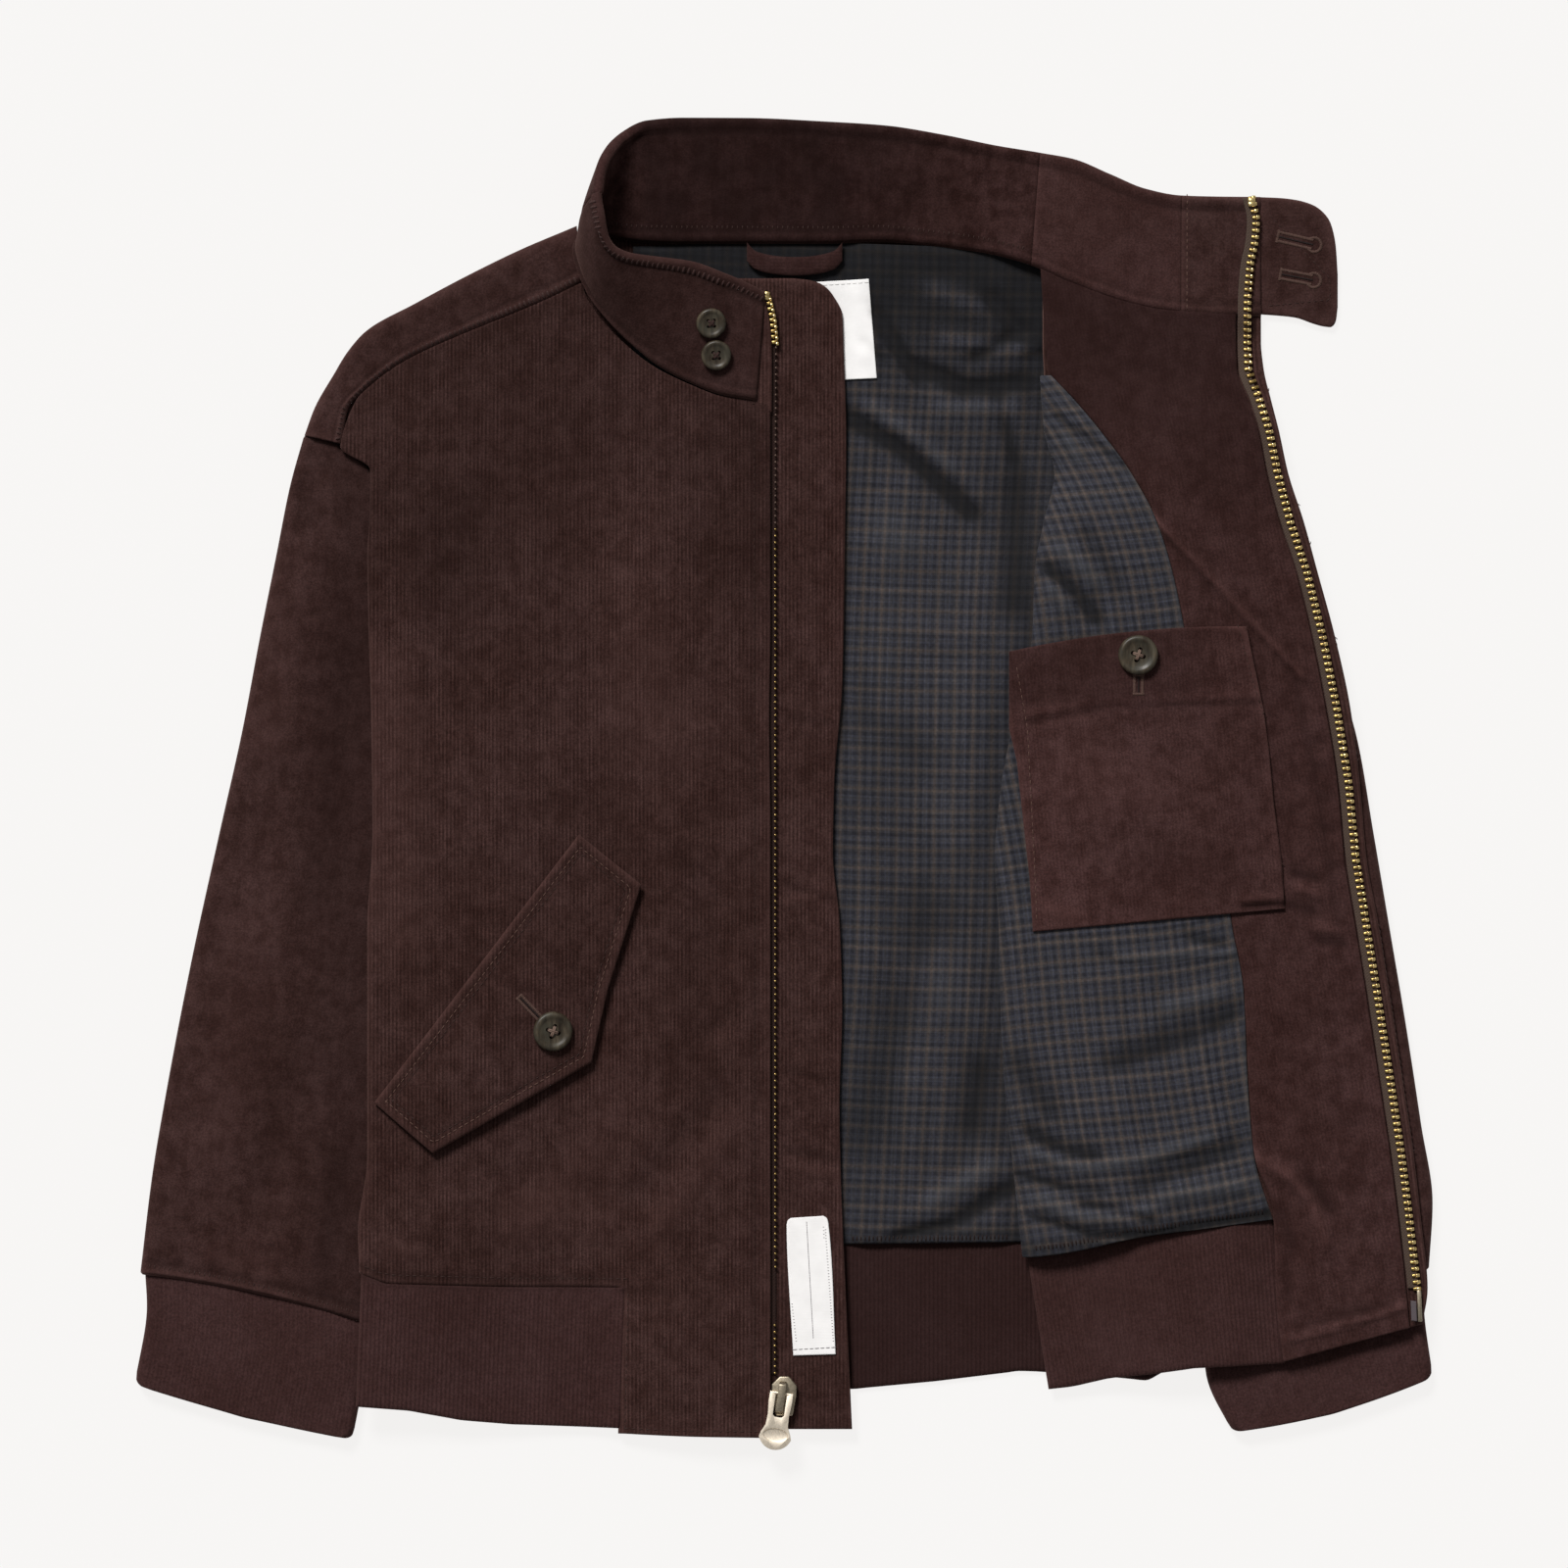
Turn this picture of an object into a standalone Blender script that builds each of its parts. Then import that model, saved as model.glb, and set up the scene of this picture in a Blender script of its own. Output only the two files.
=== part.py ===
"""A child's harrington jacket in needlecord, lying open on its back.

Lengths below are in millimetres and become metres where a mesh is made. +Z is up, +Y points from the
hem to the collar, and +X to the wearer's left. The jacket lies on z = 0, centred on x = 0 and y = 0.
Each cloth piece is a wall between two grids of points. The layers are stacked: a piece that lies on
another takes its height from it. The sleeves lie under the sides of the body, which rises over them.
"""

import math
from collections import namedtuple

import bmesh
import bpy
from mathutils import Vector

MM = 0.001

# ---------------------------------------------------------------- driving sizes

BACK_CLOTH = 1.6  # needlecord of the back and the shoulder
FRONT_CLOTH = 1.8  # needlecord and interfacing of the fronts
LINING_CLOTH = 1.0
RIB_CLOTH = 2.2  # double rib knit of the hem and the cuffs
GUARD_CLOTH = 2.0  # wind guard behind the zip, two layers
COLLAR_CLOTH = 3.2  # two layers of cord and the turned edge
TAPE_CLOTH = 0.7
LABEL_CLOTH = 0.5

SEAM = 0.35  # gap between pieces that are sewn together
LAYER = 0.4  # gap between a piece and what it lies on

SLEEVE_HEIGHT = 7.6
SLEEVE_WALL = 2.0
CUFF_HEIGHT = 6.6
RIB_PITCH = 1.6
RIB_DEPTH = 0.45

BACK_TOP = BACK_CLOTH
LINING_UNDER = BACK_TOP + LAYER
LINING_TOP = LINING_UNDER + LINING_CLOTH
LABEL_UNDER = LINING_TOP + LAYER
GUARD_UNDER = LABEL_UNDER + LABEL_CLOTH + 0.3
GUARD_TOP = GUARD_UNDER + GUARD_CLOTH
TAPE_UNDER = GUARD_TOP + 0.3
TAPE_TOP = TAPE_UNDER + TAPE_CLOTH
FRONT_AT_ZIP = TAPE_TOP + 0.3
FRONT_FLAT = BACK_TOP + LAYER
LEAF_UNDER = LINING_TOP + LAYER + 0.1
OPENED_UNDER = LEAF_UNDER + FRONT_CLOTH + LAYER

SIDE_ROLL = 1.7  # how far the body's side edge turns down over the back
ZIP_X = -5.0

# ---------------------------------------------------------------- reading tables


def lerp(a, b, t):
    return a + (b - a) * t


def smooth(t):
    t = min(max(t, 0.0), 1.0)
    return t * t * (3.0 - 2.0 * t)


def read(table, key, column, at):
    """A column's value at a place between the rows of a table, sorted by its key either way."""
    rows = sorted(table, key=lambda row: getattr(row, key))
    if at <= getattr(rows[0], key):
        return getattr(rows[0], column)
    for low, high in zip(rows, rows[1:]):
        if at <= getattr(high, key):
            span = getattr(high, key) - getattr(low, key)
            t = (at - getattr(low, key)) / span
            return lerp(getattr(low, column), getattr(high, column), t)
    return getattr(rows[-1], column)


def steps(first, last, count):
    return [lerp(first, last, i / count) for i in range(count + 1)]


# ---------------------------------------------------------------- tables

Side = namedtuple("Side", "y sleeve rise")  # hidden sleeve edge, and how far the body rises over it
SIDE = [
    Side(175, 170, 0.0),
    Side(155, 166, 1.2),
    Side(140, 161, 4.0),
    Side(128, 158, 6.6),
    Side(117, 152, 7.9),
    Side(102, 138, 7.9),
    Side(86, 122, 7.9),
    Side(70, 108, 7.9),
    Side(55, 101, 7.9),
    Side(-203, 157, 7.9),
    Side(-250, 168, 7.9),
]

Back = namedtuple("Back", "y half dip")  # half width, and how far the row's middle drops
BACK = [
    Back(208, 78, 5),
    Back(201, 94, 3),
    Back(190.5, 114, 0),
    Back(169, 150, 0),
    Back(154, 163, 0),
    Back(133, 174, 0),
    Back(126.5, 163, 0),
    Back(117, 152, 0),
    Back(104, 152.5, 0),
    Back(91, 153, 0),
    Back(78, 153, 0),
    Back(65, 153, 0),
    Back(50, 152.5, 0),
    Back(15, 152, 0),
    Back(-25, 152, 0),
    Back(-65, 153, 0),
    Back(-111, 153, 0),
    Back(-148, 154, 0),
    Back(-172, 155, 0),
]
BACK_FULL = 153.0
BACK_ACROSS = (0, 25, 45, 57, 68, 79, 90, 101, 112, 124, 139, BACK_FULL)

Front = namedtuple("Front", "y side inner")
FRONT = [
    Front(188.5, -78.0, -76.0),
    Front(183, -89.5, -74.2),
    Front(174, -111, -67.8),
    Front(165, -132.5, -58.8),
    Front(157.3, -147, -48.8),
    Front(150.3, -156, -34.8),
    Front(146, -160.5, -22.8),
    Front(143.5, -162, -5),
    Front(127, -167.2, -5),
    Front(118.3, -155.8, -5),
    Front(102, -156, -5),
    Front(86.5, -157, -5),
    Front(60, -156.5, -5),
    Front(25, -155.5, -5.5),
    Front(-18.5, -155, -5),
    Front(-55, -157, -5),
    Front(-100, -157, -5),
    Front(-140, -157, -5),
    Front(-168, -160.5, -5),
]
FRONT_ACROSS = (0, 0.015, 0.08, 0.145, 0.21, 0.28, 0.35, 0.43, 0.51, 0.58, 0.6413, 0.7, 0.77, 0.85, 0.92, 1)
BLOCK_FROM = 10  # the column of the front where its hem block starts
BAND_LEAN = -2.0  # how far the hem band's ends lean over its depth

Hem = namedtuple("Hem", "x y")
FRONT_HEM = [Hem(-160, -184.5), Hem(-150, -188.5), Hem(-103.5, -190), Hem(-5, -190.5)]
FRONT_RIB_END = [Hem(-161, -234.5), Hem(-142, -236), Hem(-121, -239.9), Hem(-103, -241.5), Hem(-63, -243)]
BLOCK_END = [Hem(-62, -245), Hem(-36.5, -246), Hem(-5, -246.5)]
BACK_HEM = [Hem(-157, -184), Hem(20, -173), Hem(157, -171.5)]
BACK_RIB_END = [
    Hem(-157, -229),
    Hem(25, -228.5),
    Hem(57, -225.5),
    Hem(90, -221.5),
    Hem(115, -223),
    Hem(138, -225),
    Hem(146, -219),
    Hem(157, -217),
]

Guard = namedtuple("Guard", "y edge")  # right edge of the wind guard
GUARD = [
    Guard(190.7, 4),
    Guard(190, 10),
    Guard(188, 15),
    Guard(183.5, 19),
    Guard(177, 22),
    Guard(164, 22.5),
    Guard(130, 23.5),
    Guard(89, 23),
    Guard(37, 22),
    Guard(0, 19),
    Guard(-26, 18.5),
    Guard(-52, 21),
    Guard(-85, 22),
    Guard(-122, 21),
    Guard(-148, 21.5),
    Guard(-185, 23),
    Guard(-228, 25),
    Guard(-243.3, 25.7),
]

Shoulder = namedtuple("Shoulder", "outer_x outer_y seam_x seam_y")
SHOULDER = [
    Shoulder(-81.2, 209.5, -78.6, 189.1),
    Shoulder(-98.5, 202.2, -88.5, 184.1),
    Shoulder(-117.5, 193, -100.5, 178.9),
    Shoulder(-139.5, 181.3, -122.5, 169.8),
    Shoulder(-157.8, 171, -140, 161.9),
    Shoulder(-165, 162.8, -148.5, 156.9),
    Shoulder(-170, 154.5, -157, 150.3),
    Shoulder(-177, 142, -165.2, 141.5),
    Shoulder(-180.8, 131.4, -167.7, 128.3),
]

Ring = namedtuple("Ring", "outer_x outer_y inner_x inner_y bow")  # ends of a flattened section
SLEEVE_RIGHT = [
    Ring(-181.3, 130.6, -155.8, 118.0, 2.7),
    Ring(-186.2, 113, -139, 101, 1),
    Ring(-191.5, 86.5, -123, 84, 0),
    Ring(-197.7, 55.5, -103.5, 56, 0),
    Ring(-204.4, 20, -111, 14, 0),
    Ring(-213, -18.5, -119, -24, 0),
    Ring(-223.3, -65.5, -129, -71, 0),
    Ring(-233.3, -117.5, -141, -126, 0),
    Ring(-238.4, -148, -149, -162, 1),
    Ring(-242.8, -184.3, -157.5, -203, 2.4),
]
SLEEVE_LEFT = [
    Ring(181, 130, 156, 117.3, 2.6),
    Ring(185.5, 113, 139, 101, 1),
    Ring(191.5, 86.5, 123, 84, 0),
    Ring(203, 55.5, 103.5, 56, 0),
    Ring(216, 18, 111, 12, 0),
    Ring(222.4, -18.5, 119, -25, 0),
    Ring(228.4, -54, 127, -61, 0),
    Ring(234.8, -92, 135, -99, 0),
    Ring(240.3, -128, 143, -135, 0.5),
    Ring(244.7, -158, 150.5, -172, 1.4),
    Ring(243.3, -182.6, 157.5, -203, 2.4),
]
CUFF_RIGHT = [
    Ring(-241.0, -185.0, -158.0, -203.4, 2.4),
    Ring(-240.4, -197, -158.5, -220, 1.5),
    Ring(-245.1, -226.7, -162.8, -247.6, -1.2),
]
CUFF_LEFT = [
    Ring(242.4, -183.2, 158.0, -203.4, 2.4),
    Ring(241.5, -196, 159.0, -221, 1.5),
    Ring(244.9, -224.3, 169.3, -245.0, -2.4),
]

# Left front, opened out: fold edge, inner edge of the facing, zip teeth and the cloth's edge.
Opened = namedtuple("Opened", "y fold facing teeth edge")
OPENED = [
    Opened(166, 97.5, 98.5, 174.5, 180),
    Opened(156, 98, 99.5, 174.8, 181),
    Opened(145, 98.7, 109, 178.8, 183.5),
    Opened(133, 99.8, 119, 182.5, 186.5),
    Opened(117, 103.5, 130.5, 185.6, 190),
    Opened(99, 99.5, 140, 190.3, 195.8),
    Opened(80, 96, 146, 196.6, 201),
    Opened(56, 95, 151, 202.5, 207.5),
    Opened(28, 89, 156, 208, 213.5),
    Opened(0, 83.5, 160.5, 212.4, 217),
    Opened(-28, 81, 165, 215, 219.5),
    Opened(-53, 82.5, 168.5, 219, 224),
    Opened(-78, 83, 173, 223, 228),
    Opened(-111, 84.5, 174.5, 228, 233),
    Opened(-140, 87.5, 177, 232.3, 237.3),
    Opened(-160, 91.5, 184, 234.8, 240),
]
OPENED_HEM = [
    Hem(92, -178.3),
    Hem(104.5, -177),
    Hem(119, -174),
    Hem(133, -170.5),
    Hem(151.5, -168.3),
    Hem(184, -164),
    Hem(245, -164),
]
OPENED_RIB_END = [
    Hem(100, -228.3),
    Hem(109, -227.3),
    Hem(123, -224),
    Hem(139, -222.3),
    Hem(154.5, -220),
    Hem(187.4, -218.3),
]
OPENED_BLOCK = [
    Opened(-190, 0, 185.4, 238.3, 242.5),
    Opened(-203.5, 0, 188.0, 239.6, 240.5),
]
BLOCK_SLANT = 14.0  # the block's bottom is this much lower at the rib than at the zip
LEAF_WIDTH = 40.0  # hidden part of the left front that runs back under the fold
LEAF_WIDTH_NECK = 16.0

# Stand collar, from the zip on the right front, round the neck, to the zip on the left front.
# base is the neck seam, top the upper edge, z the height of the collar's outer face,
# and bulge how far the middle stands out.
Stand = namedtuple("Stand", "base_x base_y base_z top_x top_y top_z bulge")
COLLAR_RIGHT = [
    Stand(-10.5, 145.2, 11.0, -7.2, 185.5, 11.2, 0.2),
    Stand(-22.5, 147.0, 10.8, -14, 189, 12.2, 0.6),
    Stand(-34.5, 151.2, 9.8, -22, 192.2, 14.5, 1.2),
    Stand(-48.3, 158.4, 8.6, -35, 196.5, 17.5, 1.8),
    Stand(-58.3, 166.2, 7.8, -47, 197.8, 20.5, 2.2),
    Stand(-67.2, 175.3, 7.0, -56.5, 198.5, 23.5, 2.2),
    Stand(-73.4, 183.6, 6.2, -63, 200.5, 26, 2.0),
    Stand(-77.6, 192.6, 5.2, -67.3, 205.5, 28.5, 1.5),
    Stand(-79.6, 201.0, 4.2, -69.3, 213, 30, 1.5),
    Stand(-76.5, 206.5, 3.2, -70.8, 222, 29.5, 2.8),
]
COLLAR_BACK = [
    Stand(-76.5, 206.5, 3.2, -70.8, 222, 29.5, 2.8),
    Stand(-71, 208.0, 2.6, -70.2, 231.5, 26.5, 3.6),
    Stand(-65.5, 207.5, 2.4, -67.3, 239.5, 19.5, 3.4),
    Stand(-60, 206, 2.2, -61.5, 246.0, 10.5, 2.2),
    Stand(-53, 205, 2.1, -52.7, 250.3, 5.0, 0.8),
    Stand(-40, 204.5, 2.1, -38.5, 251.4, 2.0, 0.2),
    Stand(-16, 204.5, 2.1, -14, 251.3, 0.6, 0),
    Stand(14, 204.5, 2.1, 15, 250, 0.3, 0),
    Stand(36, 205.2, 2.1, 38, 248.5, 0.3, 0),
    Stand(56, 203.5, 2.4, 60, 245, 0.3, 0),
    Stand(76, 200.8, 4.2, 80, 240.8, 0.3, 0),
    Stand(93, 196.0, 7.0, 96.5, 238, 0.3, 0),
]
COLLAR_LEFT = [
    Stand(93, 196.0, 7.0, 96.5, 238, 0.3, 0),
    Stand(106, 190.0, 6.8, 109, 235.7, 0.3, 0),
    Stand(121, 184.0, 5.8, 123, 230, 0.3, 0),
    Stand(135.5, 180.0, 4.4, 136.5, 224.5, 0.3, 0),
    Stand(149.5, 178.0, 3.6, 150, 222, 0.3, 0),
]
COLLAR_END = [
    Stand(149.5, 178.0, 3.6, 150, 222, 0.3, 0),
    Stand(164, 177.0, 2.8, 165, 221.6, 0.3, 0),
    Stand(179.6, 177.2, 1.8, 179.6, 221.5, 0.3, 0),
]

Tab = namedtuple("Tab", "x low high")
TAB = [
    Tab(180.0, 177.2, 221.5),
    Tab(187, 176.7, 221.2),
    Tab(193, 176, 220.5),
    Tab(199.5, 173.8, 218.6),
    Tab(203.5, 172.7, 215.8),
    Tab(206.2, 172.4, 212.0),
    Tab(208.2, 174.4, 203.5),
    Tab(209.0, 180, 192.0),
]

Pocket = namedtuple("Pocket", "left left_y right right_y")
INSIDE_POCKET = [
    Pocket(84.6, 49.8, 174, 59.3),
    Pocket(84.6, 21, 180.5, 28),
    Pocket(87.6, 8, 182.5, 13.5),
    Pocket(89.6, -11, 184.5, -8),
    Pocket(92.4, -36, 187.5, -30),
    Pocket(93.6, -55.6, 188.5, -47),
]
INSIDE_POCKET_BOW = 2.6

Corner = namedtuple("Corner", "x y")
FLAP_LEFT = Corner(-154.3, -120)
FLAP_LOW = Corner(-132.2, -139)
FLAP_RIGHT = Corner(-72.5, -105)
FLAP_WAIST = Corner(-66.5, -78)
FLAP_HIGH = Corner(-53.7, -38)
FLAP_TOP = Corner(-77.3, -19)

# ---------------------------------------------------------------- heights


def lift(x, y, ramp):
    """How far the body rises over a sleeve that lies under its side, falling to 0 across a ramp."""
    inside = read(SIDE, "y", "sleeve", y) - 3.0 - abs(x)
    return read(SIDE, "y", "rise", y) * (1.0 - smooth(inside / ramp))


def back_under(x, y):
    return lift(x, y, 60.0)


def lining_under(x, y):
    bagging = 1.6 * math.exp(-(((x - 60 - 0.6 * (y + 160)) / 16) ** 2) - ((y + 158) / 9) ** 2)
    neck_fold = 1.5 * math.exp(-(((x - 41.5 + 0.45 * (y - 165)) / 5) ** 2) - ((y - 166) / 18) ** 2)
    return LINING_UNDER + bagging + neck_fold + lift(x, y, 62.0)


def front_under(x, y):
    """The right front rises over the hem band, the sleeve and, near the zip, the wind guard."""
    over_rib = 0.8 * smooth((-145 - y) / 25)
    over_guard = smooth((x + 75) / 45)
    chest = 1.4 * math.exp(-(((x + 95) / 45) ** 2) - ((y - 20) / 90) ** 2)
    flat = (FRONT_FLAT + over_rib) * (1 - over_guard)
    return flat + FRONT_AT_ZIP * over_guard + chest + lift(x, y, 80.0)


def leaf_width(y):
    return lerp(LEAF_WIDTH, LEAF_WIDTH_NECK, smooth((y - 135) / 20))


def opened_under(x, y):
    """Underside of the opened left front's top leaf."""
    leaf_end = read(OPENED, "y", "fold", y) + leaf_width(y)
    inside = OPENED_UNDER - 2.4 * smooth((x - leaf_end + 2) / 36) + lift(x, y, 78.0)
    over_sleeve = SLEEVE_HEIGHT + 0.6
    outside = 1.0 + (over_sleeve - 1.0) * smooth((172 - y) / 38)
    return lerp(inside, outside, smooth((x - 152) / 36))


# ---------------------------------------------------------------- making solids


def material(name, colour, roughness, metallic=0.0):
    made = bpy.data.materials.new(name)
    made.use_nodes = True
    shader = made.node_tree.nodes["Principled BSDF"]
    shader.inputs["Base Color"].default_value = (*colour, 1.0)
    shader.inputs["Roughness"].default_value = roughness
    shader.inputs["Metallic"].default_value = metallic
    return made


def add_object(name, bm, finish):
    mesh = bpy.data.meshes.new(name)
    bmesh.ops.recalc_face_normals(bm, faces=bm.faces)
    bm.to_mesh(mesh)
    bm.free()
    mesh.materials.append(finish)
    mesh.shade_smooth()
    mesh.set_sharp_from_angle(angle=math.radians(40))
    made = bpy.data.objects.new(name, mesh)
    jacket.objects.link(made)
    return made


def wall(name, outer, inner, finish, around=False):
    """A closed solid between two grids of points in mm. None leaves a hole in the grid's outline,
    and around joins the last column to the first, as on a tube."""
    bm = bmesh.new()
    grids = []
    for grid in (outer, inner):
        grids.append([[p and bm.verts.new(Vector(p) * MM) for p in row] for row in grid])
    rows, columns = len(outer), len(outer[0])
    edges = {}
    for i in range(rows - 1):
        for j in range(columns if around else columns - 1):
            k = (j + 1) % columns
            cell = [(i, j), (i + 1, j), (i + 1, k), (i, k)]
            if any(outer[a][b] is None for a, b in cell):
                continue
            for grid in grids:
                bm.faces.new([grid[a][b] for a, b in cell])
            for start, end in zip(cell, cell[1:] + cell[:1]):
                edges.setdefault(frozenset((start, end)), []).append((start, end))
    for used in edges.values():
        if len(used) == 1:
            (a, b), (c, d) = used[0]
            bm.faces.new([grids[0][a][b], grids[0][c][d], grids[1][c][d], grids[1][a][b]])
    return add_object(name, bm, finish)


def panel(name, places, under, thickness, finish, ribs=False):
    """A cloth that lies flat: a grid of (x, y) places, its underside's height and its thickness.
    With ribs, every other column stands up by the depth of a rib."""
    outer, inner = [], []
    for row in places:
        outer.append([])
        inner.append([])
        for j, place in enumerate(row):
            if place is None:
                outer[-1].append(None)
                inner[-1].append(None)
                continue
            x, y = place
            z = under(x, y)
            up = RIB_DEPTH if ribs and j % 2 else 0.0
            inner[-1].append((x, y, z))
            outer[-1].append((x, y, z + thickness + up))
    return wall(name, outer, inner, finish)


def rolled(grid, columns, drop):
    """Brings an edge of a grid of points down by drop: cloth that turns over at the side."""
    for row in grid:
        for j in columns:
            if row[j] is not None:
                x, y, z = row[j]
                row[j] = (x, y, z - drop)


def turned(name, profile, turns, finish):
    """A turned solid from a profile of (radius, z), top to bottom, that starts and ends on the axis."""
    mesh = bpy.data.meshes.new(name)
    mesh.from_pydata(
        [(r * MM, 0, z * MM) for r, z in profile], [(i, i + 1) for i in range(len(profile) - 1)], []
    )
    mesh.materials.append(finish)
    made = bpy.data.objects.new(name, mesh)
    jacket.objects.link(made)
    screw = made.modifiers.new("Turn", "SCREW")
    screw.steps = screw.render_steps = turns
    screw.merge_threshold = 0.00005
    screw.use_merge_vertices = True
    screw.use_smooth_shade = True
    return made


def plate(name, outline, low, high, finish):
    """A flat plate with an outline of (x, y) points between two heights."""
    bm = bmesh.new()
    bottom = [bm.verts.new(Vector((x, y, low)) * MM) for x, y in outline]
    top = [bm.verts.new(Vector((x, y, high)) * MM) for x, y in outline]
    bm.faces.new(bottom)
    bm.faces.new(top)
    for i in range(len(outline)):
        k = (i + 1) % len(outline)
        bm.faces.new((bottom[i], bottom[k], top[k], top[i]))
    return add_object(name, bm, finish)


# ---------------------------------------------------------------- body


def back_places():
    """Rows across the whole back. Columns crowd over the sleeves, where the cloth rises."""
    columns = [-x for x in reversed(BACK_ACROSS[1:])] + list(BACK_ACROSS)
    rows = []
    for row in BACK:
        places = []
        for column in columns:
            x = column * row.half / BACK_FULL
            y = row.y - row.dip * (1 - (column / BACK_FULL) ** 2)
            if row is BACK[-1]:
                y = read(BACK_HEM, "x", "y", x) + SEAM / 2
            places.append((x, y))
        rows.append(places)
    return rows


def back_lining_places():
    """The lining shows between the fronts, so it is built no wider than it needs. Its rows and
    columns are the back's, with more rows where it bags over the hem band."""
    columns = [-x for x in (57, 45, 25)] + [x for x in BACK_ACROSS if x < 120]
    rows = [[(x, 202.2 - 3.2 * abs(x / 90) ** 1.5) for x in columns]]
    places = [190.5, 180] + [row.y for row in BACK if -148 < row.y <= 169] + [-132, -145, -154, -163]
    for y in places:
        rows.append([(x, y) for x in columns])
    rows.append([(x, read(BACK_HEM, "x", "y", x) + SEAM / 2) for x in columns])
    return rows


def front_places():
    """Right front with its hem block, which is cut in one with it."""
    rows = []
    for row in FRONT:
        rows.append([(lerp(row.side, row.inner, f), row.y) for f in FRONT_ACROSS])
    columns = [lerp(-160, ZIP_X, f) for f in FRONT_ACROSS]
    rows.append([(x, read(FRONT_HEM, "x", "y", x) + SEAM / 2) for x in columns])
    hem_x = columns[BLOCK_FROM]
    for t in (0.33, 0.67, 1.0):
        left = hem_x + BAND_LEAN * t
        row = [None] * BLOCK_FROM
        for j in range(BLOCK_FROM, len(FRONT_ACROSS)):
            f = (j - BLOCK_FROM) / (len(FRONT_ACROSS) - 1 - BLOCK_FROM)
            x = lerp(left, ZIP_X, f)
            row.append((x, lerp(-190.5, read(BLOCK_END, "x", "y", x), t)))
        rows.append(row)
    return rows


def make_front_right():
    places = front_places()
    outer, inner = [], []
    for row in places:
        outer.append([p and (*p, front_under(*p) + FRONT_CLOTH) for p in row])
        inner.append([p and (*p, front_under(*p)) for p in row])
    free_side = slice([row.y < 120 for row in FRONT].index(True), len(FRONT) + 1)
    rolled(outer[free_side], [0], SIDE_ROLL)
    rolled(inner[free_side], [0], SIDE_ROLL)
    return wall("front_right", outer, inner, cord)


def make_shoulder_right():
    outer, inner = [], []
    across = ((0.0, 2.7, 2.4), (0.14, 0.55, 0.0), (0.5, 0, 0), (1.0, 0, 0))
    for row in SHOULDER:
        outer.append([])
        inner.append([])
        for t, top_drop, under_drop in across:
            x = lerp(row.outer_x, row.seam_x, t)
            y = lerp(row.outer_y, row.seam_y, t)
            z = front_under(x, y)
            edge = max(z - under_drop, 0.05 if t == 0 else z)
            outer[-1].append((x, y, max(z + FRONT_CLOTH - top_drop, edge + 0.8)))
            inner[-1].append((x, y, edge))
    return wall("shoulder_right", outer, inner, cord)


def rib_columns(left, right):
    """Columns for a ribbed band: two to a rib, so that every other one can stand up."""
    return steps(left, right, 2 * round((right - left) / RIB_PITCH))


def band_places(columns, top, end, lean_first=0.0, lean_last=0.0):
    """A band between two hem lines. Its two sides may lean along x towards the free edge."""
    upper, lower = [], []
    for x in columns:
        free_x = x + lerp(lean_first, lean_last, (x - columns[0]) / (columns[-1] - columns[0]))
        upper.append((x, read(top, "x", "y", x) - SEAM / 2))
        lower.append((free_x, read(end, "x", "y", free_x)))
    return [upper, lower]


def make_hem_rib_back():
    """Hem band of the back. It is ribbed where it shows, and plain under the fronts."""
    left_plain = steps(-157, 14, 9)
    ribbed = rib_columns(18, 104)
    right_plain = steps(109, 157, 6)
    columns = left_plain + ribbed + right_plain
    outer, inner = [], []
    for row in band_places(columns, BACK_HEM, BACK_RIB_END):
        outer.append([])
        inner.append([])
        for j, (x, y) in enumerate(row):
            z = back_under(x, y)
            in_ribs = len(left_plain) <= j < len(left_plain) + len(ribbed)
            up = RIB_DEPTH if in_ribs and (j - len(left_plain)) % 2 else 0.0
            inner[-1].append((x, y, z))
            outer[-1].append((x, y, z + RIB_CLOTH - RIB_DEPTH + up))
    return wall("hem_rib_back", outer, inner, rib)


# ---------------------------------------------------------------- sleeves


def flat_tube(rings, height, thickness, ribs=False):
    """Grids for a tube that lies flat: a stadium section between the two ends of each ring.
    The top has ribs, if any, and the underside is flat."""
    count_top = 2 * round(80 / RIB_PITCH) if ribs else 8
    outer_grid, inner_grid = [], []
    for ring in rings:
        outer_end = Vector((ring.outer_x, ring.outer_y))
        inner_end = Vector((ring.inner_x, ring.inner_y))
        along = inner_end - outer_end
        length = along.length
        for grid, edge, low, high in (
            (outer_grid, 0.0, 0.0, height),
            (inner_grid, thickness, thickness, height - thickness),
        ):
            radius = (high - low) / 2
            middle = (high + low) / 2
            section = []
            for t in steps(0, 1, 4):
                section.append((lerp(edge + radius, length - edge - radius, t), low))
            for angle in (-50, 0, 50):
                a = math.radians(angle)
                section.append((length - edge - radius * (1 - math.cos(a)), middle + radius * math.sin(a)))
            for j, t in enumerate(steps(1, 0, count_top)):
                up = RIB_DEPTH if ribs and grid is outer_grid and j % 2 else 0.0
                section.append((lerp(edge + radius, length - edge - radius, t), high + up))
            for angle in (50, 0, -50):
                a = math.radians(angle)
                section.append((edge + radius * (1 - math.cos(a)), middle + radius * math.sin(a)))
            row = []
            for s, z in section:
                t = s / length
                place = outer_end + along * t
                row.append((place.x, place.y + ring.bow * 4 * t * (1 - t), z))
            grid.append(row)
    return outer_grid, inner_grid


# ---------------------------------------------------------------- opened left front


ACROSS_LINING = (0.1, 0.24, 0.38, 0.52, 0.68, 0.84)
ACROSS_FACING = (0.0, 0.2, 0.4, 0.6, 0.8, 1.0)


def facing_x(row):
    """Places across the facing, from its inner edge to the zip's tape."""
    return [lerp(row.facing + 0.6, row.teeth - 4.0, t) for t in ACROSS_FACING]


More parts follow.
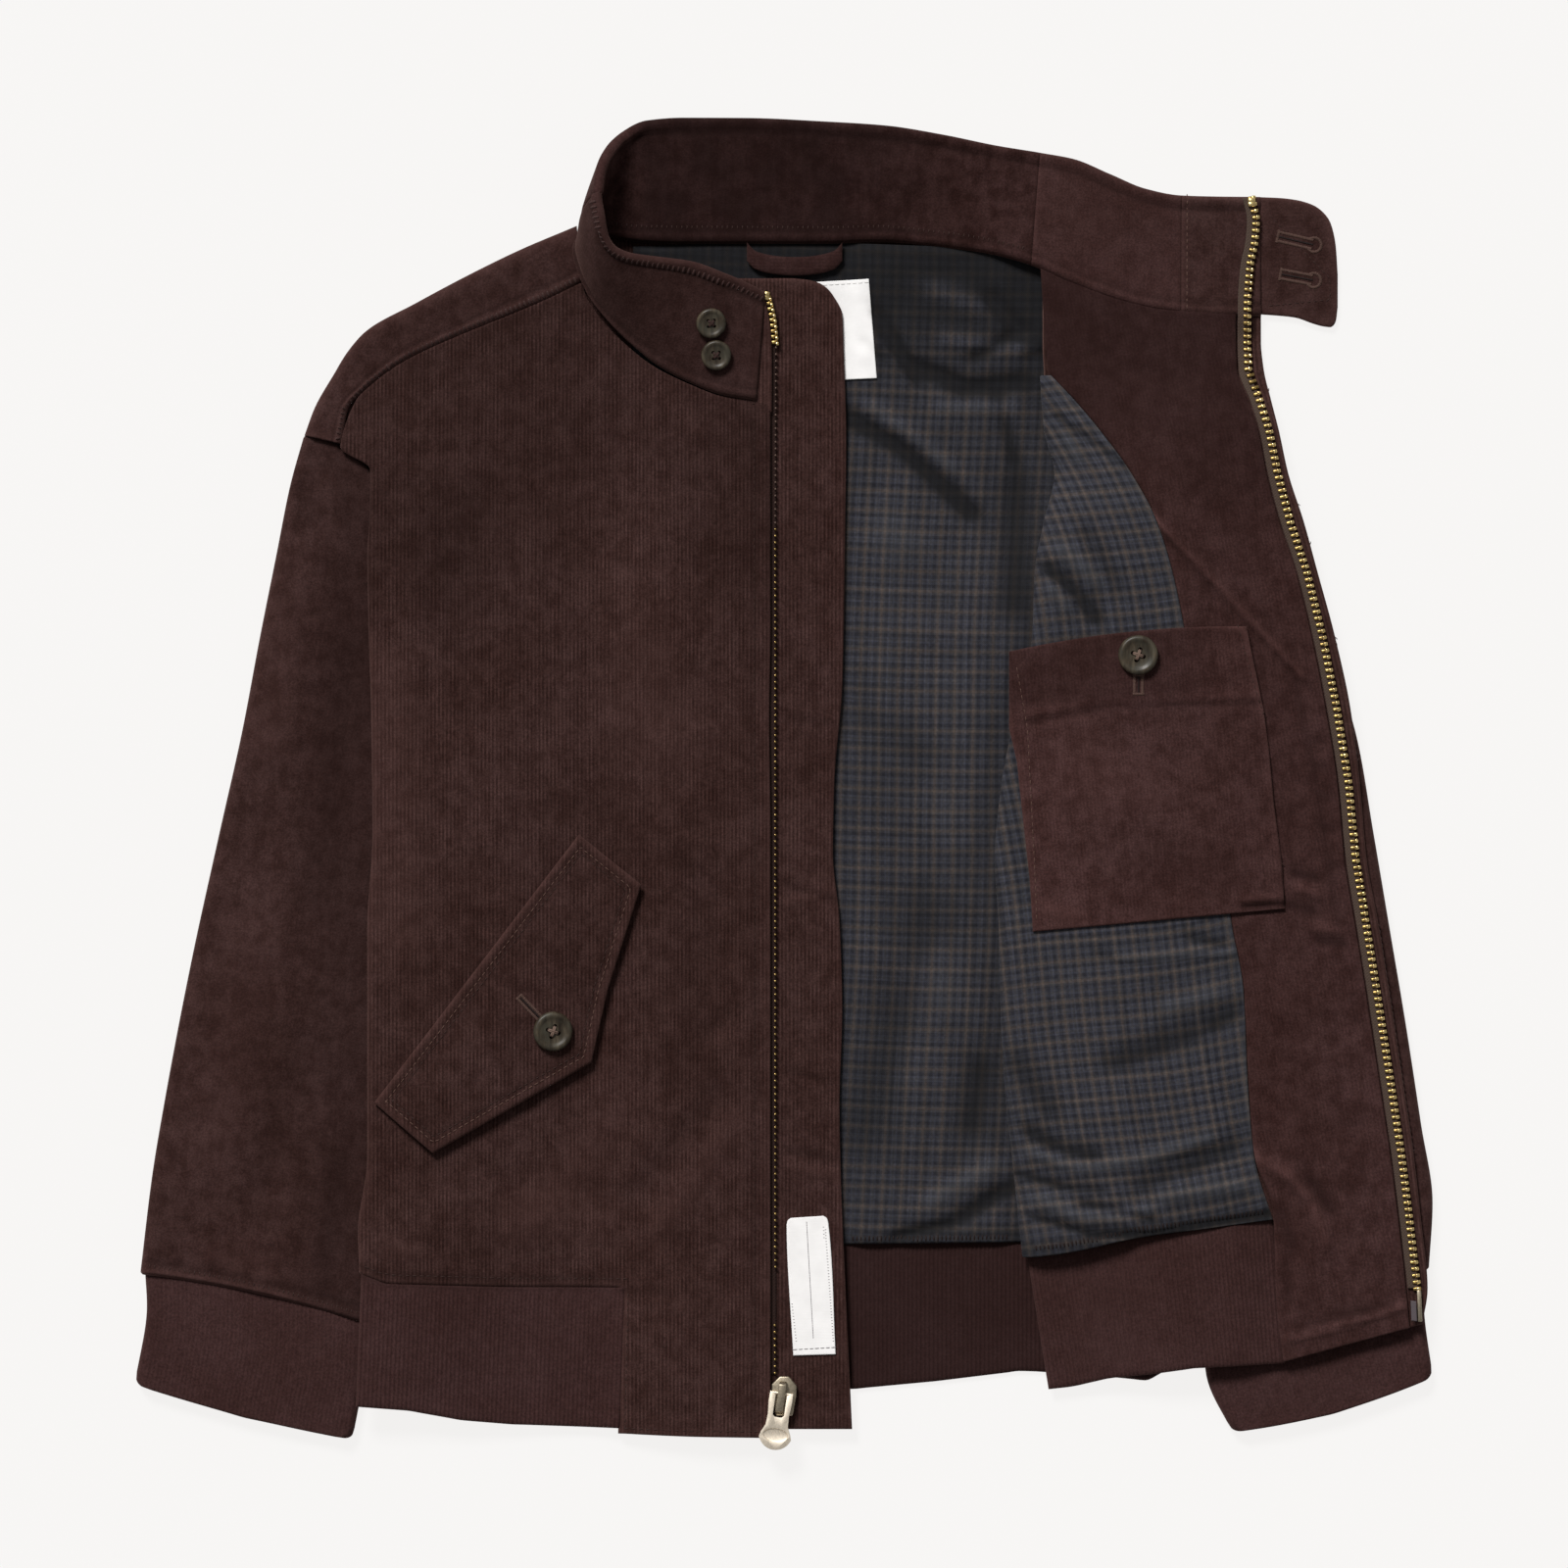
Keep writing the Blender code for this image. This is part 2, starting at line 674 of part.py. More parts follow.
def at_hem(places):
    return [(x, read(OPENED_HEM, "x", "y", x) + SEAM / 2) for x, _ in places]


def at_neck(places, t):
    return [(x, lerp(neck_seam(x) - 0.8, y, t)) for x, y in places]


def neck_seam(x):
    """The opened left front's neck edge, just below the collar's base."""
    line = COLLAR_BACK[-2:] + COLLAR_LEFT[1:] + COLLAR_END[1:]
    return read(line, "base_x", "base_y", x) - SEAM - 0.3


def block_places(block, columns):
    """A row of the left hem block, which slants down towards the hem band."""
    slant = BLOCK_SLANT * (1.0 if block is OPENED_BLOCK[-1] else 0.5)
    start = block.facing + 0.6
    return [(x, block.y - slant * (1 - (x - start) / (block.edge - start))) for x in columns]


def shell_places(row):
    """Places across the opened front's shell: the hidden leaf, the fold and the top leaf."""
    width = leaf_width(row.y)
    leaf = [(row.fold + width * t, row.y) for t in (1.0, 0.6, 0.25)]
    fold = [(row.fold, row.y)] * 3
    top = [(lerp(row.fold + 1.5, row.facing, t), row.y) for t in ACROSS_LINING]
    top += [(x, row.y) for x in (*facing_x(row), row.teeth - 1.0, row.edge)]
    return leaf + fold + top


def make_front_left():
    """The left front's shell: a leaf hidden underneath, the fold, and the top leaf, which lies
    outside down and carries its hem block."""
    rows = [at_neck(shell_places(OPENED[0]), t) for t in (0.0, 0.55)]
    rows += [shell_places(row) for row in OPENED[:-1]]
    rows.append(at_hem(shell_places(OPENED[-1])))
    outer, inner = [], []
    for row in rows:
        fold_x, fold_y = row[3]
        high = opened_under(fold_x, fold_y) + FRONT_CLOTH
        low = high - 2 * FRONT_CLOTH - LAYER
        out_row, in_row = [], []
        for x, y in row[:3]:
            under = LEAF_UNDER + lift(x, y, 72.0)
            out_row.append((x, y, under))
            in_row.append((x, y, under + FRONT_CLOTH))
        for out_x, in_x, out_z, in_z in (
            (1.4, 3.0, low, low + FRONT_CLOTH),
            (0.0, FRONT_CLOTH, (low + high) / 2, (low + high) / 2),
            (1.4, 3.0, high, high - FRONT_CLOTH),
        ):
            out_row.append((fold_x + out_x, fold_y, out_z))
            in_row.append((fold_x + in_x, fold_y, in_z))
        for x, y in row[6:]:
            under = opened_under(x, y)
            out_row.append((x, y, under + FRONT_CLOTH))
            in_row.append((x, y, under))
        outer.append(out_row)
        inner.append(in_row)
    for block in OPENED_BLOCK:
        places = block_places(block, [*facing_x(block), block.teeth - 1.0, block.edge])
        hidden = len(outer[0]) - len(places)
        out_row, in_row = [None] * hidden, [None] * hidden
        for x, y in places:
            under = opened_under(x, y)
            out_row.append((x, y, under + FRONT_CLOTH))
            in_row.append((x, y, under))
        outer.append(out_row)
        inner.append(in_row)
    return wall("front_left", outer, inner, cord)


def on_opened(x, y):
    """Underside of what lies on the opened left front."""
    return opened_under(x, y) + FRONT_CLOTH + LAYER


def make_lining_left():
    """Lining of the opened front. It turns down round the fold, and ends under the facing's edge."""
    first = Opened(154, 98.1, 100.6, 0, 0)
    rows = []
    for row in [first] + [r for r in OPENED if r.y <= 145]:
        places = [(row.fold, row.y)] * 3
        places += [(lerp(row.fold + 1.5, row.facing, t), row.y) for t in (*ACROSS_LINING, 1.0)]
        rows.append(places)
    rows[-1] = at_hem(rows[-1])
    outer, inner = [], []
    for row in rows:
        x, y = row[0]
        high = on_opened(x, y)
        low = high - 2 * (LAYER + FRONT_CLOTH)
        out_row = [(x - 1.6, y, low + 0.9), (x - 1.6, y, (low + high) / 2 + 0.8)]
        in_row = [(x - 0.5, y, low + 0.9), (x - 0.5, y, (low + high) / 2 + 0.8)]
        out_row.append((x - 0.1, y, high + LINING_CLOTH * 0.9))
        in_row.append((x + 0.6, y, high))
        for x, y in row[3:]:
            under = on_opened(x, y)
            out_row.append((x, y, under + LINING_CLOTH))
            in_row.append((x, y, under))
        outer.append(out_row)
        inner.append(in_row)
    return wall("lining_left", outer, inner, lining)


def facing_places():
    """The facing's strip along the zip, from the neck seam to the bottom of the hem block."""
    rows = [[(x, neck_seam(x)) for x in facing_x(OPENED[0]._replace(facing=96.5))]]
    rows += [[(x, row.y) for x in facing_x(row)] for row in OPENED]
    rows += [block_places(block, facing_x(block)) for block in OPENED_BLOCK]
    return rows


def hem_rib_left_under(x, y):
    return LEAF_UNDER - 0.2 + lerp(lift(x, y, 52.0), SLEEVE_HEIGHT + 0.9 - LEAF_UNDER, smooth((x - 166) / 20))


def pocket_places():
    rows = []
    for row in INSIDE_POCKET:
        places = []
        for t in steps(0, 1, 8):
            bow = INSIDE_POCKET_BOW * 4 * t * (1 - t) if row is INSIDE_POCKET[0] else 0.0
            places.append((lerp(row.left, row.right, t), lerp(row.left_y, row.right_y, t) + bow))
        rows.append(places)
    return rows


def pocket_under(x, y):
    """The inside pocket lies on the lining and the facing; its corner by the fold hangs over."""
    fold = read(OPENED, "y", "fold", y)
    return on_opened(max(x, fold + 3), y) + 1.2 + LAYER + 0.1


# ---------------------------------------------------------------- collar


def collar_grid(stands, up):
    """Outer face of a stretch of collar, up points from the neck seam to the upper edge, and the
    direction out of that face at each point."""
    face = []
    for i, stand in enumerate(stands):
        base = Vector((stand.base_x, stand.base_y, stand.base_z))
        top = Vector((stand.top_x, stand.top_y, stand.top_z))
        before, after = stands[max(i - 1, 0)], stands[min(i + 1, len(stands) - 1)]
        middle_step = Vector(
            (
                after.base_x + after.top_x - before.base_x - before.top_x,
                after.base_y + after.top_y - before.base_y - before.top_y,
                after.base_z + after.top_z - before.base_z - before.top_z,
            )
        )
        out = (top - base).cross(middle_step).normalized()
        face.append([base.lerp(top, t) + out * stand.bulge * math.sin(math.pi * t) for t in steps(0, 1, up)])
    return face


def directions(face):
    found = []
    rows, columns = len(face), len(face[0])
    for i in range(rows):
        found.append([])
        for j in range(columns):
            across = face[min(i + 1, rows - 1)][j] - face[max(i - 1, 0)][j]
            upward = face[i][min(j + 1, columns - 1)] - face[i][max(j - 1, 0)]
            found[-1].append(upward.cross(across).normalized())
    return found


COLLAR_UP = 5
COLLAR_SEAM = 0.7


def make_collar(whole):
    """The collar is worked out in one run, so that its pieces meet, and cut at its seams."""
    face = collar_grid(whole, COLLAR_UP)
    out = directions(face)
    pieces = (
        ("collar_right", 0, len(COLLAR_RIGHT) - 1, cord),
        ("collar_back", len(COLLAR_RIGHT) - 1, len(COLLAR_RIGHT) + len(COLLAR_BACK) - 2, cord_fine),
    )
    start = len(COLLAR_RIGHT) + len(COLLAR_BACK) - 2
    middle = start + len(COLLAR_LEFT) - 1
    pieces += (
        ("collar_left", start, middle, cord_fine),
        ("collar_end_left", middle, middle + len(COLLAR_END) - 1, cord),
    )
    for name, first, last, finish in pieces:
        outer = [list(row) for row in face[first : last + 1]]
        inner = []
        for row, out_row in zip(face[first : last + 1], out[first : last + 1]):
            inner.append([p - n * COLLAR_CLOTH for p, n in zip(row, out_row)])
        for grid in (outer, inner):
            starts = [(b - a).normalized() * COLLAR_SEAM / 2 for a, b in zip(grid[0], grid[1])]
            ends = [(b - a).normalized() * COLLAR_SEAM / 2 for a, b in zip(grid[-1], grid[-2])]
            grid[0] = [p + shift for p, shift in zip(grid[0], starts)]
            grid[-1] = [p + shift for p, shift in zip(grid[-1], ends)]
        wall(name, outer, inner, finish)
    return face, out


def make_collar_tab():
    outer, inner = [], []
    for row in TAB:
        outer.append([(row.x, y, 0.3 + 2.6) for y in steps(row.low, row.high, 4)])
        inner.append([(row.x, y, 0.3) for y in steps(row.low, row.high, 4)])
    return wall("collar_tab", outer, inner, cord)


# ---------------------------------------------------------------- trims


def make_pocket_flap():
    """The slanted flap, made from the right front's points moved up. Rows run from its left end
    to its top end, each from the pocket edge to the free edge."""
    free = [
        (0.0, FLAP_LOW),
        (0.2, None),
        (0.4, None),
        (0.6, FLAP_RIGHT),
        (0.74, FLAP_WAIST),
        (0.87, None),
        (1.0, FLAP_HIGH),
    ]
    known = [(t, c) for t, c in free if c is not None]
    rows = []
    for t, corner in free:
        if corner is None:
            low = max((k for k in known if k[0] < t), key=lambda k: k[0])
            high = min((k for k in known if k[0] > t), key=lambda k: k[0])
            f = (t - low[0]) / (high[0] - low[0])
            corner = Corner(lerp(low[1].x, high[1].x, f), lerp(low[1].y, high[1].y, f))
        start = Corner(lerp(FLAP_LEFT.x, FLAP_TOP.x, t), lerp(FLAP_LEFT.y, FLAP_TOP.y, t))
        rows.append([(lerp(start.x, corner.x, f), lerp(start.y, corner.y, f)) for f in steps(0, 1, 4)])
    return panel("pocket_flap", rows, lambda x, y: flap_under(x, y), FRONT_CLOTH, cord)


def flap_under(x, y):
    return front_under(x, y) + FRONT_CLOTH + 0.55


def resting(under, x, y):
    """A spot on a cloth and the direction out of it, from the heights round it."""
    reach = 6.0
    slope_x = (under(x + reach, y) - under(x - reach, y)) / (2 * reach)
    slope_y = (under(x, y + reach) - under(x, y - reach)) / (2 * reach)
    middle = max(under(x, y), (under(x + reach, y) + under(x - reach, y)) / 2)
    return Vector((x, y, middle)), Vector((-slope_x, -slope_y, 1)).normalized()


def make_button(name, diameter, centre, normal):
    """A turned horn button: a rim, a dished middle and a rounded underside."""
    r = diameter / 2
    thick = diameter * 0.17
    profile = [
        (0, thick * 0.72),
        (r * 0.62, thick * 0.72),
        (r * 0.76, thick),
        (r * 0.9, thick * 0.95),
        (r, thick * 0.55),
        (r * 0.93, thick * 0.15),
        (r * 0.8, 0),
        (0, 0),
    ]
    made = turned(name, profile, 20, horn)
    made.rotation_euler = Vector((0, 0, 1)).rotation_difference(Vector(normal)).to_euler()
    made.location = Vector(centre) * MM
    return made


def strip_between(name, left, right, rows, under, thickness, finish, across=1):
    """A strip between two edges that are functions of y."""
    places = [[(lerp(left(y), right(y), t), y) for t in steps(0, 1, across)] for y in rows]
    return panel(name, places, under, thickness, finish)


TapeEdge = namedtuple("TapeEdge", "y edge")
TAPE_RIGHT = [
    TapeEdge(186, -7.2),
    TapeEdge(174, -5),
    TapeEdge(164, -3.2),
    TapeEdge(145, -3.0),
    TapeEdge(-222.5, -3.0),
]
TAPE_WIDTH = 13.0
TAPE_LEFT = [
    TapeEdge(221, 176.3),
    TapeEdge(213, 178),
    TapeEdge(204.5, 177.4),
    TapeEdge(196, 175.6),
    TapeEdge(184, 174.6),
    TapeEdge(178, 174.5),
]


def zip_left_places():
    """The left tape, from the collar's upper edge down to the pin."""
    line = [(t.edge, t.y) for t in TAPE_LEFT] + [(o.teeth, o.y) for o in OPENED]
    line += [(o.teeth, o.y) for o in OPENED_BLOCK[:1]]
    return [[(x - 3.4, y), (x + 0.8, y)] for x, y in line]


def zip_left_under(x, y):
    on_collar = lerp(6.1, 3.9, (y - 177) / 44)
    on_front = opened_under(x, y) + FRONT_CLOTH + LAYER
    return lerp(on_front, max(on_collar, on_front), smooth((y - 168) / 9))


# ---------------------------------------------------------------- zip slider and pull

SLIDER_TOP_Y = -223.2
SLIDER_LENGTH = 14.8
SLIDER_LOW = TAPE_UNDER
SLIDER_HIGH = FRONT_AT_ZIP + FRONT_CLOTH - 0.2
PIVOT = (-0.9, -229.6)
PIVOT_Z = SLIDER_HIGH + 1.2
PULL_ANGLE = math.radians(8.6)
PULL_LENGTH = 21.4
PULL_THICK = 1.2
BAR_RADIUS = 0.55
SLOT_LENGTH = 9.0
SLOT_HALF = 2.15
BRIDGE_HALF = 1.4


def make_slider():
    """Slider body with the bridge that holds the pull: an arch along the zip, open underneath."""
    half_top, half_low = 4.65, 3.3
    y0, y1 = SLIDER_TOP_Y, SLIDER_TOP_Y - SLIDER_LENGTH
    body = [
        (-1.6, y0),
        (1.9, y0),
        (half_top + 0.2, y0 - 3.6),
        (half_top, y0 - 7.5),
        (half_low, y1),
        (-half_low + 0.2, y1),
        (-half_top, y0 - 7.5),
        (-half_top, y0 - 3.0),
    ]
    slider = plate("zip_slider", body, SLIDER_LOW, SLIDER_HIGH, antique)
    arch = arch_mesh()
    union = slider.modifiers.new("Bridge", "BOOLEAN")
    union.operation = "UNION"
    union.object = arch
    return slider


def arch_mesh():
    """The bridge's arch, a helper that is joined to the slider's body."""
    side = [
        (4.6, -0.6),
        (4.6, 1.2),
        (3.4, 3.0),
        (-6.6, 3.0),
        (-7.8, 1.2),
        (-7.8, -0.6),
        (-6.7, -0.6),
        (-6.7, 0.9),
        (-6.1, 2.0),
        (2.9, 2.0),
        (3.5, 0.9),
        (3.5, -0.6),
    ]
    bm = bmesh.new()
    loops = []
    for s in (-BRIDGE_HALF, BRIDGE_HALF):
        loop = []
        for along, up in side:
            x = PIVOT[0] + along * math.sin(PULL_ANGLE) + s * math.cos(PULL_ANGLE)
            y = PIVOT[1] + along * math.cos(PULL_ANGLE) - s * math.sin(PULL_ANGLE)
            loop.append(bm.verts.new(Vector((x, y, SLIDER_HIGH + up)) * MM))
        loops.append(loop)
    bm.faces.new(loops[0])
    bm.faces.new(loops[1])
    for i in range(len(side)):
        k = (i + 1) % len(side)
        bm.faces.new((loops[0][i], loops[0][k], loops[1][k], loops[1][i]))
    made = add_object("bridge_helper", bm, antique)
    made.hide_render = True
    made.display_type = "WIRE"
    return made


def make_pull():
    """The pull tab: two arms round a slot, a bar between their ends, a waist and a wide end.
    Its origin is on the bar's axis, and it lies along -Y before it is turned."""
    half = PULL_THICK / 2
    outline = []
    right = [(4.3, 0.6), (4.45, -3.0), (4.0, -8.0), (4.2, -12.2), (5.6, -15.2), (6.3, -17.6)]
    outline += right
    end_centre, end_radius = -14.7, 6.7
    for angle in range(-20, -161, -20):
        a = math.radians(angle)
        outline.append((end_radius * 0.97 * math.cos(a), end_centre + end_radius * math.sin(a)))
    outline += [(-x, y) for x, y in reversed(right)]
    bm = bmesh.new()
    slot = [
        (SLOT_HALF, -0.6),
        (SLOT_HALF, -SLOT_LENGTH + 0.8),
        (SLOT_HALF - 0.8, -SLOT_LENGTH),
        (-SLOT_HALF + 0.8, -SLOT_LENGTH),
        (-SLOT_HALF, -SLOT_LENGTH + 0.8),
        (-SLOT_HALF, -0.6),
    ]
    ring = outline + list(reversed(slot))
    low = [bm.verts.new(Vector((x, y, -half)) * MM) for x, y in ring]
    high = [bm.verts.new(Vector((x, y, half)) * MM) for x, y in ring]
    bm.faces.new(low)
    bm.faces.new(high)
    for i in range(len(ring)):
        k = (i + 1) % len(ring)
        bm.faces.new((low[i], low[k], high[k], high[i]))
    pull = add_object("zip_pull", bm, nickel)
    bpy.ops.mesh.primitive_cylinder_add(vertices=12, radius=BAR_RADIUS * MM, depth=8.0 * MM)
    bar = bpy.context.object
    bar.name = "bar_helper"
    bar.rotation_euler = (0, math.pi / 2, 0)
    for owner in bar.users_collection:
        owner.objects.unlink(bar)
    helpers.objects.link(bar)
    bar.hide_render = True
    bar.display_type = "WIRE"
    hinge = bpy.data.objects.new("pull_axis", None)
    jacket.objects.link(hinge)
    hinge.location = Vector((*PIVOT, PIVOT_Z)) * MM
    hinge.rotation_euler = (0, 0, -PULL_ANGLE)
    pull.parent = hinge
    bar.parent = hinge
    join = pull.modifiers.new("Bar", "BOOLEAN")
    join.operation = "UNION"
    join.object = bar
    return pull


# ---------------------------------------------------------------- the jacket

for old in list(bpy.data.objects):
    bpy.data.objects.remove(old, do_unlink=True)

jacket = bpy.data.collections.new("harrington_jacket")
helpers = bpy.data.collections.new("helpers")
bpy.context.scene.collection.children.link(jacket)
bpy.context.scene.collection.children.link(helpers)

cord = material("needlecord", (0.040, 0.018, 0.016), 0.85)
cord_fine = material("needlecord_fine", (0.050, 0.022, 0.021), 0.85)
rib = material("rib_knit", (0.040, 0.019, 0.018), 0.9)
lining = material("check_lining", (0.035, 0.039, 0.050), 0.8)
white_tape = material("label_tape", (0.85, 0.84, 0.82), 0.7)
tape = material("zip_tape", (0.09, 0.065, 0.05), 0.8)
horn = material("horn", (0.06, 0.045, 0.032), 0.35)
antique = material("antique_brass", (0.28, 0.24, 0.17), 0.4, 1.0)
nickel = material("nickel_silver", (0.6, 0.55, 0.46), 0.3, 1.0)

panel("back_panel", back_places(), back_under, BACK_CLOTH, cord)
panel("back_lining", back_lining_places(), lining_under, LINING_CLOTH, lining)
make_hem_rib_back()
make_front_right()
make_shoulder_right()

panel(
    "hem_rib_right",
    band_places(rib_columns(-159.0, -61.0), FRONT_HEM, FRONT_RIB_END, BAND_LEAN, BAND_LEAN),
    front_under,
    RIB_CLOTH - RIB_DEPTH,
    rib,
    ribs=True,
)

for label, rings, band in (("right", SLEEVE_RIGHT, CUFF_RIGHT), ("left", SLEEVE_LEFT, CUFF_LEFT)):
    wall(f"sleeve_{label}", *flat_tube(rings, SLEEVE_HEIGHT, SLEEVE_WALL), cord, around=True)
    cuff = flat_tube(band, CUFF_HEIGHT - RIB_DEPTH, RIB_CLOTH - RIB_DEPTH, ribs=True)
    wall(f"cuff_{label}", *cuff, rib, around=True)

guard_places = [[(lerp(-20, row.edge, t), row.y) for t in (0, 0.35, 0.7, 1)] for row in GUARD]
panel("wind_guard", guard_places, lambda x, y: GUARD_UNDER, GUARD_CLOTH, cord)

make_front_left()
make_lining_left()
panel("facing_left", facing_places(), on_opened, 1.2, cord)
panel(
    "hem_rib_left",
    band_places(rib_columns(92, 183.4), OPENED_HEM, OPENED_RIB_END, 8.0, 4.0),
    hem_rib_left_under,
    RIB_CLOTH - RIB_DEPTH,
    rib,
    ribs=True,
)
panel("inside_pocket", pocket_places(), pocket_under, 1.6, cord)

collar_run = COLLAR_RIGHT + COLLAR_BACK[1:] + COLLAR_LEFT[1:] + COLLAR_END[1:]
collar_face, collar_out = make_collar(collar_run)
make_collar_tab()

make_pocket_flap()
loop_rows = [[(x, 203.2 - 5.5 * (1 - (x / 18) ** 2) ** 0.5 + d) for x in steps(-18, 18, 8)] for d in (0, -4.5)]
loop_rows = [[(x + 4, y) for x, y in row] for row in loop_rows]
panel("hanger_loop", loop_rows, lambda x, y: LABEL_UNDER, 1.3, cord)

neck_label = []
for t in steps(0, 1, 4):
    neck_label.append([(lerp(-4, 32, u) + 3 * t, lerp(188.5 + 2 * u, 151.5 + 1.5 * u, t)) for u in steps(0, 1, 5)])
panel("neck_label", neck_label, lambda x, y: lining_under(x, y) + LINING_CLOTH + 0.5, LABEL_CLOTH, white_tape)
care_label = [[(1, -164), (16.5, -163)], [(3.5, -215.5), (19.5, -215)]]
panel("care_label", care_label, lambda x, y: GUARD_TOP + 0.3, LABEL_CLOTH, white_tape)

tape_rows = [186, 180, 174, 164, 145, 90, 0, -90, -170, -222.5]
strip_between(
    "zip_tape_right",
    lambda y: read(TAPE_RIGHT, "y", "edge", y) - TAPE_WIDTH,
    lambda y: read(TAPE_RIGHT, "y", "edge", y),
    tape_rows,
    lambda x, y: TAPE_UNDER,
    TAPE_CLOTH,
    tape,
)
panel("zip_tape_left", zip_left_places(), zip_left_under, TAPE_CLOTH, tape)
plate(
    "zip_pin",
    [(238.3, -190.6), (239.9, -190.6), (240.3, -202.5), (238.7, -202.5)],
    zip_left_under(238.5, -196) + 0.1,
    zip_left_under(238.5, -196) + 1.7,
    antique,
)
make_slider()
make_pull()

FLAP_BUTTON = (-87.5, -93)
INSIDE_BUTTON = (133, 48.5)
spot, out = resting(flap_under, *FLAP_BUTTON)
make_button("button_flap", 15.0, spot + out * (FRONT_CLOTH + 0.5), out)
spot, out = resting(pocket_under, *INSIDE_BUTTON)
make_button("button_inside", 15.0, spot + out * (1.6 + 0.5), out)


def on_collar(x, y):
    """The collar's outer face nearest a place, and the direction out of it."""
    nearest = None
    for face_row, out_row in zip(collar_face, collar_out):
        for point, out in zip(face_row, out_row):
            gap = math.hypot(point.x - x, point.y - y)
            if nearest is None or gap < nearest[0]:
                nearest = (gap, point, out)
    _, point, out = nearest
    z = point.z - (out.x * (x - point.x) + out.y * (y - point.y)) / out.z
    return Vector((x, y, z)), out


for number, (x, y) in enumerate(((-27.5, 173.5), (-25.5, 161.5)), 1):
    spot, out = on_collar(x, y)
    make_button(f"button_collar_{number}", 11.4, spot + out * 0.7, out)
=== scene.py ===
"""Looks of a child's harrington jacket in needlecord, lying open on its back.

Lengths are in millimetres and become metres where a mesh is made. +Z is up, +Y points from the hem to
the collar, and +X to the wearer's left. Each piece of cloth is a closed shell between two fine grids
of points, rounded at its edges. Its places come from the same tables as the solids.
"""

import math
from collections import namedtuple

import bmesh
import bpy
import numpy as np
from mathutils import Matrix, Vector, kdtree


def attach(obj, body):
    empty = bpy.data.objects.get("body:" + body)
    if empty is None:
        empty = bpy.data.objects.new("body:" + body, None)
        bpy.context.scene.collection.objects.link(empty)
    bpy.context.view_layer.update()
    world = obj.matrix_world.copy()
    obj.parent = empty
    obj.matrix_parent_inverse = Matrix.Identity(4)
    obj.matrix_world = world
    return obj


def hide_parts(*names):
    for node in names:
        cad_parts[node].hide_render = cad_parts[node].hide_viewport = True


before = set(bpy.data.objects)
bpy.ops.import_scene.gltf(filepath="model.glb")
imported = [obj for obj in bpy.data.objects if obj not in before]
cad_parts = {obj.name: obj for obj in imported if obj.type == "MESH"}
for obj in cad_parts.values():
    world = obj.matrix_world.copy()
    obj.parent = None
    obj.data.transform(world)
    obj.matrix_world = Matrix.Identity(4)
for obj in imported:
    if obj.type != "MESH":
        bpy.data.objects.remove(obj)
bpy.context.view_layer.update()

MM = 0.001

# ---------------------------------------------------------------- driving sizes

BACK_CLOTH = 1.6  # needlecord of the back and the shoulder
FRONT_CLOTH = 1.8  # needlecord and interfacing of the fronts
LINING_CLOTH = 1.0
RIB_CLOTH = 2.2  # double rib knit of the hem and the cuffs
GUARD_CLOTH = 2.0  # wind guard behind the zip, two layers
COLLAR_CLOTH = 3.2  # two layers of cord and the turned edge
FACING_CLOTH = 1.2
POCKET_CLOTH = 1.6
LOOP_CLOTH = 1.3
TAPE_CLOTH = 0.7
LABEL_CLOTH = 0.5
TAB_UNDER, TAB_CLOTH = 0.3, 2.6

LAYER = 0.4  # gap between a piece and what it lies on

SLEEVE_HEIGHT = 7.6
SLEEVE_WALL = 2.0
CUFF_HEIGHT = 6.6
RIB_PITCH = 1.6
RIB_DEPTH = 0.45
CUFF_ROUND = 3.6  # radius of the cuff's two free corners
RIB_RELIEF = 0.3  # how much of it shows, because the knit is double
ZIP_PITCH = 2.5
BUTTON, COLLAR_BUTTON = 15.0, 11.4
WALE_PITCH = 1.45  # of the fronts' needlecord
FINE_PITCH = 1.3  # of the collar's inner needlecord
CHECK_WARP = 7.1  # repeat of the check across the lining
CHECK_WEFT = 7.5  # repeat of the check along it

BACK_TOP = BACK_CLOTH
LINING_UNDER = BACK_TOP + LAYER
LINING_TOP = LINING_UNDER + LINING_CLOTH
LABEL_UNDER = LINING_TOP + LAYER
GUARD_UNDER = LABEL_UNDER + LABEL_CLOTH + 0.3
GUARD_TOP = GUARD_UNDER + GUARD_CLOTH
TAPE_UNDER = GUARD_TOP + 0.3
TAPE_TOP = TAPE_UNDER + TAPE_CLOTH
FRONT_AT_ZIP = TAPE_TOP + 0.3
FRONT_FLAT = BACK_TOP + LAYER
LEAF_UNDER = LINING_TOP + LAYER + 0.1
OPENED_UNDER = LEAF_UNDER + FRONT_CLOTH + LAYER

SIDE_ROLL = 1.7  # how far the body's side edge turns down over the back
ZIP_X = -5.0

# Lines of a grid near the edge of a cloth, where it is rounded.
RIM_LINES = (0.15, 0.4, 0.8, 1.4, 2.1)

# ---------------------------------------------------------------- tables


def listed(kind, rows):
    return [kind(*row) for row in rows]


Side = namedtuple("Side", "y sleeve rise")  # hidden sleeve edge, and how far the body rises over it
SIDE = listed(Side, [
    (175, 170, 0), (155, 166, 1.2), (140, 161, 4), (128, 158, 6.6), (117, 152, 7.9), (102, 138, 7.9),
    (86, 122, 7.9), (70, 108, 7.9), (55, 101, 7.9), (-203, 157, 7.9), (-250, 168, 7.9),
])

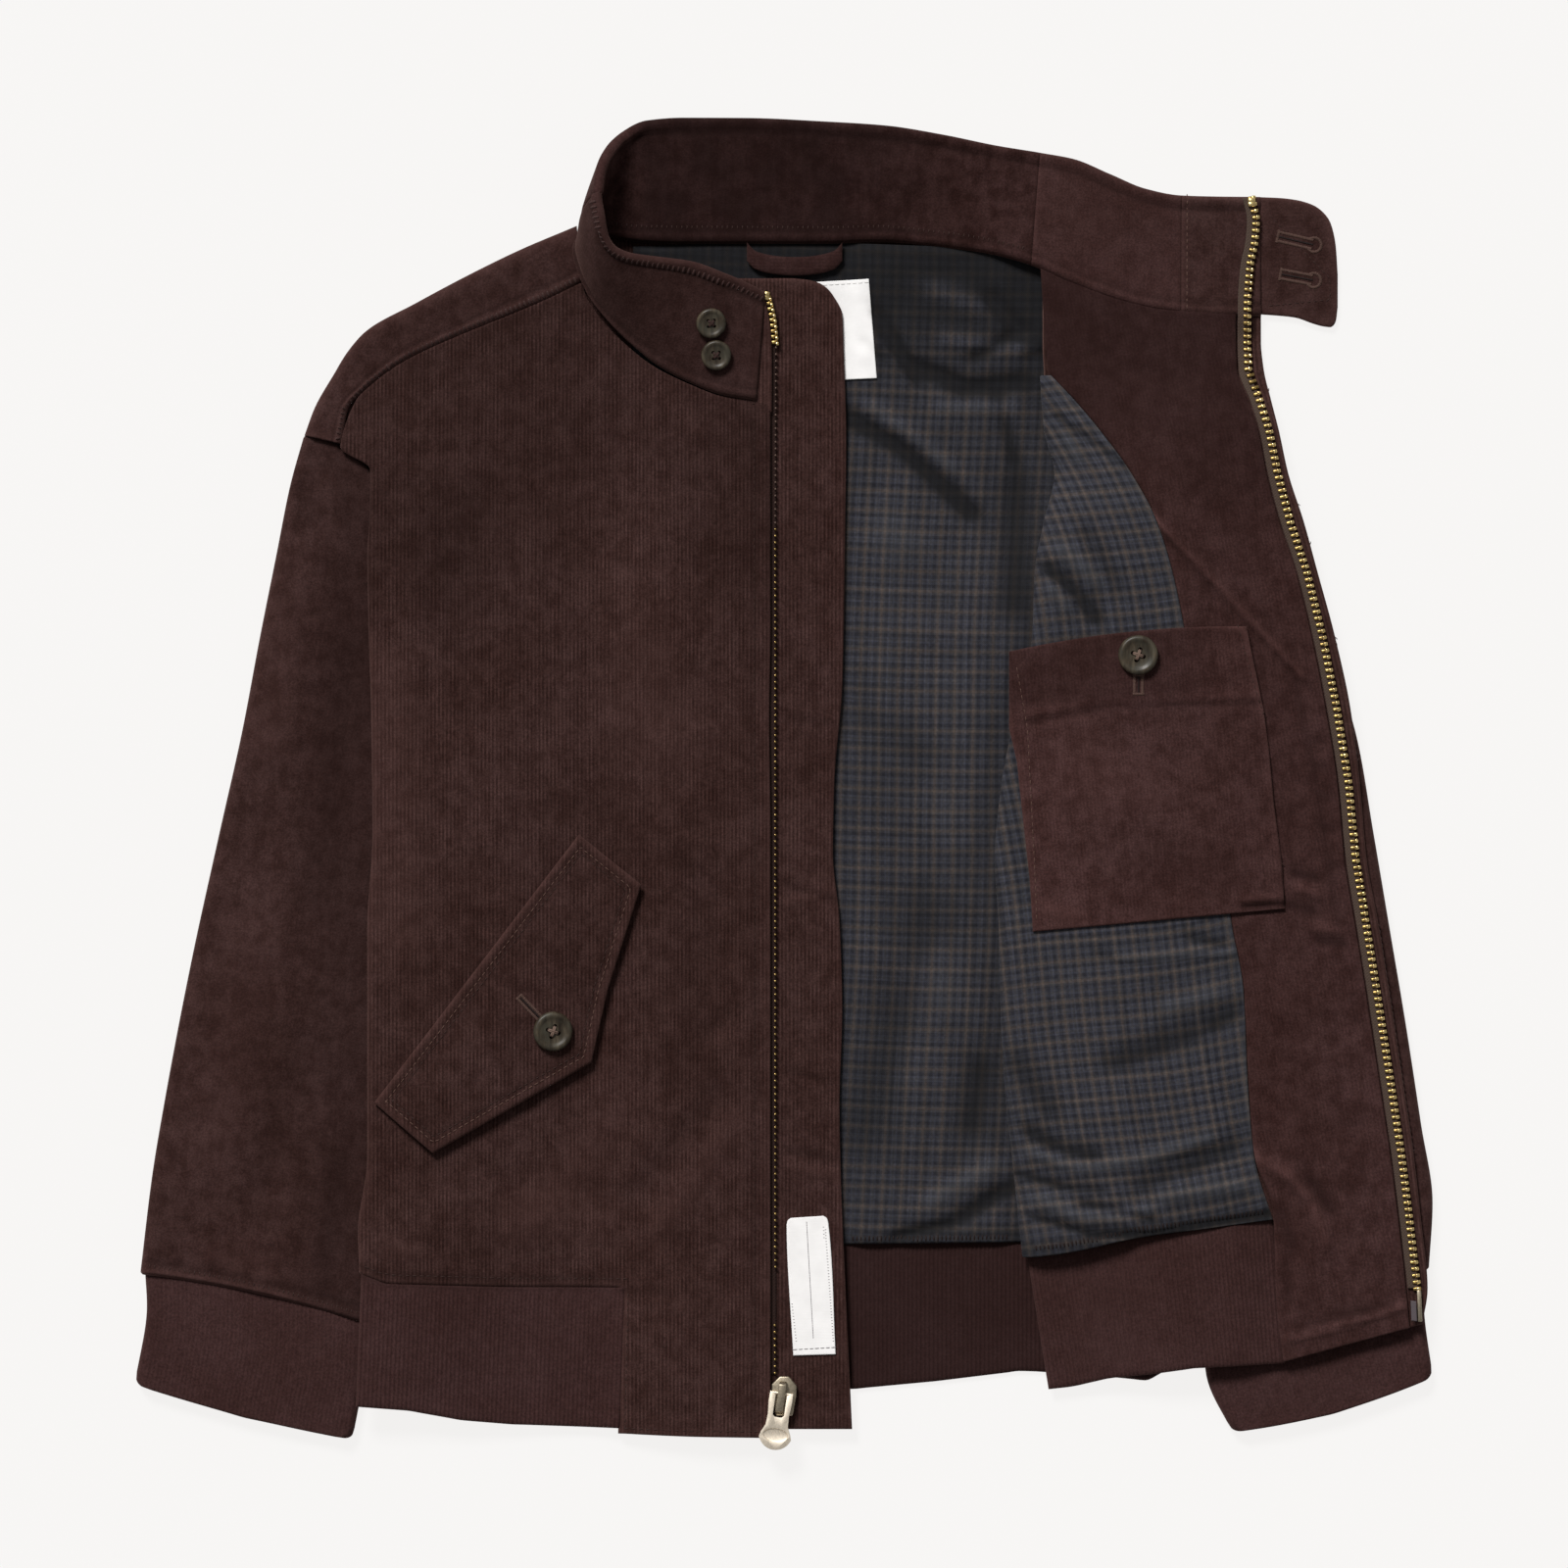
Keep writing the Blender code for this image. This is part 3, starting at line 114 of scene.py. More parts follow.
Back = namedtuple("Back", "y half dip")  # half width, and how far the row's middle drops
BACK = listed(Back, [
    (208, 78, 5), (201, 94, 3), (190.5, 114, 0), (169, 150, 0), (154, 163, 0), (133, 174, 0),
    (126.5, 163, 0), (117, 152, 0), (104, 152.5, 0), (91, 153, 0), (78, 153, 0), (65, 153, 0),
    (50, 152.5, 0), (15, 152, 0), (-25, 152, 0), (-65, 153, 0), (-111, 153, 0), (-148, 154, 0),
    (-172, 155, 0),
])
BACK_FULL = 153.0
BACK_ACROSS = (0, 25, 45, 57, 68, 79, 90, 101, 112, 124, 139, BACK_FULL)

Front = namedtuple("Front", "y side inner")
FRONT = listed(Front, [
    (188.5, -78, -76), (183, -89.5, -74.2), (174, -111, -67.8), (165, -132.5, -58.8), (157.3, -147, -48.8),
    (150.3, -156, -34.8), (146, -160.5, -22.8), (143.5, -162, -5), (127, -167.2, -5), (118.3, -155.8, -5),
    (102, -156, -5), (86.5, -157, -5), (60, -156.5, -5), (25, -155.5, -5.5), (-18.5, -155, -5),
    (-55, -157, -5), (-100, -157, -5), (-140, -157, -5), (-168, -160.5, -5),
])
FRONT_ACROSS = (0, 0.015, 0.08, 0.145, 0.21, 0.28, 0.35, 0.43, 0.51, 0.58, 0.6413, 0.7, 0.77, 0.85, 0.92, 1)
BLOCK_FROM = 10  # the column of the front where its hem block starts
BAND_LEAN = -2.0  # how far the hem band's ends lean over its depth
BAND_DEPTH = 50.0

Hem = namedtuple("Hem", "x y")
FRONT_HEM = listed(Hem, [(-160, -184.5), (-150, -188.5), (-103.5, -190), (-5, -190.5)])
FRONT_RIB_END = listed(Hem, [(-161, -234.5), (-142, -236), (-121, -239.9), (-103, -241.5), (-63, -243)])
BLOCK_END = listed(Hem, [(-62, -245), (-36.5, -246), (-5, -246.5)])
BACK_HEM = listed(Hem, [(-157, -184), (20, -173), (157, -171.5)])
BACK_RIB_END = listed(Hem, [
    (-157, -229), (25, -228.5), (57, -225.5), (90, -221.5), (115, -223), (138, -225), (146, -219),
    (157, -217),
])

Guard = namedtuple("Guard", "y edge")  # right edge of the wind guard
GUARD = listed(Guard, [
    (190.7, 4), (190, 10), (188, 15), (183.5, 19), (177, 22), (164, 22.5), (130, 23.5), (89, 23), (37, 22),
    (0, 19), (-26, 18.5), (-52, 21), (-85, 22), (-122, 21), (-148, 21.5), (-185, 23), (-228, 25),
    (-243.3, 25.7),
])

Shoulder = namedtuple("Shoulder", "outer_x outer_y seam_x seam_y")
SHOULDER = listed(Shoulder, [
    (-81.2, 209.5, -78.6, 189.1), (-98.5, 202.2, -88.5, 184.1), (-117.5, 193, -100.5, 178.9),
    (-139.5, 181.3, -122.5, 169.8), (-157.8, 171, -140, 161.9), (-165, 162.8, -148.5, 156.9),
    (-170, 154.5, -157, 150.3), (-177, 142, -165.2, 141.5), (-180.8, 131.4, -167.7, 128.3),
])

Ring = namedtuple("Ring", "outer_x outer_y inner_x inner_y bow")  # ends of a flattened section
SLEEVE_RIGHT = listed(Ring, [
    (-181.3, 130.6, -155.8, 118, 2.7), (-186.2, 113, -139, 101, 1), (-191.5, 86.5, -123, 84, 0),
    (-197.7, 55.5, -103.5, 56, 0), (-204.4, 20, -111, 14, 0), (-213, -18.5, -119, -24, 0),
    (-223.3, -65.5, -129, -71, 0), (-233.3, -117.5, -141, -126, 0), (-238.4, -148, -149, -162, 1),
    (-242.8, -184.3, -157.5, -203, 2.4),
])
SLEEVE_LEFT = listed(Ring, [
    (181, 130, 156, 117.3, 2.6), (185.5, 113, 139, 101, 1), (191.5, 86.5, 123, 84, 0),
    (203, 55.5, 103.5, 56, 0), (216, 18, 111, 12, 0), (222.4, -18.5, 119, -25, 0),
    (228.4, -54, 127, -61, 0), (234.8, -92, 135, -99, 0), (240.3, -128, 143, -135, 0.5),
    (244.7, -158, 150.5, -172, 1.4), (243.3, -182.6, 157.5, -203, 2.4),
])
CUFF_RIGHT = listed(Ring, [
    (-241, -185, -158, -203.4, 2.4), (-240.4, -197, -158.5, -220, 1.5),
    (-245.1, -226.7, -162.8, -247.6, -1.2),
])
CUFF_LEFT = listed(Ring, [
    (242.4, -183.2, 158, -203.4, 2.4), (241.5, -196, 159, -221, 1.5), (244.9, -224.3, 169.3, -245, -2.4),
])

# Left front, opened out: fold edge, inner edge of the facing, zip teeth and the cloth's edge.
Opened = namedtuple("Opened", "y fold facing teeth edge")
OPENED = listed(Opened, [
    (166, 97.5, 98.5, 174.5, 180), (156, 98, 99.5, 174.8, 181), (145, 98.7, 109, 178.8, 183.5),
    (133, 99.8, 119, 182.5, 186.5), (117, 103.5, 130.5, 185.6, 190), (99, 99.5, 140, 190.3, 195.8),
    (80, 96, 146, 196.6, 201), (56, 95, 151, 202.5, 207.5), (28, 89, 156, 208, 213.5),
    (0, 83.5, 160.5, 212.4, 217), (-28, 81, 165, 215, 219.5), (-53, 82.5, 168.5, 219, 224),
    (-78, 83, 173, 223, 228), (-111, 84.5, 174.5, 228, 233), (-140, 87.5, 177, 232.3, 237.3),
    (-160, 91.5, 184, 234.8, 240),
])
OPENED_HEM = listed(Hem, [
    (92, -178.3), (104.5, -177), (119, -174), (133, -170.5), (151.5, -168.3), (184, -164), (245, -164),
])
OPENED_RIB_END = listed(Hem, [
    (100, -228.3), (109, -227.3), (123, -224), (139, -222.3), (154.5, -220), (187.4, -218.3),
])
OPENED_BLOCK = listed(Opened, [
    (-190, 0, 185.4, 238.3, 242.5), (-203.5, 0, 188, 239.6, 240.5),
])
BLOCK_SLANT = 14.0  # the block's bottom is this much lower at the rib than at the zip
LEAF_WIDTH = 40.0  # hidden part of the left front that runs back under the fold
LEAF_WIDTH_NECK = 16.0

# Stand collar, from the zip on the right front, round the neck, to the zip on the left front.
# base is the neck seam, top the upper edge, z the height of the collar's outer face,
# and bulge how far the middle stands out.
Stand = namedtuple("Stand", "base_x base_y base_z top_x top_y top_z bulge")
COLLAR = listed(Stand, [
    (-10.5, 145.2, 11, -7.2, 185.5, 11.2, 0.2), (-22.5, 147, 10.8, -14, 189, 12.2, 0.6),
    (-34.5, 151.2, 9.8, -22, 192.2, 14.5, 1.2), (-48.3, 158.4, 8.6, -35, 196.5, 17.5, 1.8),
    (-58.3, 166.2, 7.8, -47, 197.8, 20.5, 2.2), (-67.2, 175.3, 7, -56.5, 198.5, 23.5, 2.2),
    (-73.4, 183.6, 6.2, -63, 200.5, 26, 2), (-77.6, 192.6, 5.2, -67.3, 205.5, 28.5, 1.5),
    (-79.6, 201, 4.2, -69.3, 213, 30, 1.5), (-76.5, 206.5, 3.2, -70.8, 222, 29.5, 2.8),
    (-71, 208, 2.6, -70.2, 231.5, 26.5, 3.6), (-65.5, 207.5, 2.4, -67.3, 239.5, 19.5, 3.4),
    (-60, 206, 2.2, -61.5, 246, 10.5, 2.2), (-53, 205, 2.1, -52.7, 250.3, 5, 0.8),
    (-40, 204.5, 2.1, -38.5, 251.4, 2, 0.2), (-16, 204.5, 2.1, -14, 251.3, 0.6, 0),
    (14, 204.5, 2.1, 15, 250, 0.3, 0), (36, 205.2, 2.1, 38, 248.5, 0.3, 0),
    (56, 203.5, 2.4, 60, 245, 0.3, 0), (76, 200.8, 4.2, 80, 240.8, 0.3, 0), (93, 196, 7, 96.5, 238, 0.3, 0),
    (106, 190, 6.8, 109, 235.7, 0.3, 0), (121, 184, 5.8, 123, 230, 0.3, 0),
    (135.5, 180, 4.4, 136.5, 224.5, 0.3, 0), (149.5, 178, 3.6, 150, 222, 0.3, 0),
    (164, 177, 2.8, 165, 221.6, 0.3, 0), (179.6, 177.2, 1.8, 179.6, 221.5, 0.3, 0),
])
COLLAR_SEAMS = (0, 9, 20, 24, 26)  # rows where the right, back and left parts and the end meet

Tab = namedtuple("Tab", "x low high")
TAB = listed(Tab, [
    (180, 177.2, 221.5), (187, 176.7, 221.2), (193, 176, 220.5), (199.5, 173.8, 218.6),
    (203.5, 172.7, 215.8), (206.2, 172.4, 212), (208.2, 174.4, 203.5), (209, 180, 192),
])

Pocket = namedtuple("Pocket", "left left_y right right_y")
INSIDE_POCKET = listed(Pocket, [
    (84.6, 49.8, 174, 59.3), (84.6, 21, 180.5, 28), (87.6, 8, 182.5, 13.5), (89.6, -11, 184.5, -8),
    (92.4, -36, 187.5, -30), (93.6, -55.6, 188.5, -47),
])
INSIDE_POCKET_BOW = 2.6

Corner = namedtuple("Corner", "x y")
FLAP_LEFT = Corner(-154.3, -120)
FLAP_LOW = Corner(-132.2, -139)
FLAP_RIGHT = Corner(-72.5, -105)
FLAP_WAIST = Corner(-66.5, -78)
FLAP_HIGH = Corner(-53.7, -38)
FLAP_TOP = Corner(-77.3, -19)
FLAP_NORMAL = (0.795, -0.607)  # way across the flap, from its pocket edge to its free edge
FLAP_ROWS = (3.4, 5.2)  # distances of its two rows of stitches from its edge


# A fold or crease: a ridge from one place to another, or a valley where high is below 0.
Fold = namedtuple("Fold", "x0 y0 x1 y1 wide high")
BACK_LINING_FOLDS = listed(Fold, [
    (20, 141, 46, 126, 3.6, -2.4), (44, 128, 74, 99, 4, -2.3), (30, 144, 66, 116, 3.6, 1.6),
    (48, 158, 68, 150, 3.2, -2.4), (64, 148, 94, 152, 3.6, -2.2), (56, 142, 90, 141, 4, 1.4),
    (70, 160, 92, 172, 2.4, -1.6), (58, 168, 92, 163, 3, 1.3), (80, 150, 88, 118, 3, -1.2),
    (33, 180, 52, 150, 2.6, -1.8), (76, 186, 92, 168, 3, -1.6), (88, 120, 86, 60, 7, -1.4),
    (30, 100, 60, 84, 8, 0.6), (24, 30, 62, 6, 8, -0.6), (30, -60, 70, -84, 8, 0.5),
    (40, -171.5, 65, -165, 2.2, -2), (65, -165, 90, -149, 2.8, -2.6), (52, -160, 84, -142, 4, 1.5),
    (58, -37, 27, -145, 12, -0.9), (75, -100, 70, -136, 6, -1.4), (42, 120, 38, 20, 10, 0.5),
    (66, 60, 60, -30, 9, 0.5), (48, -120, 62, -60, 8, 0.7), (28, 168, 40, 158, 2.2, -0.6),
    (52, 188, 78, 178, 4, 1),
])
LINING_LEFT_FOLDS = listed(Fold, [
    (101, 139.5, 119, 126.5, 1.6, -0.6), (119, 126.5, 130, 118, 1.6, -0.5), (105, 133, 112, 120, 2.6, 0.6),
    (97, 83.5, 111, 71, 2.6, -1.5), (111, 71, 119, 60, 3, -1.6), (102, 90, 120, 74, 3.4, 0.8),
    (99, 76, 108, 64, 2.6, 0.7), (112, 98, 128, 70, 3, -0.5), (123, -66, 140, -65, 1.3, 0.7),
    (140, -65, 171, -63, 1.3, 0.7), (117, -63, 127, -67.5, 1.5, -0.5), (151, -57.5, 167, -61, 1.8, -0.8),
    (172, -84.5, 158, -92.5, 4, -1), (158, -92.5, 120, -106.5, 4.5, -0.9), (166, -78, 140, -86, 3.5, 0.6),
    (84, -100, 104, -128, 5, -0.7), (90, -129.5, 105, -137.5, 2.8, -1.3),
    (105, -137.5, 120, -140.5, 2.8, -1.2), (90, -138, 109, -144.5, 2.2, 0.9),
    (109, -144.5, 131, -142.5, 2.2, 0.9), (131, -142.5, 163, -133, 2.6, 0.8),
    (86, -145.8, 108, -152.5, 1.5, -1.4), (108, -152.5, 122, -153, 1.5, -0.8),
    (172, -135, 147, -146, 4, -0.9), (147, -146, 131, -152.5, 3.4, -0.8),
    (111, -157.5, 140, -164.3, 1.8, -1), (93, -156, 112, -164, 3, 1), (112, -164, 140, -161, 2.6, 0.9),
    (140, -156, 176, -151, 3, 0.9), (92, -162, 115, -169.2, 1.3, -1.5),
    (115, -169.2, 138, -169.8, 1.3, -1.6), (138, -169.8, 153, -166.5, 1.3, -1.4),
    (153, -166.5, 184, -162.1, 1.3, -1.2),
])
FACING_FOLDS = listed(Fold, [
    (137, 102, 162, 76, 1.3, 1.1), (162, 76, 197, 38.5, 1.4, 1.3), (142, 93, 164, 70, 1.6, -0.4),
    (190, -33, 202, -35.5, 1.7, -1.2), (189, -44.5, 201, -48, 2, -1.3), (192, -39, 203, -42, 2.2, 0.9),
    (199, -58, 212, -60.5, 1.6, -1.3), (199, -54, 211, -56, 1.8, 0.8), (191, 46, 199, 8, 1.3, -0.6),
    (199, 8, 210, -60, 1.3, -0.5), (172, -138, 191, -148, 3, 0.9), (188, -146, 199, -158, 2.4, 1.5),
    (199, -158, 205.5, -176, 2.4, 1.5), (196, -146, 207, -162, 2.8, -1), (186, -158, 192, -176, 2.8, -0.8),
    (188, -209, 204, -205, 1.6, 1), (204, -205, 234, -196.5, 1.6, 1), (192, -206, 230, -196, 1.4, -0.9),
    (189, -175, 190, -195, 1.6, -0.6), (205, -198.7, 222, -197.6, 1.4, -0.6),
    (208, -128, 219, -128, 1.4, -0.5), (173, -47.5, 191, -46.3, 1.1, -0.9),
])
FACING_FOLDS += [
    Fold(x, y, x + 6, y - 1, 1.5, -0.7) for x, y in ((198, 17), (199, 7), (201, -4), (202, -16), (205, -30))
]
FRONT_FOLDS = listed(Fold, [
    (-148, 60, -146, -70, 12, 0.9), (-120, 120, -128, 40, 16, -0.8), (-60, 120, -48, 0, 20, 0.9),
    (-30, -20, -36, -120, 14, -0.8), (-14, -82, -32, -97, 2.2, -0.55), (-16, -93, -30, -103, 2.6, 0.4),
    (-22, -113, -60, -160, 5, -0.9), (-14, -122, -50, -172, 6, 0.7), (-60, -120, -104, -176, 9, 0.6),
    (-110, -160, -60, -166, 10, 0.6), (-154, -172, -138, -178, 4, 0.8), (-29, 128, -50, 150, 5, 0.6),
    (-62, -192, -36, -192.5, 1.6, -0.35), (-60, -236, -8, -238, 2, -0.3),
])
GUARD_FOLDS = listed(Fold, [
    (0, -38, 20, -44, 1.6, -0.7), (0, -45, 18, -40, 1.6, 0.5), (0, 25, 20, 22, 1.6, -0.5),
    (0, -108, 20, -113, 1.6, -0.6), (0, -138, 20, -142, 1.8, -0.8), (0, -144, 20, -147, 2, 0.5),
    (4, 60, 20, 52, 3, 0.25),
])
POCKET_FOLDS = listed(Fold, [
    (91, 23, 122, 29, 1.3, -0.9), (122, 29, 181, 30.5, 1.2, -0.6), (92, 27, 181, 34, 2.2, 0.4),
    (172, -46.4, 191, -45.4, 1.3, -1.2), (172, -43.5, 186, -42.5, 1.6, 0.7), (96, -46, 112, -51, 3, 0.6),
    (188, 8, 189, -40, 2, -0.4), (174.8, 52, 182, 20, 1.6, 0.4), (168, 62, 187, 42, 1.5, 1),
    (96, 10, 150, -10, 14, 0.4), (120, -20, 178, -38, 14, -0.3),
])
SLEEVE_RIGHT_FOLDS = listed(Fold, [
    (-178, 100, -196, 0, 12, 1.1), (-160, 60, -178, -60, 10, -1), (-196, -40, -218, -150, 14, 0.9),
    (-180, -90, -196, -160, 8, -1), (-166, -140, -172, -196, 5, -0.9), (-220, -175, -190, -190, 5, 0.7),
    (-183, 116, -178, 92, 4, -0.8), (-172, 118, -166, 80, 5, 0.7),
])
SLEEVE_LEFT_FOLDS = listed(Fold, [
    (205, 60, 222, -60, 9, 0.5), (214, 20, 230, -110, 6, -0.4),
])

# ---------------------------------------------------------------- reading tables


def lerp(a, b, t):
    return a + (b - a) * t


def smooth(t):
    t = np.clip(t, 0.0, 1.0)
    return t * t * (3.0 - 2.0 * t)


def hump(x, middle, width):
    """1 at a middle, falling off to both sides over about a width."""
    return np.exp(-(((x - middle) / width) ** 2))


def groove_shade(height, strength=2.2):
    """The shade that gathers where a height is below 0."""
    return np.clip(-strength * height, 0, 1)


def steps(first, last, count):
    return [lerp(first, last, i / count) for i in range(count + 1)]


def flow(keys, values, at):
    """A smooth line through values at keys, read at any places. It never swings past its values."""
    order = np.argsort(keys)
    keys = np.asarray(keys, float)[order]
    values = np.asarray(values, float)[order]
    flat = values.ndim == 1
    values = values.reshape(len(keys), -1)
    gaps = np.diff(keys)[:, None]
    slopes = np.diff(values, axis=0) / gaps
    turns = np.zeros_like(values)
    turns[0], turns[-1] = slopes[0], slopes[-1]
    before, after = slopes[:-1], slopes[1:]
    with np.errstate(divide="ignore", invalid="ignore"):
        weights = 2 * gaps[1:] + gaps[:-1], gaps[1:] + 2 * gaps[:-1]
        mean = (weights[0] + weights[1]) / (weights[0] / before + weights[1] / after)
    turns[1:-1] = np.where(before * after > 0, mean, 0.0)
    at = np.clip(np.asarray(at, float), keys[0], keys[-1])
    i = np.clip(np.searchsorted(keys, at, side="right") - 1, 0, len(keys) - 2)
    gap = gaps[i, 0][..., None]
    t = (at - keys[i])[..., None] / gap
    found = (
        values[i] * (1 + 2 * t) * (1 - t) ** 2
        + turns[i] * gap * t * (1 - t) ** 2
        + values[i + 1] * t * t * (3 - 2 * t)
        + turns[i + 1] * gap * t * t * (t - 1)
    )
    return found[..., 0] if flat else found


def read(table, key, column, at):
    found = flow([getattr(r, key) for r in table], [getattr(r, column) for r in table], at)
    return float(found) if np.ndim(at) == 0 else found


def read_straight(table, key, column, at):
    rows = sorted(table, key=lambda row: getattr(row, key))
    return np.interp(at, [getattr(r, key) for r in rows], [getattr(r, column) for r in rows])


# ---------------------------------------------------------------- heights


def folds(creases, x, y):
    """The height that a table of folds adds at places."""
    high = np.zeros(np.shape(x))
    for fold in creases:
        way_x, way_y = fold.x1 - fold.x0, fold.y1 - fold.y0
        length = math.hypot(way_x, way_y)
        t = np.clip(((x - fold.x0) * way_x + (y - fold.y0) * way_y) / length**2, 0, 1)
        away = np.hypot(x - fold.x0 - t * way_x, y - fold.y0 - t * way_y)
        spans = length / (2 * fold.wide)
        fade = smooth(t * spans + 0.35) * smooth((1 - t) * spans + 0.35)
        high = high + fold.high * fade * hump(away, 0, fold.wide)
    return high


def ripple(x, y, size, seed):
    """Gentle unevenness of a cloth that lies loose, from -1 to 1, over waves of about a size."""
    high = 0.0
    for k, (turn, stretch) in enumerate(((0.3, 1.0), (1.4, 1.27), (2.5, 0.81), (3.6, 1.63), (4.9, 0.67))):
        a = turn + seed * 1.7 + k
        across = (x * math.cos(a) + y * math.sin(a)) / (size * stretch)
        high = high + np.sin(2 * math.pi * across + seed * 2.3 + 1.9 * k)
    return high / 5


def lift(x, y, ramp):
    """How far the body rises over a sleeve that lies under its side, falling to 0 across a ramp."""
    inside = read_straight(SIDE, "y", "sleeve", y) - 3.0 - abs(x)
    return read_straight(SIDE, "y", "rise", y) * (1.0 - smooth(inside / ramp))


def back_under(x, y):
    return lift(x, y, 60.0)


def fold_at(y):
    """X of the opened front's fold."""
    return read(OPENED, "y", "fold", y)


def lining_under(x, y):
    """The lining bags between the wind guard and the opened front, and lies flat below them."""
    fold_edge = fold_at(y) + 14 * smooth((y - 160) / 8)
    free = smooth((x - 23) / 9) * smooth((fold_edge - 3 - x) / 9)
    loose = 1.5 + 0.45 * ripple(x, y, 34.0, 1) + 0.2 * ripple(x, y, 15.0, 9)
    loose = loose + folds(BACK_LINING_FOLDS, x, y)
    return LINING_UNDER + 0.2 + free * np.maximum(loose, -0.1) + lift(x, y, 62.0)


def hollows(creases, strength, x, y):
    """The shade, up to 0.7, that lies in a table's valleys. Below 0 it's light on the ridges."""
    return np.clip(-strength * folds(creases, x, y), -0.5, 0.7)


def lining_shade(x, y):
    """Painted shade in the lining's valleys and painted light on its ridges, painted shade under the
    collar, beside the opened front and a little all over, and a darker strip along the hem.
    """
    beside = 0.3 * hump(x, fold_at(y), 7)
    neck = 0.65 * smooth((y - 142) / 45) + 0.5 * smooth((y - 191) / 8) + 0.15 * smooth((y - 90) / 60)
    strip = 0.4 * smooth((read_straight(BACK_HEM, "x", "y", x) + 4.6 - y) / 1.0)
    return 0.17 + 1.5 * hollows(BACK_LINING_FOLDS, 0.36, x, y) + beside + neck + strip


def front_under(x, y):
    """The right front rises over the hem band, the sleeve and, near the zip, the wind guard."""
    over_rib = 0.8 * smooth((-145 - y) / 25)
    over_guard = smooth((x + 75) / 45)
    chest = 1.4 * hump(x, -95, 45) * hump(y, 20, 90)
    flat = (FRONT_FLAT + over_rib) * (1 - over_guard)
    inside = smooth((x + 154) / 20) * smooth((-12 - x) / 12)
    creases = 1.5 * folds(FRONT_FOLDS, x, y)
    waves = 0.45 * ripple(x, y, 62.0, 2) + 0.25 * ripple(x, y, 21.0, 3)
    loose = inside * (waves + np.maximum(creases, -1.4))
    return flat + FRONT_AT_ZIP * over_guard + chest + loose + lift(x, y, 80.0)


def leaf_width(y):
    return lerp(LEAF_WIDTH, LEAF_WIDTH_NECK, smooth((y - 135) / 20))


def opened_under(x, y):
    """Underside of the opened left front's top leaf."""
    leaf_end = fold_at(y) + leaf_width(y)
    inside = OPENED_UNDER - 2.4 * smooth((x - leaf_end + 2) / 36) + lift(x, y, 78.0)
    over_sleeve = SLEEVE_HEIGHT + 0.6
    outside = 1.0 + (over_sleeve - 1.0) * smooth((172 - y) / 38)
    return lerp(inside, outside, smooth((x - 152) / 36))


def on_opened(x, y):
    """Underside of what lies on the opened left front."""
    return opened_under(x, y) + FRONT_CLOTH + LAYER


def lining_left_under(x, y):
    free = smooth((x - fold_at(y)) / 6.0)
    loose = 0.9 + 0.3 * ripple(x, y, 26.0, 4) + 0.15 * ripple(x, y, 11.0, 10)
    loose = np.maximum(loose + 2.1 * folds(LINING_LEFT_FOLDS, x, y), -0.2)
    under_pocket = smooth((y + 52) / 6) * smooth((58 - y) / 6)
    return on_opened(x, y) + free * loose * (1 - under_pocket)


def facing_under(x, y):
    loose = 1.9 * folds(FACING_FOLDS, x, y) + 0.25 * ripple(x, y, 30.0, 5) + 0.2 * ripple(x, y, 12.0, 11)
    return on_opened(x, y) + np.maximum(loose, -0.3) + 0.15


def hem_rib_left_under(x, y):
    over_sleeve = SLEEVE_HEIGHT + 0.9 - LEAF_UNDER
    return LEAF_UNDER - 0.2 + lerp(lift(x, y, 52.0), over_sleeve, smooth((x - 166) / 20))


def pocket_under(x, y):
    """The inside pocket lies on the lining and the facing; its corner by the fold hangs over."""
    return on_opened(np.maximum(x, fold_at(y) + 3), y) + 1.2 + LAYER + 0.1 + folds(POCKET_FOLDS, x, y)


def guard_under(x, y):
    return GUARD_UNDER + folds(GUARD_FOLDS, x, y) * smooth((x + 4) / 5)


def flap_under(x, y):
    """The flap lies on the front along its pocket edge, and stands up a little at its free edge."""
    away = (x - FLAP_LEFT.x) * FLAP_NORMAL[0] + (y - FLAP_LEFT.y) * FLAP_NORMAL[1]
    return front_under(x, y) + FRONT_CLOTH + 0.55 + 1.3 * smooth(away / 22)


def neck_label_under(x, y):
    return lining_under(x, y) + LINING_CLOTH + 0.5


def zip_left_under(x, y):
    on_collar = lerp(6.1, 3.9, (y - 177) / 44)
    on_front = on_opened(x, y)
    return lerp(on_front, np.maximum(on_collar, on_front), smooth((y - 168) / 9))


# ---------------------------------------------------------------- fine grids


def fine_lines(knots, gap):
    """Places along a run of knots: even steps between them, and rim lines at both ends."""
    places = []
    for a, b in zip(knots, knots[1:]):
        places += list(np.linspace(a, b, max(1, math.ceil((b - a) / gap)) + 1)[:-1])
    places.append(knots[-1])
    kept = set(knots) | {knots[0] + r for r in RIM_LINES} | {knots[-1] - r for r in RIM_LINES}
    kept = sorted(k for k in kept if knots[0] <= k <= knots[-1])
    spare = [p for p in places if min(abs(p - k) for k in kept) > 0.35 * gap]
    return np.array(sorted(kept + spare))


def runs_of(grid):
    """Places of a grid's rows and of its columns, in mm from the first ones."""
    runs = []
    for axis in (0, 1):
        reach = np.linalg.norm(np.diff(grid, axis=axis), axis=2).mean(axis=1 - axis)
        runs.append(np.concatenate([[0.0], np.cumsum(np.maximum(reach, 0.01))]))
    return runs


def resampled(grid, runs, lines, curved=(True, True)):
    """A coarse grid, read at finer rows and columns."""
    for axis in (0, 1):
        moved = np.moveaxis(grid, axis, 0)
        values = moved.reshape(len(runs[axis]), -1)
        if curved[axis]:
            found = flow(runs[axis], values, lines[axis])
        else:
            found = np.stack([np.interp(lines[axis], runs[axis], v) for v in values.T], axis=1)
        grid = np.moveaxis(found.reshape(len(lines[axis]), *moved.shape[1:]), 0, axis)
    return grid


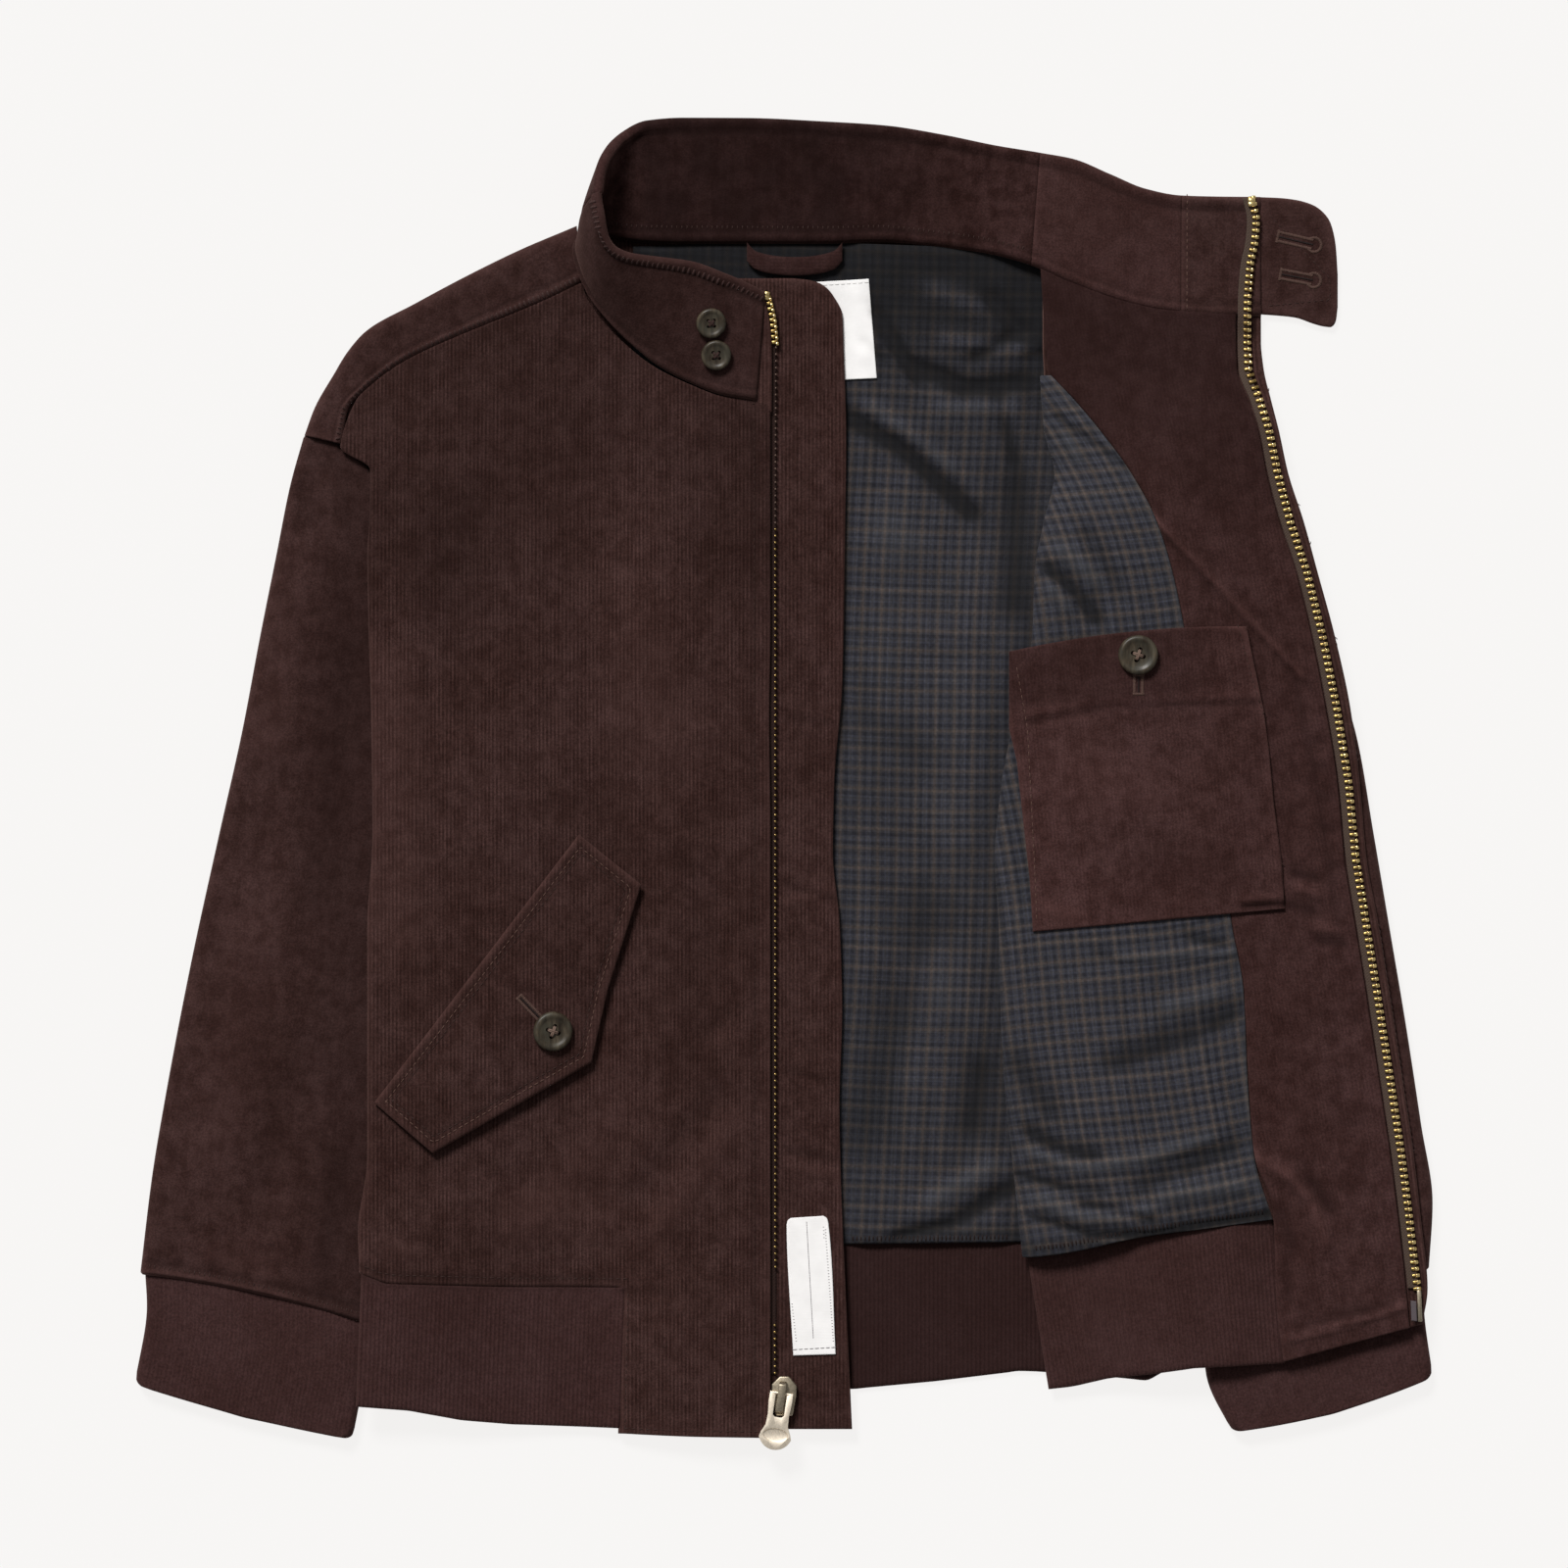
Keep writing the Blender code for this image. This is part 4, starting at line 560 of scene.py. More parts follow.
def fine(grid, gap, gap_across=None, curved=(True, True)):
    """A coarse grid of points read at finer rows and columns, and the places of both."""
    grid = np.asarray(grid, float)
    runs = runs_of(grid)
    lines = fine_lines(runs[0], gap), fine_lines(runs[1], gap_across or gap)
    return resampled(grid, runs, lines, curved), *lines


def grown(grid, start=0.0, stop=0.0, left=0.0, right=0.0):
    """A grid whose outermost rows and columns are moved outwards, so that it meets its neighbours."""
    grid = np.array(grid, float)
    for axis, end, reach in ((0, 0, start), (0, -1, stop), (1, 0, left), (1, -1, right)):
        if reach:
            view = np.moveaxis(grid, axis, 0)
            way = view[end] - view[end + (1 if end == 0 else -1)]
            way /= np.maximum(np.linalg.norm(way[..., :3], axis=-1, keepdims=True), 1e-6)
            view[end] += way * reach
    return grid


def edge_reach(points, ends):
    """Distance in mm from each point to the nearest of a cloth's edges, given by their two ends."""
    marks = []
    for a, b in ends:
        count = max(1, int(np.linalg.norm(b - a) / 0.25))
        marks += [a + (b - a) * (i / count) for i in range(count + 1)]
    tree = kdtree.KDTree(len(marks))
    for i, mark in enumerate(marks):
        tree.insert(mark, i)
    tree.balance()
    return np.array([tree.find(point)[2] for point in points])


def shell(
    name, outer, inner, finish, uv, around=False, mask=None, edge=1.0, shape=None, dark=0.0, wear_and_highlight_reach=1.3
):
    """A closed shell between two grids of points in mm, rounded at its edges.

    uv holds grain places in mm, with one more column than the grids if around. mask says which
    points are used. shape gives the height that is added at a distance from the cloth's edge. dark
    is the painted shade at each point, up to 1, and below 0 it is painted light. The edge is paler over
    a reach in mm: wear, and on some pieces also painted highlight."""
    outer, inner = np.asarray(outer, float), np.asarray(inner, float)
    rows, columns = outer.shape[:2]
    total = rows * columns
    ids = np.arange(total).reshape(rows, columns)
    places = np.arange(rows * uv.shape[1]).reshape(rows, uv.shape[1])
    wrap = np.concatenate([ids, ids[:, :1]], axis=1) if around else ids
    used = np.ones((rows, columns), bool) if mask is None else mask
    used = np.concatenate([used, used[:, :1]], axis=1) if around else used

    def cells(a):
        return np.stack([a[:-1, :-1], a[1:, :-1], a[1:, 1:], a[:-1, 1:]], -1).reshape(-1, 4)

    keep = cells(used).all(axis=1)
    quads, corners = cells(wrap)[keep], cells(places[:, : wrap.shape[1]])[keep]
    pairs = np.concatenate([quads[:, [k, (k + 1) % 4]] for k in range(4)])
    sides = np.concatenate([corners[:, [k, (k + 1) % 4]] for k in range(4)])
    code = np.sort(pairs, axis=1) @ np.array([total, 1])
    _, first, count = np.unique(code, return_index=True, return_counts=True)
    rim, rim_uv = pairs[first[count == 1]], sides[first[count == 1]]

    outer, inner = outer.reshape(-1, 3), inner.reshape(-1, 3)
    middle, half = (outer + inner) / 2, (outer - inner) / 2
    reach = edge_reach(middle, [(middle[a], middle[b]) for a, b in rim])
    round_off = 0.12 + 0.88 * np.sqrt(1 - (1 - np.clip(reach / edge, 0, 1)) ** 2)
    out = half / np.linalg.norm(half, axis=1)[:, None]
    raised = (0.0 * reach if shape is None else shape(reach))[:, None]
    top = middle + half * round_off[:, None] + out * raised
    bottom = middle - half * round_off[:, None]

    faces = np.concatenate([quads, quads[:, ::-1] + total])
    rims = np.stack([rim[:, 0], rim[:, 1], rim[:, 1] + total, rim[:, 0] + total], 1)
    face_uv = np.concatenate([corners, corners[:, ::-1]])
    rims_uv = np.stack([rim_uv[:, 0], rim_uv[:, 1], rim_uv[:, 1], rim_uv[:, 0]], 1)
    mesh = bpy.data.meshes.new(name)
    mesh.from_pydata(
        (np.concatenate([top, bottom]) * MM).tolist(), [], np.concatenate([faces, rims[:, ::-1]]).tolist()
    )
    grain = mesh.uv_layers.new(name="grain")
    loops = np.concatenate([face_uv, rims_uv[:, ::-1]]).reshape(-1)
    grain.uv.foreach_set("vector", (uv.reshape(-1, 2)[loops] * MM).reshape(-1).astype(np.float32))
    # Painted shade at each point: the given shade, and shade in the shape's grooves. Below 0 it is painted
    # light.
    painted_shade = np.broadcast_to(dark, (rows, columns)).reshape(-1) + groove_shade(np.ravel(raised))
    for label, values in (("worn", np.exp(-reach / wear_and_highlight_reach)), ("painted_shade_and_light", np.clip(painted_shade, -0.5, 1))):
        layer = mesh.attributes.new(label, "FLOAT", "POINT")
        layer.data.foreach_set("value", np.concatenate([values, values]).astype(np.float32))
    return add_piece(name, mesh, finish)


def linked(name, data):
    made = bpy.data.objects.new(name, data)
    bpy.context.scene.collection.objects.link(made)
    return made


def add_piece(name, mesh, *finishes):
    """Cleans a closed mesh, turns its faces outwards and puts it on the jacket."""
    bm = bmesh.new()
    bm.from_mesh(mesh)
    bmesh.ops.delete(bm, geom=[v for v in bm.verts if not v.link_faces], context="VERTS")
    bmesh.ops.recalc_face_normals(bm, faces=bm.faces)
    bm.to_mesh(mesh)
    bm.free()
    for finish in finishes:
        mesh.materials.append(finish)
    mesh.shade_smooth()
    return linked(name, mesh)


def walls(x, y, low, high):
    """A cloth's outer and inner grids of points, from its places and its two heights."""
    return np.stack([x, y, high], -1), np.stack([x, y, low], -1)


def straight_grain(points, angle=0.0, warp=None):
    """Grain places from x and y, turned by an angle in degrees."""
    a = math.radians(angle)
    x, y = points[..., 0], points[..., 1]
    if warp is not None:
        x, y = warp(x, y)
    return np.stack([x * math.cos(a) + y * math.sin(a), y * math.cos(a) - x * math.sin(a)], -1)


def laid(name, places, under, thick, finish, gap=2.0, gap_across=None, curved=(True, True), angle=0.0,
         relief=None, warp=None, grow=(0, 0, 0, 0), shade=None, **more):
    """A cloth that lies flat, from a coarse grid of (x, y) places and its underside's height."""
    coarse = [[(x, y, 0.0) for x, y in row] for row in places]
    points = grown(fine(coarse, gap, gap_across, curved)[0], *grow)
    x, y = points[..., 0], points[..., 1]
    low = under(x, y)
    change = 0.0 if relief is None else relief(x, y)
    dark = groove_shade(change) + (0.0 if shade is None else shade(x, y))
    return shell(name, *walls(x, y, low, low + thick + change), finish, straight_grain(points, angle, warp),
                 dark=dark, **more)


def stitched_edge(rows, ridge=0.3, depth=0.22, width=0.55):
    """Height at a distance from an edge with rows of stitches: a puffed edge and a groove at each row."""

    def shape(reach):
        high = ridge * hump(reach, rows[0] * 0.5, rows[0] * 0.42)
        for row in rows:
            high = high - depth * hump(reach, row, width)
        return high

    return shape


# ---------------------------------------------------------------- shader nodes


class Wiring:
    """Short names for adding shader nodes to a tree."""

    def __init__(self, tree):
        self.tree = tree

    def add(self, kind, *values, out=0, **settings):
        node = self.tree.nodes.new("ShaderNode" + kind)
        for key, value in settings.items():
            setattr(node, key, value)
        sockets = [s for s in node.inputs if s.enabled]
        for socket, value in zip(sockets, values):
            self.give(socket, value)
        return [s for s in node.outputs if s.enabled][out]

    def give(self, socket, value):
        if isinstance(value, bpy.types.NodeSocket):
            self.tree.links.new(value, socket)
        elif value is not None:
            socket.default_value = (*value, 1.0) if socket.type == "RGBA" else value

    def math(self, operation, *values):
        return self.add("Math", *values, operation=operation)

    def mix(self, factor, a, b, blend="MIX"):
        node = self.tree.nodes.new("ShaderNodeMix")
        node.data_type, node.blend_type = "RGBA", blend
        for index, value in ((0, factor), (6, a), (7, b)):
            self.give(node.inputs[index], value)
        return node.outputs[2]

    def fit(self, value, low, high, to_low=0.0, to_high=1.0):
        return self.add("MapRange", value, low, high, to_low, to_high, interpolation_type="SMOOTHSTEP")

    def noise(self, vector, scale, detail=2.0, roughness=0.5):
        node = self.tree.nodes.new("ShaderNodeTexNoise")
        given = ("Vector", vector), ("Scale", scale), ("Detail", detail), ("Roughness", roughness)
        for label, value in given:
            self.give(node.inputs[label], value)
        return node.outputs[0]

    def told(self, name):
        """A value that a shell's points carry."""
        return self.add("Attribute", out=2, attribute_name=name)

    def stretched(self, vector, scale):
        """A vector with each axis scaled, for patterns that are drawn out along one of them."""
        return self.add("Mapping", vector, (0, 0, 0), (0, 0, 0), scale)

    def ramp(self, value, stops, interpolation="LINEAR"):
        node = self.tree.nodes.new("ShaderNodeValToRGB")
        node.color_ramp.interpolation = interpolation
        while len(node.color_ramp.elements) < len(stops):
            node.color_ramp.elements.new(0.5)
        for element, (place, colour) in zip(node.color_ramp.elements, stops):
            element.position = place
            element.color = (*colour, 1.0)
        self.give(node.inputs[0], value)
        return node.outputs[0]

    def parts(self, vector):
        node = self.tree.nodes.new("ShaderNodeSeparateXYZ")
        self.give(node.inputs[0], vector)
        return node.outputs[0], node.outputs[1], node.outputs[2]

    def group(self, tree, **values):
        node = self.tree.nodes.new("ShaderNodeGroup")
        node.node_tree = tree
        for key, value in values.items():
            self.give(node.inputs[key.replace("_", " ")], value)
        return node.outputs


def effect(name, inputs, outputs):
    """A new shader node group with named inputs and outputs, its wiring and its two ends."""
    tree = bpy.data.node_groups.new(name, "ShaderNodeTree")
    for label, kind, value in inputs:
        socket = tree.interface.new_socket(label, in_out="INPUT", socket_type=kind)
        if value is not None:
            socket.default_value = value
    for label, kind in outputs:
        tree.interface.new_socket(label, in_out="OUTPUT", socket_type=kind)
    start = tree.nodes.new("NodeGroupInput")
    end = tree.nodes.new("NodeGroupOutput")
    return tree, Wiring(tree), start.outputs, end.inputs


FLOAT, VECTOR, COLOUR = "NodeSocketFloat", "NodeSocketVector", "NodeSocketColor"


def make_wales():
    """Raised lines along the grain, as on needlecord or a rib knit, with a pile that wanders."""
    tree, w, given, found = effect(
        "wales",
        [("Grain", VECTOR, None), ("Pitch", FLOAT, WALE_PITCH * MM), ("Wander", FLOAT, 0.0004),
         ("Fuzz", FLOAT, 0.3)],
        [("Height", FLOAT), ("Crest", FLOAT)],
    )
    grain = given["Grain"]
    x, y, _ = w.parts(grain)
    slow = w.noise(w.stretched(grain, (60, 14, 1)), 1.0, 1.0)
    place = w.math("ADD", x, w.math("MULTIPLY", w.math("SUBTRACT", slow, 0.5), given["Wander"]))
    turn = w.math("MULTIPLY", w.math("DIVIDE", place, given["Pitch"]), 2 * math.pi)
    wave = w.math("MULTIPLY_ADD", w.math("COSINE", turn), 0.5, 0.5)
    crown = w.math("POWER", wave, 0.6)
    hairs = w.noise(w.stretched(grain, (3200, 1500, 1)), 1.0, 2.0)
    fuzz = w.math("MULTIPLY", w.math("SUBTRACT", hairs, 0.5), given["Fuzz"])
    w.give(found["Height"], w.math("ADD", crown, fuzz))
    w.give(found["Crest"], w.math("ADD", w.fit(wave, 0.15, 0.95), fuzz))
    return tree


def make_mottle():
    """Patches where the pile lies another way: blotches across, drawn out along the grain."""
    tree, w, given, found = effect(
        "pile_mottle",
        [("Place", VECTOR, None), ("Scale", FLOAT, 90.0), ("Streak", FLOAT, 0.25)],
        [("Patch", FLOAT), ("Grainy", FLOAT)],
    )
    place = given["Place"]
    blotch = w.noise(place, given["Scale"], 5.0, 0.7)
    streaks = w.noise(w.stretched(place, (420, 60, 60)), 1.0, 2.0)
    fine_grain = w.noise(place, 1400.0, 2.0, 0.7)
    wanted = w.math("MULTIPLY_ADD", w.math("SUBTRACT", streaks, 0.5), given["Streak"], blotch)
    w.give(found["Patch"], w.fit(wanted, 0.3, 0.7))
    w.give(found["Grainy"], w.fit(fine_grain, 0.3, 0.7))
    return tree


def make_threads():
    """A plain weave: threads over and under, for the height of a bump."""
    tree, w, given, found = effect(
        "plain_weave", [("Grain", VECTOR, None), ("Threads", FLOAT, 2600.0)], [("Height", FLOAT)]
    )
    x, y, _ = w.parts(given["Grain"])
    turns = [w.math("MULTIPLY", w.math("MULTIPLY", v, given["Threads"]), math.pi) for v in (x, y)]
    over = w.math("MULTIPLY", w.math("SINE", turns[0]), w.math("SINE", turns[1]))
    slub = w.noise(w.stretched(given["Grain"], (200, 1800, 1)), 1.0, 1.0)
    w.give(found["Height"], w.math("ADD", w.math("MULTIPLY_ADD", over, 0.35, 0.5), slub))
    return tree


SLATE = (0.0370, 0.0345, 0.0370)
INK = (0.0165, 0.0160, 0.0205)
BLUE = (0.0360, 0.0375, 0.0500)
ROSE = (0.0640, 0.0490, 0.0420)


def make_check():
    """The lining's small check: blue stripes and tan lines on slate, woven both ways."""
    tree, w, given, found = effect(
        "small_check",
        [("Grain", VECTOR, None), ("Warp", FLOAT, CHECK_WARP * MM), ("Weft", FLOAT, CHECK_WEFT * MM)],
        [("Colour", COLOUR)],
    )
    drift = w.noise(given["Grain"], 25.0, 1.0)
    x, y, _ = w.parts(given["Grain"])
    stops = [
        (0.0, ROSE), (0.05, ROSE), (0.10, SLATE), (0.15, SLATE), (0.20, INK), (0.33, INK), (0.39, BLUE),
        (0.5, SLATE), (0.61, BLUE), (0.67, INK), (0.80, INK), (0.85, SLATE), (0.90, SLATE), (0.95, ROSE),
    ]
    stripes = []
    for across, repeat in ((x, given["Warp"]), (y, given["Weft"])):
        place = w.math("ADD", across, w.math("MULTIPLY", w.math("SUBTRACT", drift, 0.5), 0.001))
        stripes.append(w.ramp(w.math("FRACT", w.math("DIVIDE", place, repeat)), stops))
    woven = w.mix(0.5, stripes[0], stripes[1])
    worn = w.noise(w.stretched(given["Grain"], (900, 900, 1)), 1.0, 2.0)
    streaks = w.mix(0.5, w.noise(w.stretched(given["Grain"], (700, 12, 1)), 1.0, 2.0),
                    w.noise(w.stretched(given["Grain"], (12, 700, 1)), 1.0, 2.0))
    woven = w.mix(0.8, woven, streaks, "OVERLAY")
    w.give(found["Colour"], w.mix(0.5, woven, w.mix(1.0, woven, worn, "OVERLAY")))
    return tree


def make_tarnish():
    """Dark tarnish that gathers in blotches on metal, and a fine brushed grain."""
    tree, w, given, found = effect(
        "tarnish", [("Place", VECTOR, None), ("Scale", FLOAT, 900.0)], [("Dark", FLOAT), ("Grain", FLOAT)]
    )
    blotch = w.noise(given["Place"], given["Scale"], 4.0, 0.65)
    brush = w.noise(w.stretched(given["Place"], (9000, 1200, 9000)), 1.0, 1.0)
    w.give(found["Dark"], w.fit(blotch, 0.42, 0.68))
    w.give(found["Grain"], brush)
    return tree


wales_effect = make_wales()
mottle_effect = make_mottle()
threads_effect = make_threads()
check_effect = make_check()
tarnish_effect = make_tarnish()


def finish_of(name):
    made = bpy.data.materials.new(name)
    made.use_nodes = True
    w = Wiring(made.node_tree)
    return made, w, w.add("TexCoord", out=3)


def finished(made, w, colour, rough, relief=None, **plain):
    """Gives a finish its colour, its roughness, its relief as a height, a strength and a depth in m,
    and its plain values."""
    shader = made.node_tree.nodes["Principled BSDF"]
    w.give(shader.inputs["Base Color"], colour)
    w.give(shader.inputs["Roughness"], rough)
    if relief:
        bump = w.tree.nodes.new("ShaderNodeBump")
        for label, value in zip(("Height", "Strength", "Distance"), relief):
            w.give(bump.inputs[label], value)
        w.give(shader.inputs["Normal"], bump.outputs[0])
    for label, value in plain.items():
        w.give(shader.inputs[label.replace("_", " ")], value)
    return made


def grey(value):
    return (value,) * 3


def scaled(colour, factor):
    return tuple(min(1.0, c * factor) for c in colour)


def worn_and_painted_shade(w, base, worn, pale, painted_ridge_light, painted_shade, painted_shade_strength):
    """Paler at a cloth's worn edges, with painted light on its ridges and painted shade in its grooves and
    wherever a shell's points carry shade.
    """
    painted_shade_and_light = w.told("painted_shade_and_light")
    edge = w.math("MULTIPLY", w.told("worn"), worn)
    base = w.mix(w.math("MULTIPLY_ADD", painted_shade_and_light, -painted_ridge_light, edge), base, pale)
    return w.mix(w.math("MULTIPLY", painted_shade_and_light, painted_shade_strength), base, painted_shade)


def pile_cloth(
    name, dark, light, pitch, wander=0.0005, fuzz=0.3, depth=0.00035, show=0.5, worn=0.3, scale=150.0,
    blotch=1.0,
):
    """Needlecord or rib knit: lighter crests that show in some places and fade in others, blotches
    where the pile lies another way, dark grooves between the wales, worn edges, painted shade in creases
    and hollows, and painted light on ridges."""
    made, w, place = finish_of(name)
    grain = w.add("UVMap", uv_map="grain")
    wale = w.group(wales_effect, Grain=grain, Pitch=pitch * MM, Wander=wander, Fuzz=fuzz)
    patch = w.group(mottle_effect, Place=place, Scale=scale)
    broken = w.noise(w.stretched(grain, (420, 130, 1)), 1.0, 2.0)
    seen = w.fit(broken, 0.3, 0.7, 0.15 * show, 1.5 * show)
    base = w.mix(w.math("MULTIPLY_ADD", w.math("SUBTRACT", wale["Crest"], 0.5), seen, 0.45), dark, light)
    low, high = ([1 + side * blotch * c for c in (0.17, 0.2, 0.215)] for side in (-1, 1))
    broad = w.fit(w.noise(place, 24.0, 3.0, 0.6), 0.32, 0.68)
    for shade in (
        w.mix(patch["Patch"], low, high),
        w.mix(broad, (0.89, 0.86, 0.84), (1.11, 1.14, 1.16)),
        w.mix(patch["Grainy"], grey(0.74), grey(1.26)),
    ):
        base = w.mix(1.0, base, shade, "MULTIPLY")
    # Painted shade from the shell's points, in a darker colour, and painted light on ridges, in the pale
    # colour that also marks worn edges.
    base = worn_and_painted_shade(w, base, worn, scaled(light, 1.8), 0.5, scaled(dark, 0.45), 0.75)
    height = w.math("MULTIPLY_ADD", patch["Grainy"], 0.5, w.math("MULTIPLY", wale["Height"], seen))
    return finished(made, w, base, w.fit(patch["Patch"], 0.0, 1.0, 0.95, 0.85), (height, 0.3, depth),
                    Specular_IOR_Level=0.05, Sheen_Weight=0.14, Sheen_Roughness=0.45,
                    Sheen_Tint=(0.62, 0.36, 0.31))


def woven_cloth(name, colour, threads=2600.0, bump=0.25, depth=0.0002):
    """A plain weave in one colour, or, without a colour, in the lining's check."""
    made, w, place = finish_of(name)
    grain = w.add("UVMap", uv_map="grain")
    soft = w.noise(place, 160.0, 3.0)
    plain = colour or w.group(check_effect, Grain=grain)["Colour"]
    base = w.mix(1.0, plain, w.mix(soft, grey(0.9), grey(1.1)), "MULTIPLY")
    # The lining takes painted shade and painted light from the shell's points.
    if not colour:
        base = worn_and_painted_shade(w, base, 0.2, (0.08, 0.082, 0.088), 0.3, (0.006, 0.0058, 0.0062), 0.85)
    height = w.group(threads_effect, Grain=grain, Threads=threads)["Height"]
    return finished(made, w, base, w.fit(soft, 0.0, 1.0, 0.7, 0.85), (height, bump, depth),
                    Specular_IOR_Level=0.08, Sheen_Weight=0.1, Sheen_Roughness=0.4)


def thread_finish(name, colour):
    """Twisted sewing thread."""
    made, w, place = finish_of(name)
    ply = w.noise(place, 2600.0, 2.0)
    return finished(made, w, w.mix(ply, scaled(colour, 0.7), colour), w.fit(ply, 0.0, 1.0, 0.5, 0.75),
                    Specular_IOR_Level=0.15, Sheen_Weight=0.03)


def metal_finish(name, bright, dark, rough=0.3, scale=900.0, share=0.7):
    """Metal with tarnish in blotches and a brushed grain."""
    made, w, place = finish_of(name)
    marks = w.group(tarnish_effect, Place=place, Scale=scale)
    uneven = w.fit(marks["Grain"], 0.2, 0.8, rough - 0.06, rough + 0.12)
    base = w.mix(w.math("MULTIPLY", marks["Dark"], share), bright, dark)
    return finished(made, w, base, uneven, (marks["Grain"], 0.15, 0.00008), Metallic=1.0)


def horn_finish(name):
    """Polished horn: grey-brown with darker streaks and clouds."""
    made, w, place = finish_of(name)
    bands = w.noise(w.add("Mapping", place, (0, 0, 0), (0, 0, 0.6), (520, 110, 200)), 1.0, 3.0, 0.6)
    clouds = w.noise(place, 260.0, 3.0)
    base = w.ramp(
        bands, [(0.3, (0.014, 0.009, 0.005)), (0.5, (0.036, 0.027, 0.017)), (0.7, (0.075, 0.058, 0.037))]
    )
    base = w.mix(w.fit(clouds, 0.4, 0.7, 0.0, 0.5), base, (0.042, 0.041, 0.029))
    return finished(made, w, base, w.fit(clouds, 0.2, 0.8, 0.36, 0.5),
                    Specular_IOR_Level=0.25, Coat_Weight=0.05, Coat_Roughness=0.25)


cord = pile_cloth(
    "needlecord", (0.0225, 0.0100, 0.0084), (0.0490, 0.0235, 0.0206), WALE_PITCH, show=0.75, blotch=1.45
)
cord_smooth = pile_cloth(
    "needlecord_smooth", (0.0255, 0.0115, 0.0100), (0.0440, 0.0210, 0.0188), WALE_PITCH, fuzz=0.4,
    show=0.12, worn=0.5, blotch=1.6,
)
cord_fine = pile_cloth(
    "needlecord_fine", (0.0290, 0.0128, 0.0115), (0.0450, 0.0205, 0.0187), FINE_PITCH, fuzz=0.2, show=0.12
)
# A darker copy of the fine needlecord for the inside of the back collar: painted shade.
cord_inside_shaded = pile_cloth(
    "needlecord_inside_collar_shaded", (0.0200, 0.0085, 0.0076), (0.0320, 0.0138, 0.0124), FINE_PITCH, fuzz=0.2,
    show=0.12, blotch=2.2,
)
cord_red = pile_cloth(
    "needlecord_reddish", (0.0315, 0.0138, 0.0126), (0.0540, 0.0248, 0.0226), 1.35, show=0.3, blotch=1.6
)
rib = pile_cloth(
    "rib_knit", (0.0330, 0.0152, 0.0141), (0.0450, 0.0209, 0.0196), RIB_PITCH, wander=0.0002, fuzz=0.15,
    depth=0.0002, show=0.3, worn=0.12, scale=300.0, blotch=0.6,
)
lining = woven_cloth("check_lining", None)
white_tape = woven_cloth("label_tape", (0.82, 0.80, 0.785), threads=3600.0, bump=0.15)
film = woven_cloth("zip_end_film", (0.085, 0.07, 0.075), threads=2200.0, bump=0.3)
tape = woven_cloth("zip_tape", (0.062, 0.042, 0.032), threads=1700.0, bump=0.5, depth=0.0003)
# A darker copy of the zip tape for the right tape, which lies between the front and the wind guard: painted
# shade.
tape_shaded = woven_cloth("zip_tape_shaded", (0.022, 0.011, 0.009), threads=1700.0, bump=0.5, depth=0.0003)
dark_thread = thread_finish("thread_brown", (0.038, 0.018, 0.0145))
light_thread = thread_finish("thread_rust", (0.105, 0.055, 0.042))
pale_thread = thread_finish("thread_pale", (0.16, 0.105, 0.08))
hole_thread = thread_finish("thread_buttonhole", (0.085, 0.046, 0.036))
welt_thread = thread_finish("thread_welt", (0.050, 0.024, 0.021))
# Near-black. In a buttonhole it stands for the shade in the cut slit, as painted shade; on the lining's
# hems it is dark overlock thread.
slit_dark = thread_finish("buttonhole_slit", (0.014, 0.007, 0.006))
white_thread = thread_finish("thread_white", (0.72, 0.70, 0.68))
grey_thread = thread_finish("thread_grey", (0.24, 0.22, 0.23))
brass = metal_finish("zip_brass", (0.86, 0.66, 0.30), (0.30, 0.20, 0.07), rough=0.28, scale=700.0,
                     share=0.5)
# A darker, rougher copy of the zip brass, for the teeth's legs and for the right teeth along the guard:
# painted shade.
brass_shaded = metal_finish("zip_brass_shaded", (0.42, 0.29, 0.10), (0.12, 0.08, 0.03), rough=0.38, scale=700.0)
antique = metal_finish("antique_brass", (0.40, 0.34, 0.25), (0.20, 0.165, 0.115), rough=0.4, share=0.5)
nickel = metal_finish("nickel_silver", (0.90, 0.80, 0.66), (0.66, 0.56, 0.44), rough=0.52, share=0.3)
horn = horn_finish("horn")

# ---------------------------------------------------------------- places of the pieces


def back_places():
    columns = [-x for x in reversed(BACK_ACROSS[1:])] + list(BACK_ACROSS)
    rows = []
    for row in BACK:
        rows.append([
            (column * row.half / BACK_FULL, row.y - row.dip * (1 - (column / BACK_FULL) ** 2))
            for column in columns
        ])
    rows[-1] = [(x, read_hem(BACK_HEM, x)) for x, _ in rows[-1]]
    return rows


def read_hem(table, x):
    return float(read_straight(table, "x", "y", x))


def back_lining_places():
    columns = [-x for x in (57, 45, 25)] + [x for x in BACK_ACROSS if x < 120]
    rows = [[(x, 202.2 - 3.2 * abs(x / 90) ** 1.5) for x in columns]]
    for y in [190.5, 180] + [row.y for row in BACK if -148 < row.y <= 169] + [-132, -145, -154, -163]:
        rows.append([(x, y) for x in columns])
    rows.append([(x, read_hem(BACK_HEM, x)) for x in columns])
    return rows


def front_places():
    """Right front with its hem block, which is cut in one with it. The block's rows also have
    places under the front's other columns, which aren't used."""
    rows = [[(lerp(row.side, row.inner, f), row.y) for f in FRONT_ACROSS] for row in FRONT]
    columns = [lerp(-160, ZIP_X, f) for f in FRONT_ACROSS]
    rows.append([(x, read_hem(FRONT_HEM, x)) for x in columns])
    hem_x = columns[BLOCK_FROM]
    for t in (0.33, 0.67, 1.0):
        left = hem_x + BAND_LEAN * t
        slanted = [lerp(left, ZIP_X, (x - hem_x) / (ZIP_X - hem_x)) for x in columns]
        rows.append([(x, lerp(read_hem(FRONT_HEM, x), read_hem(BLOCK_END, x), t)) for x in slanted])
    return rows


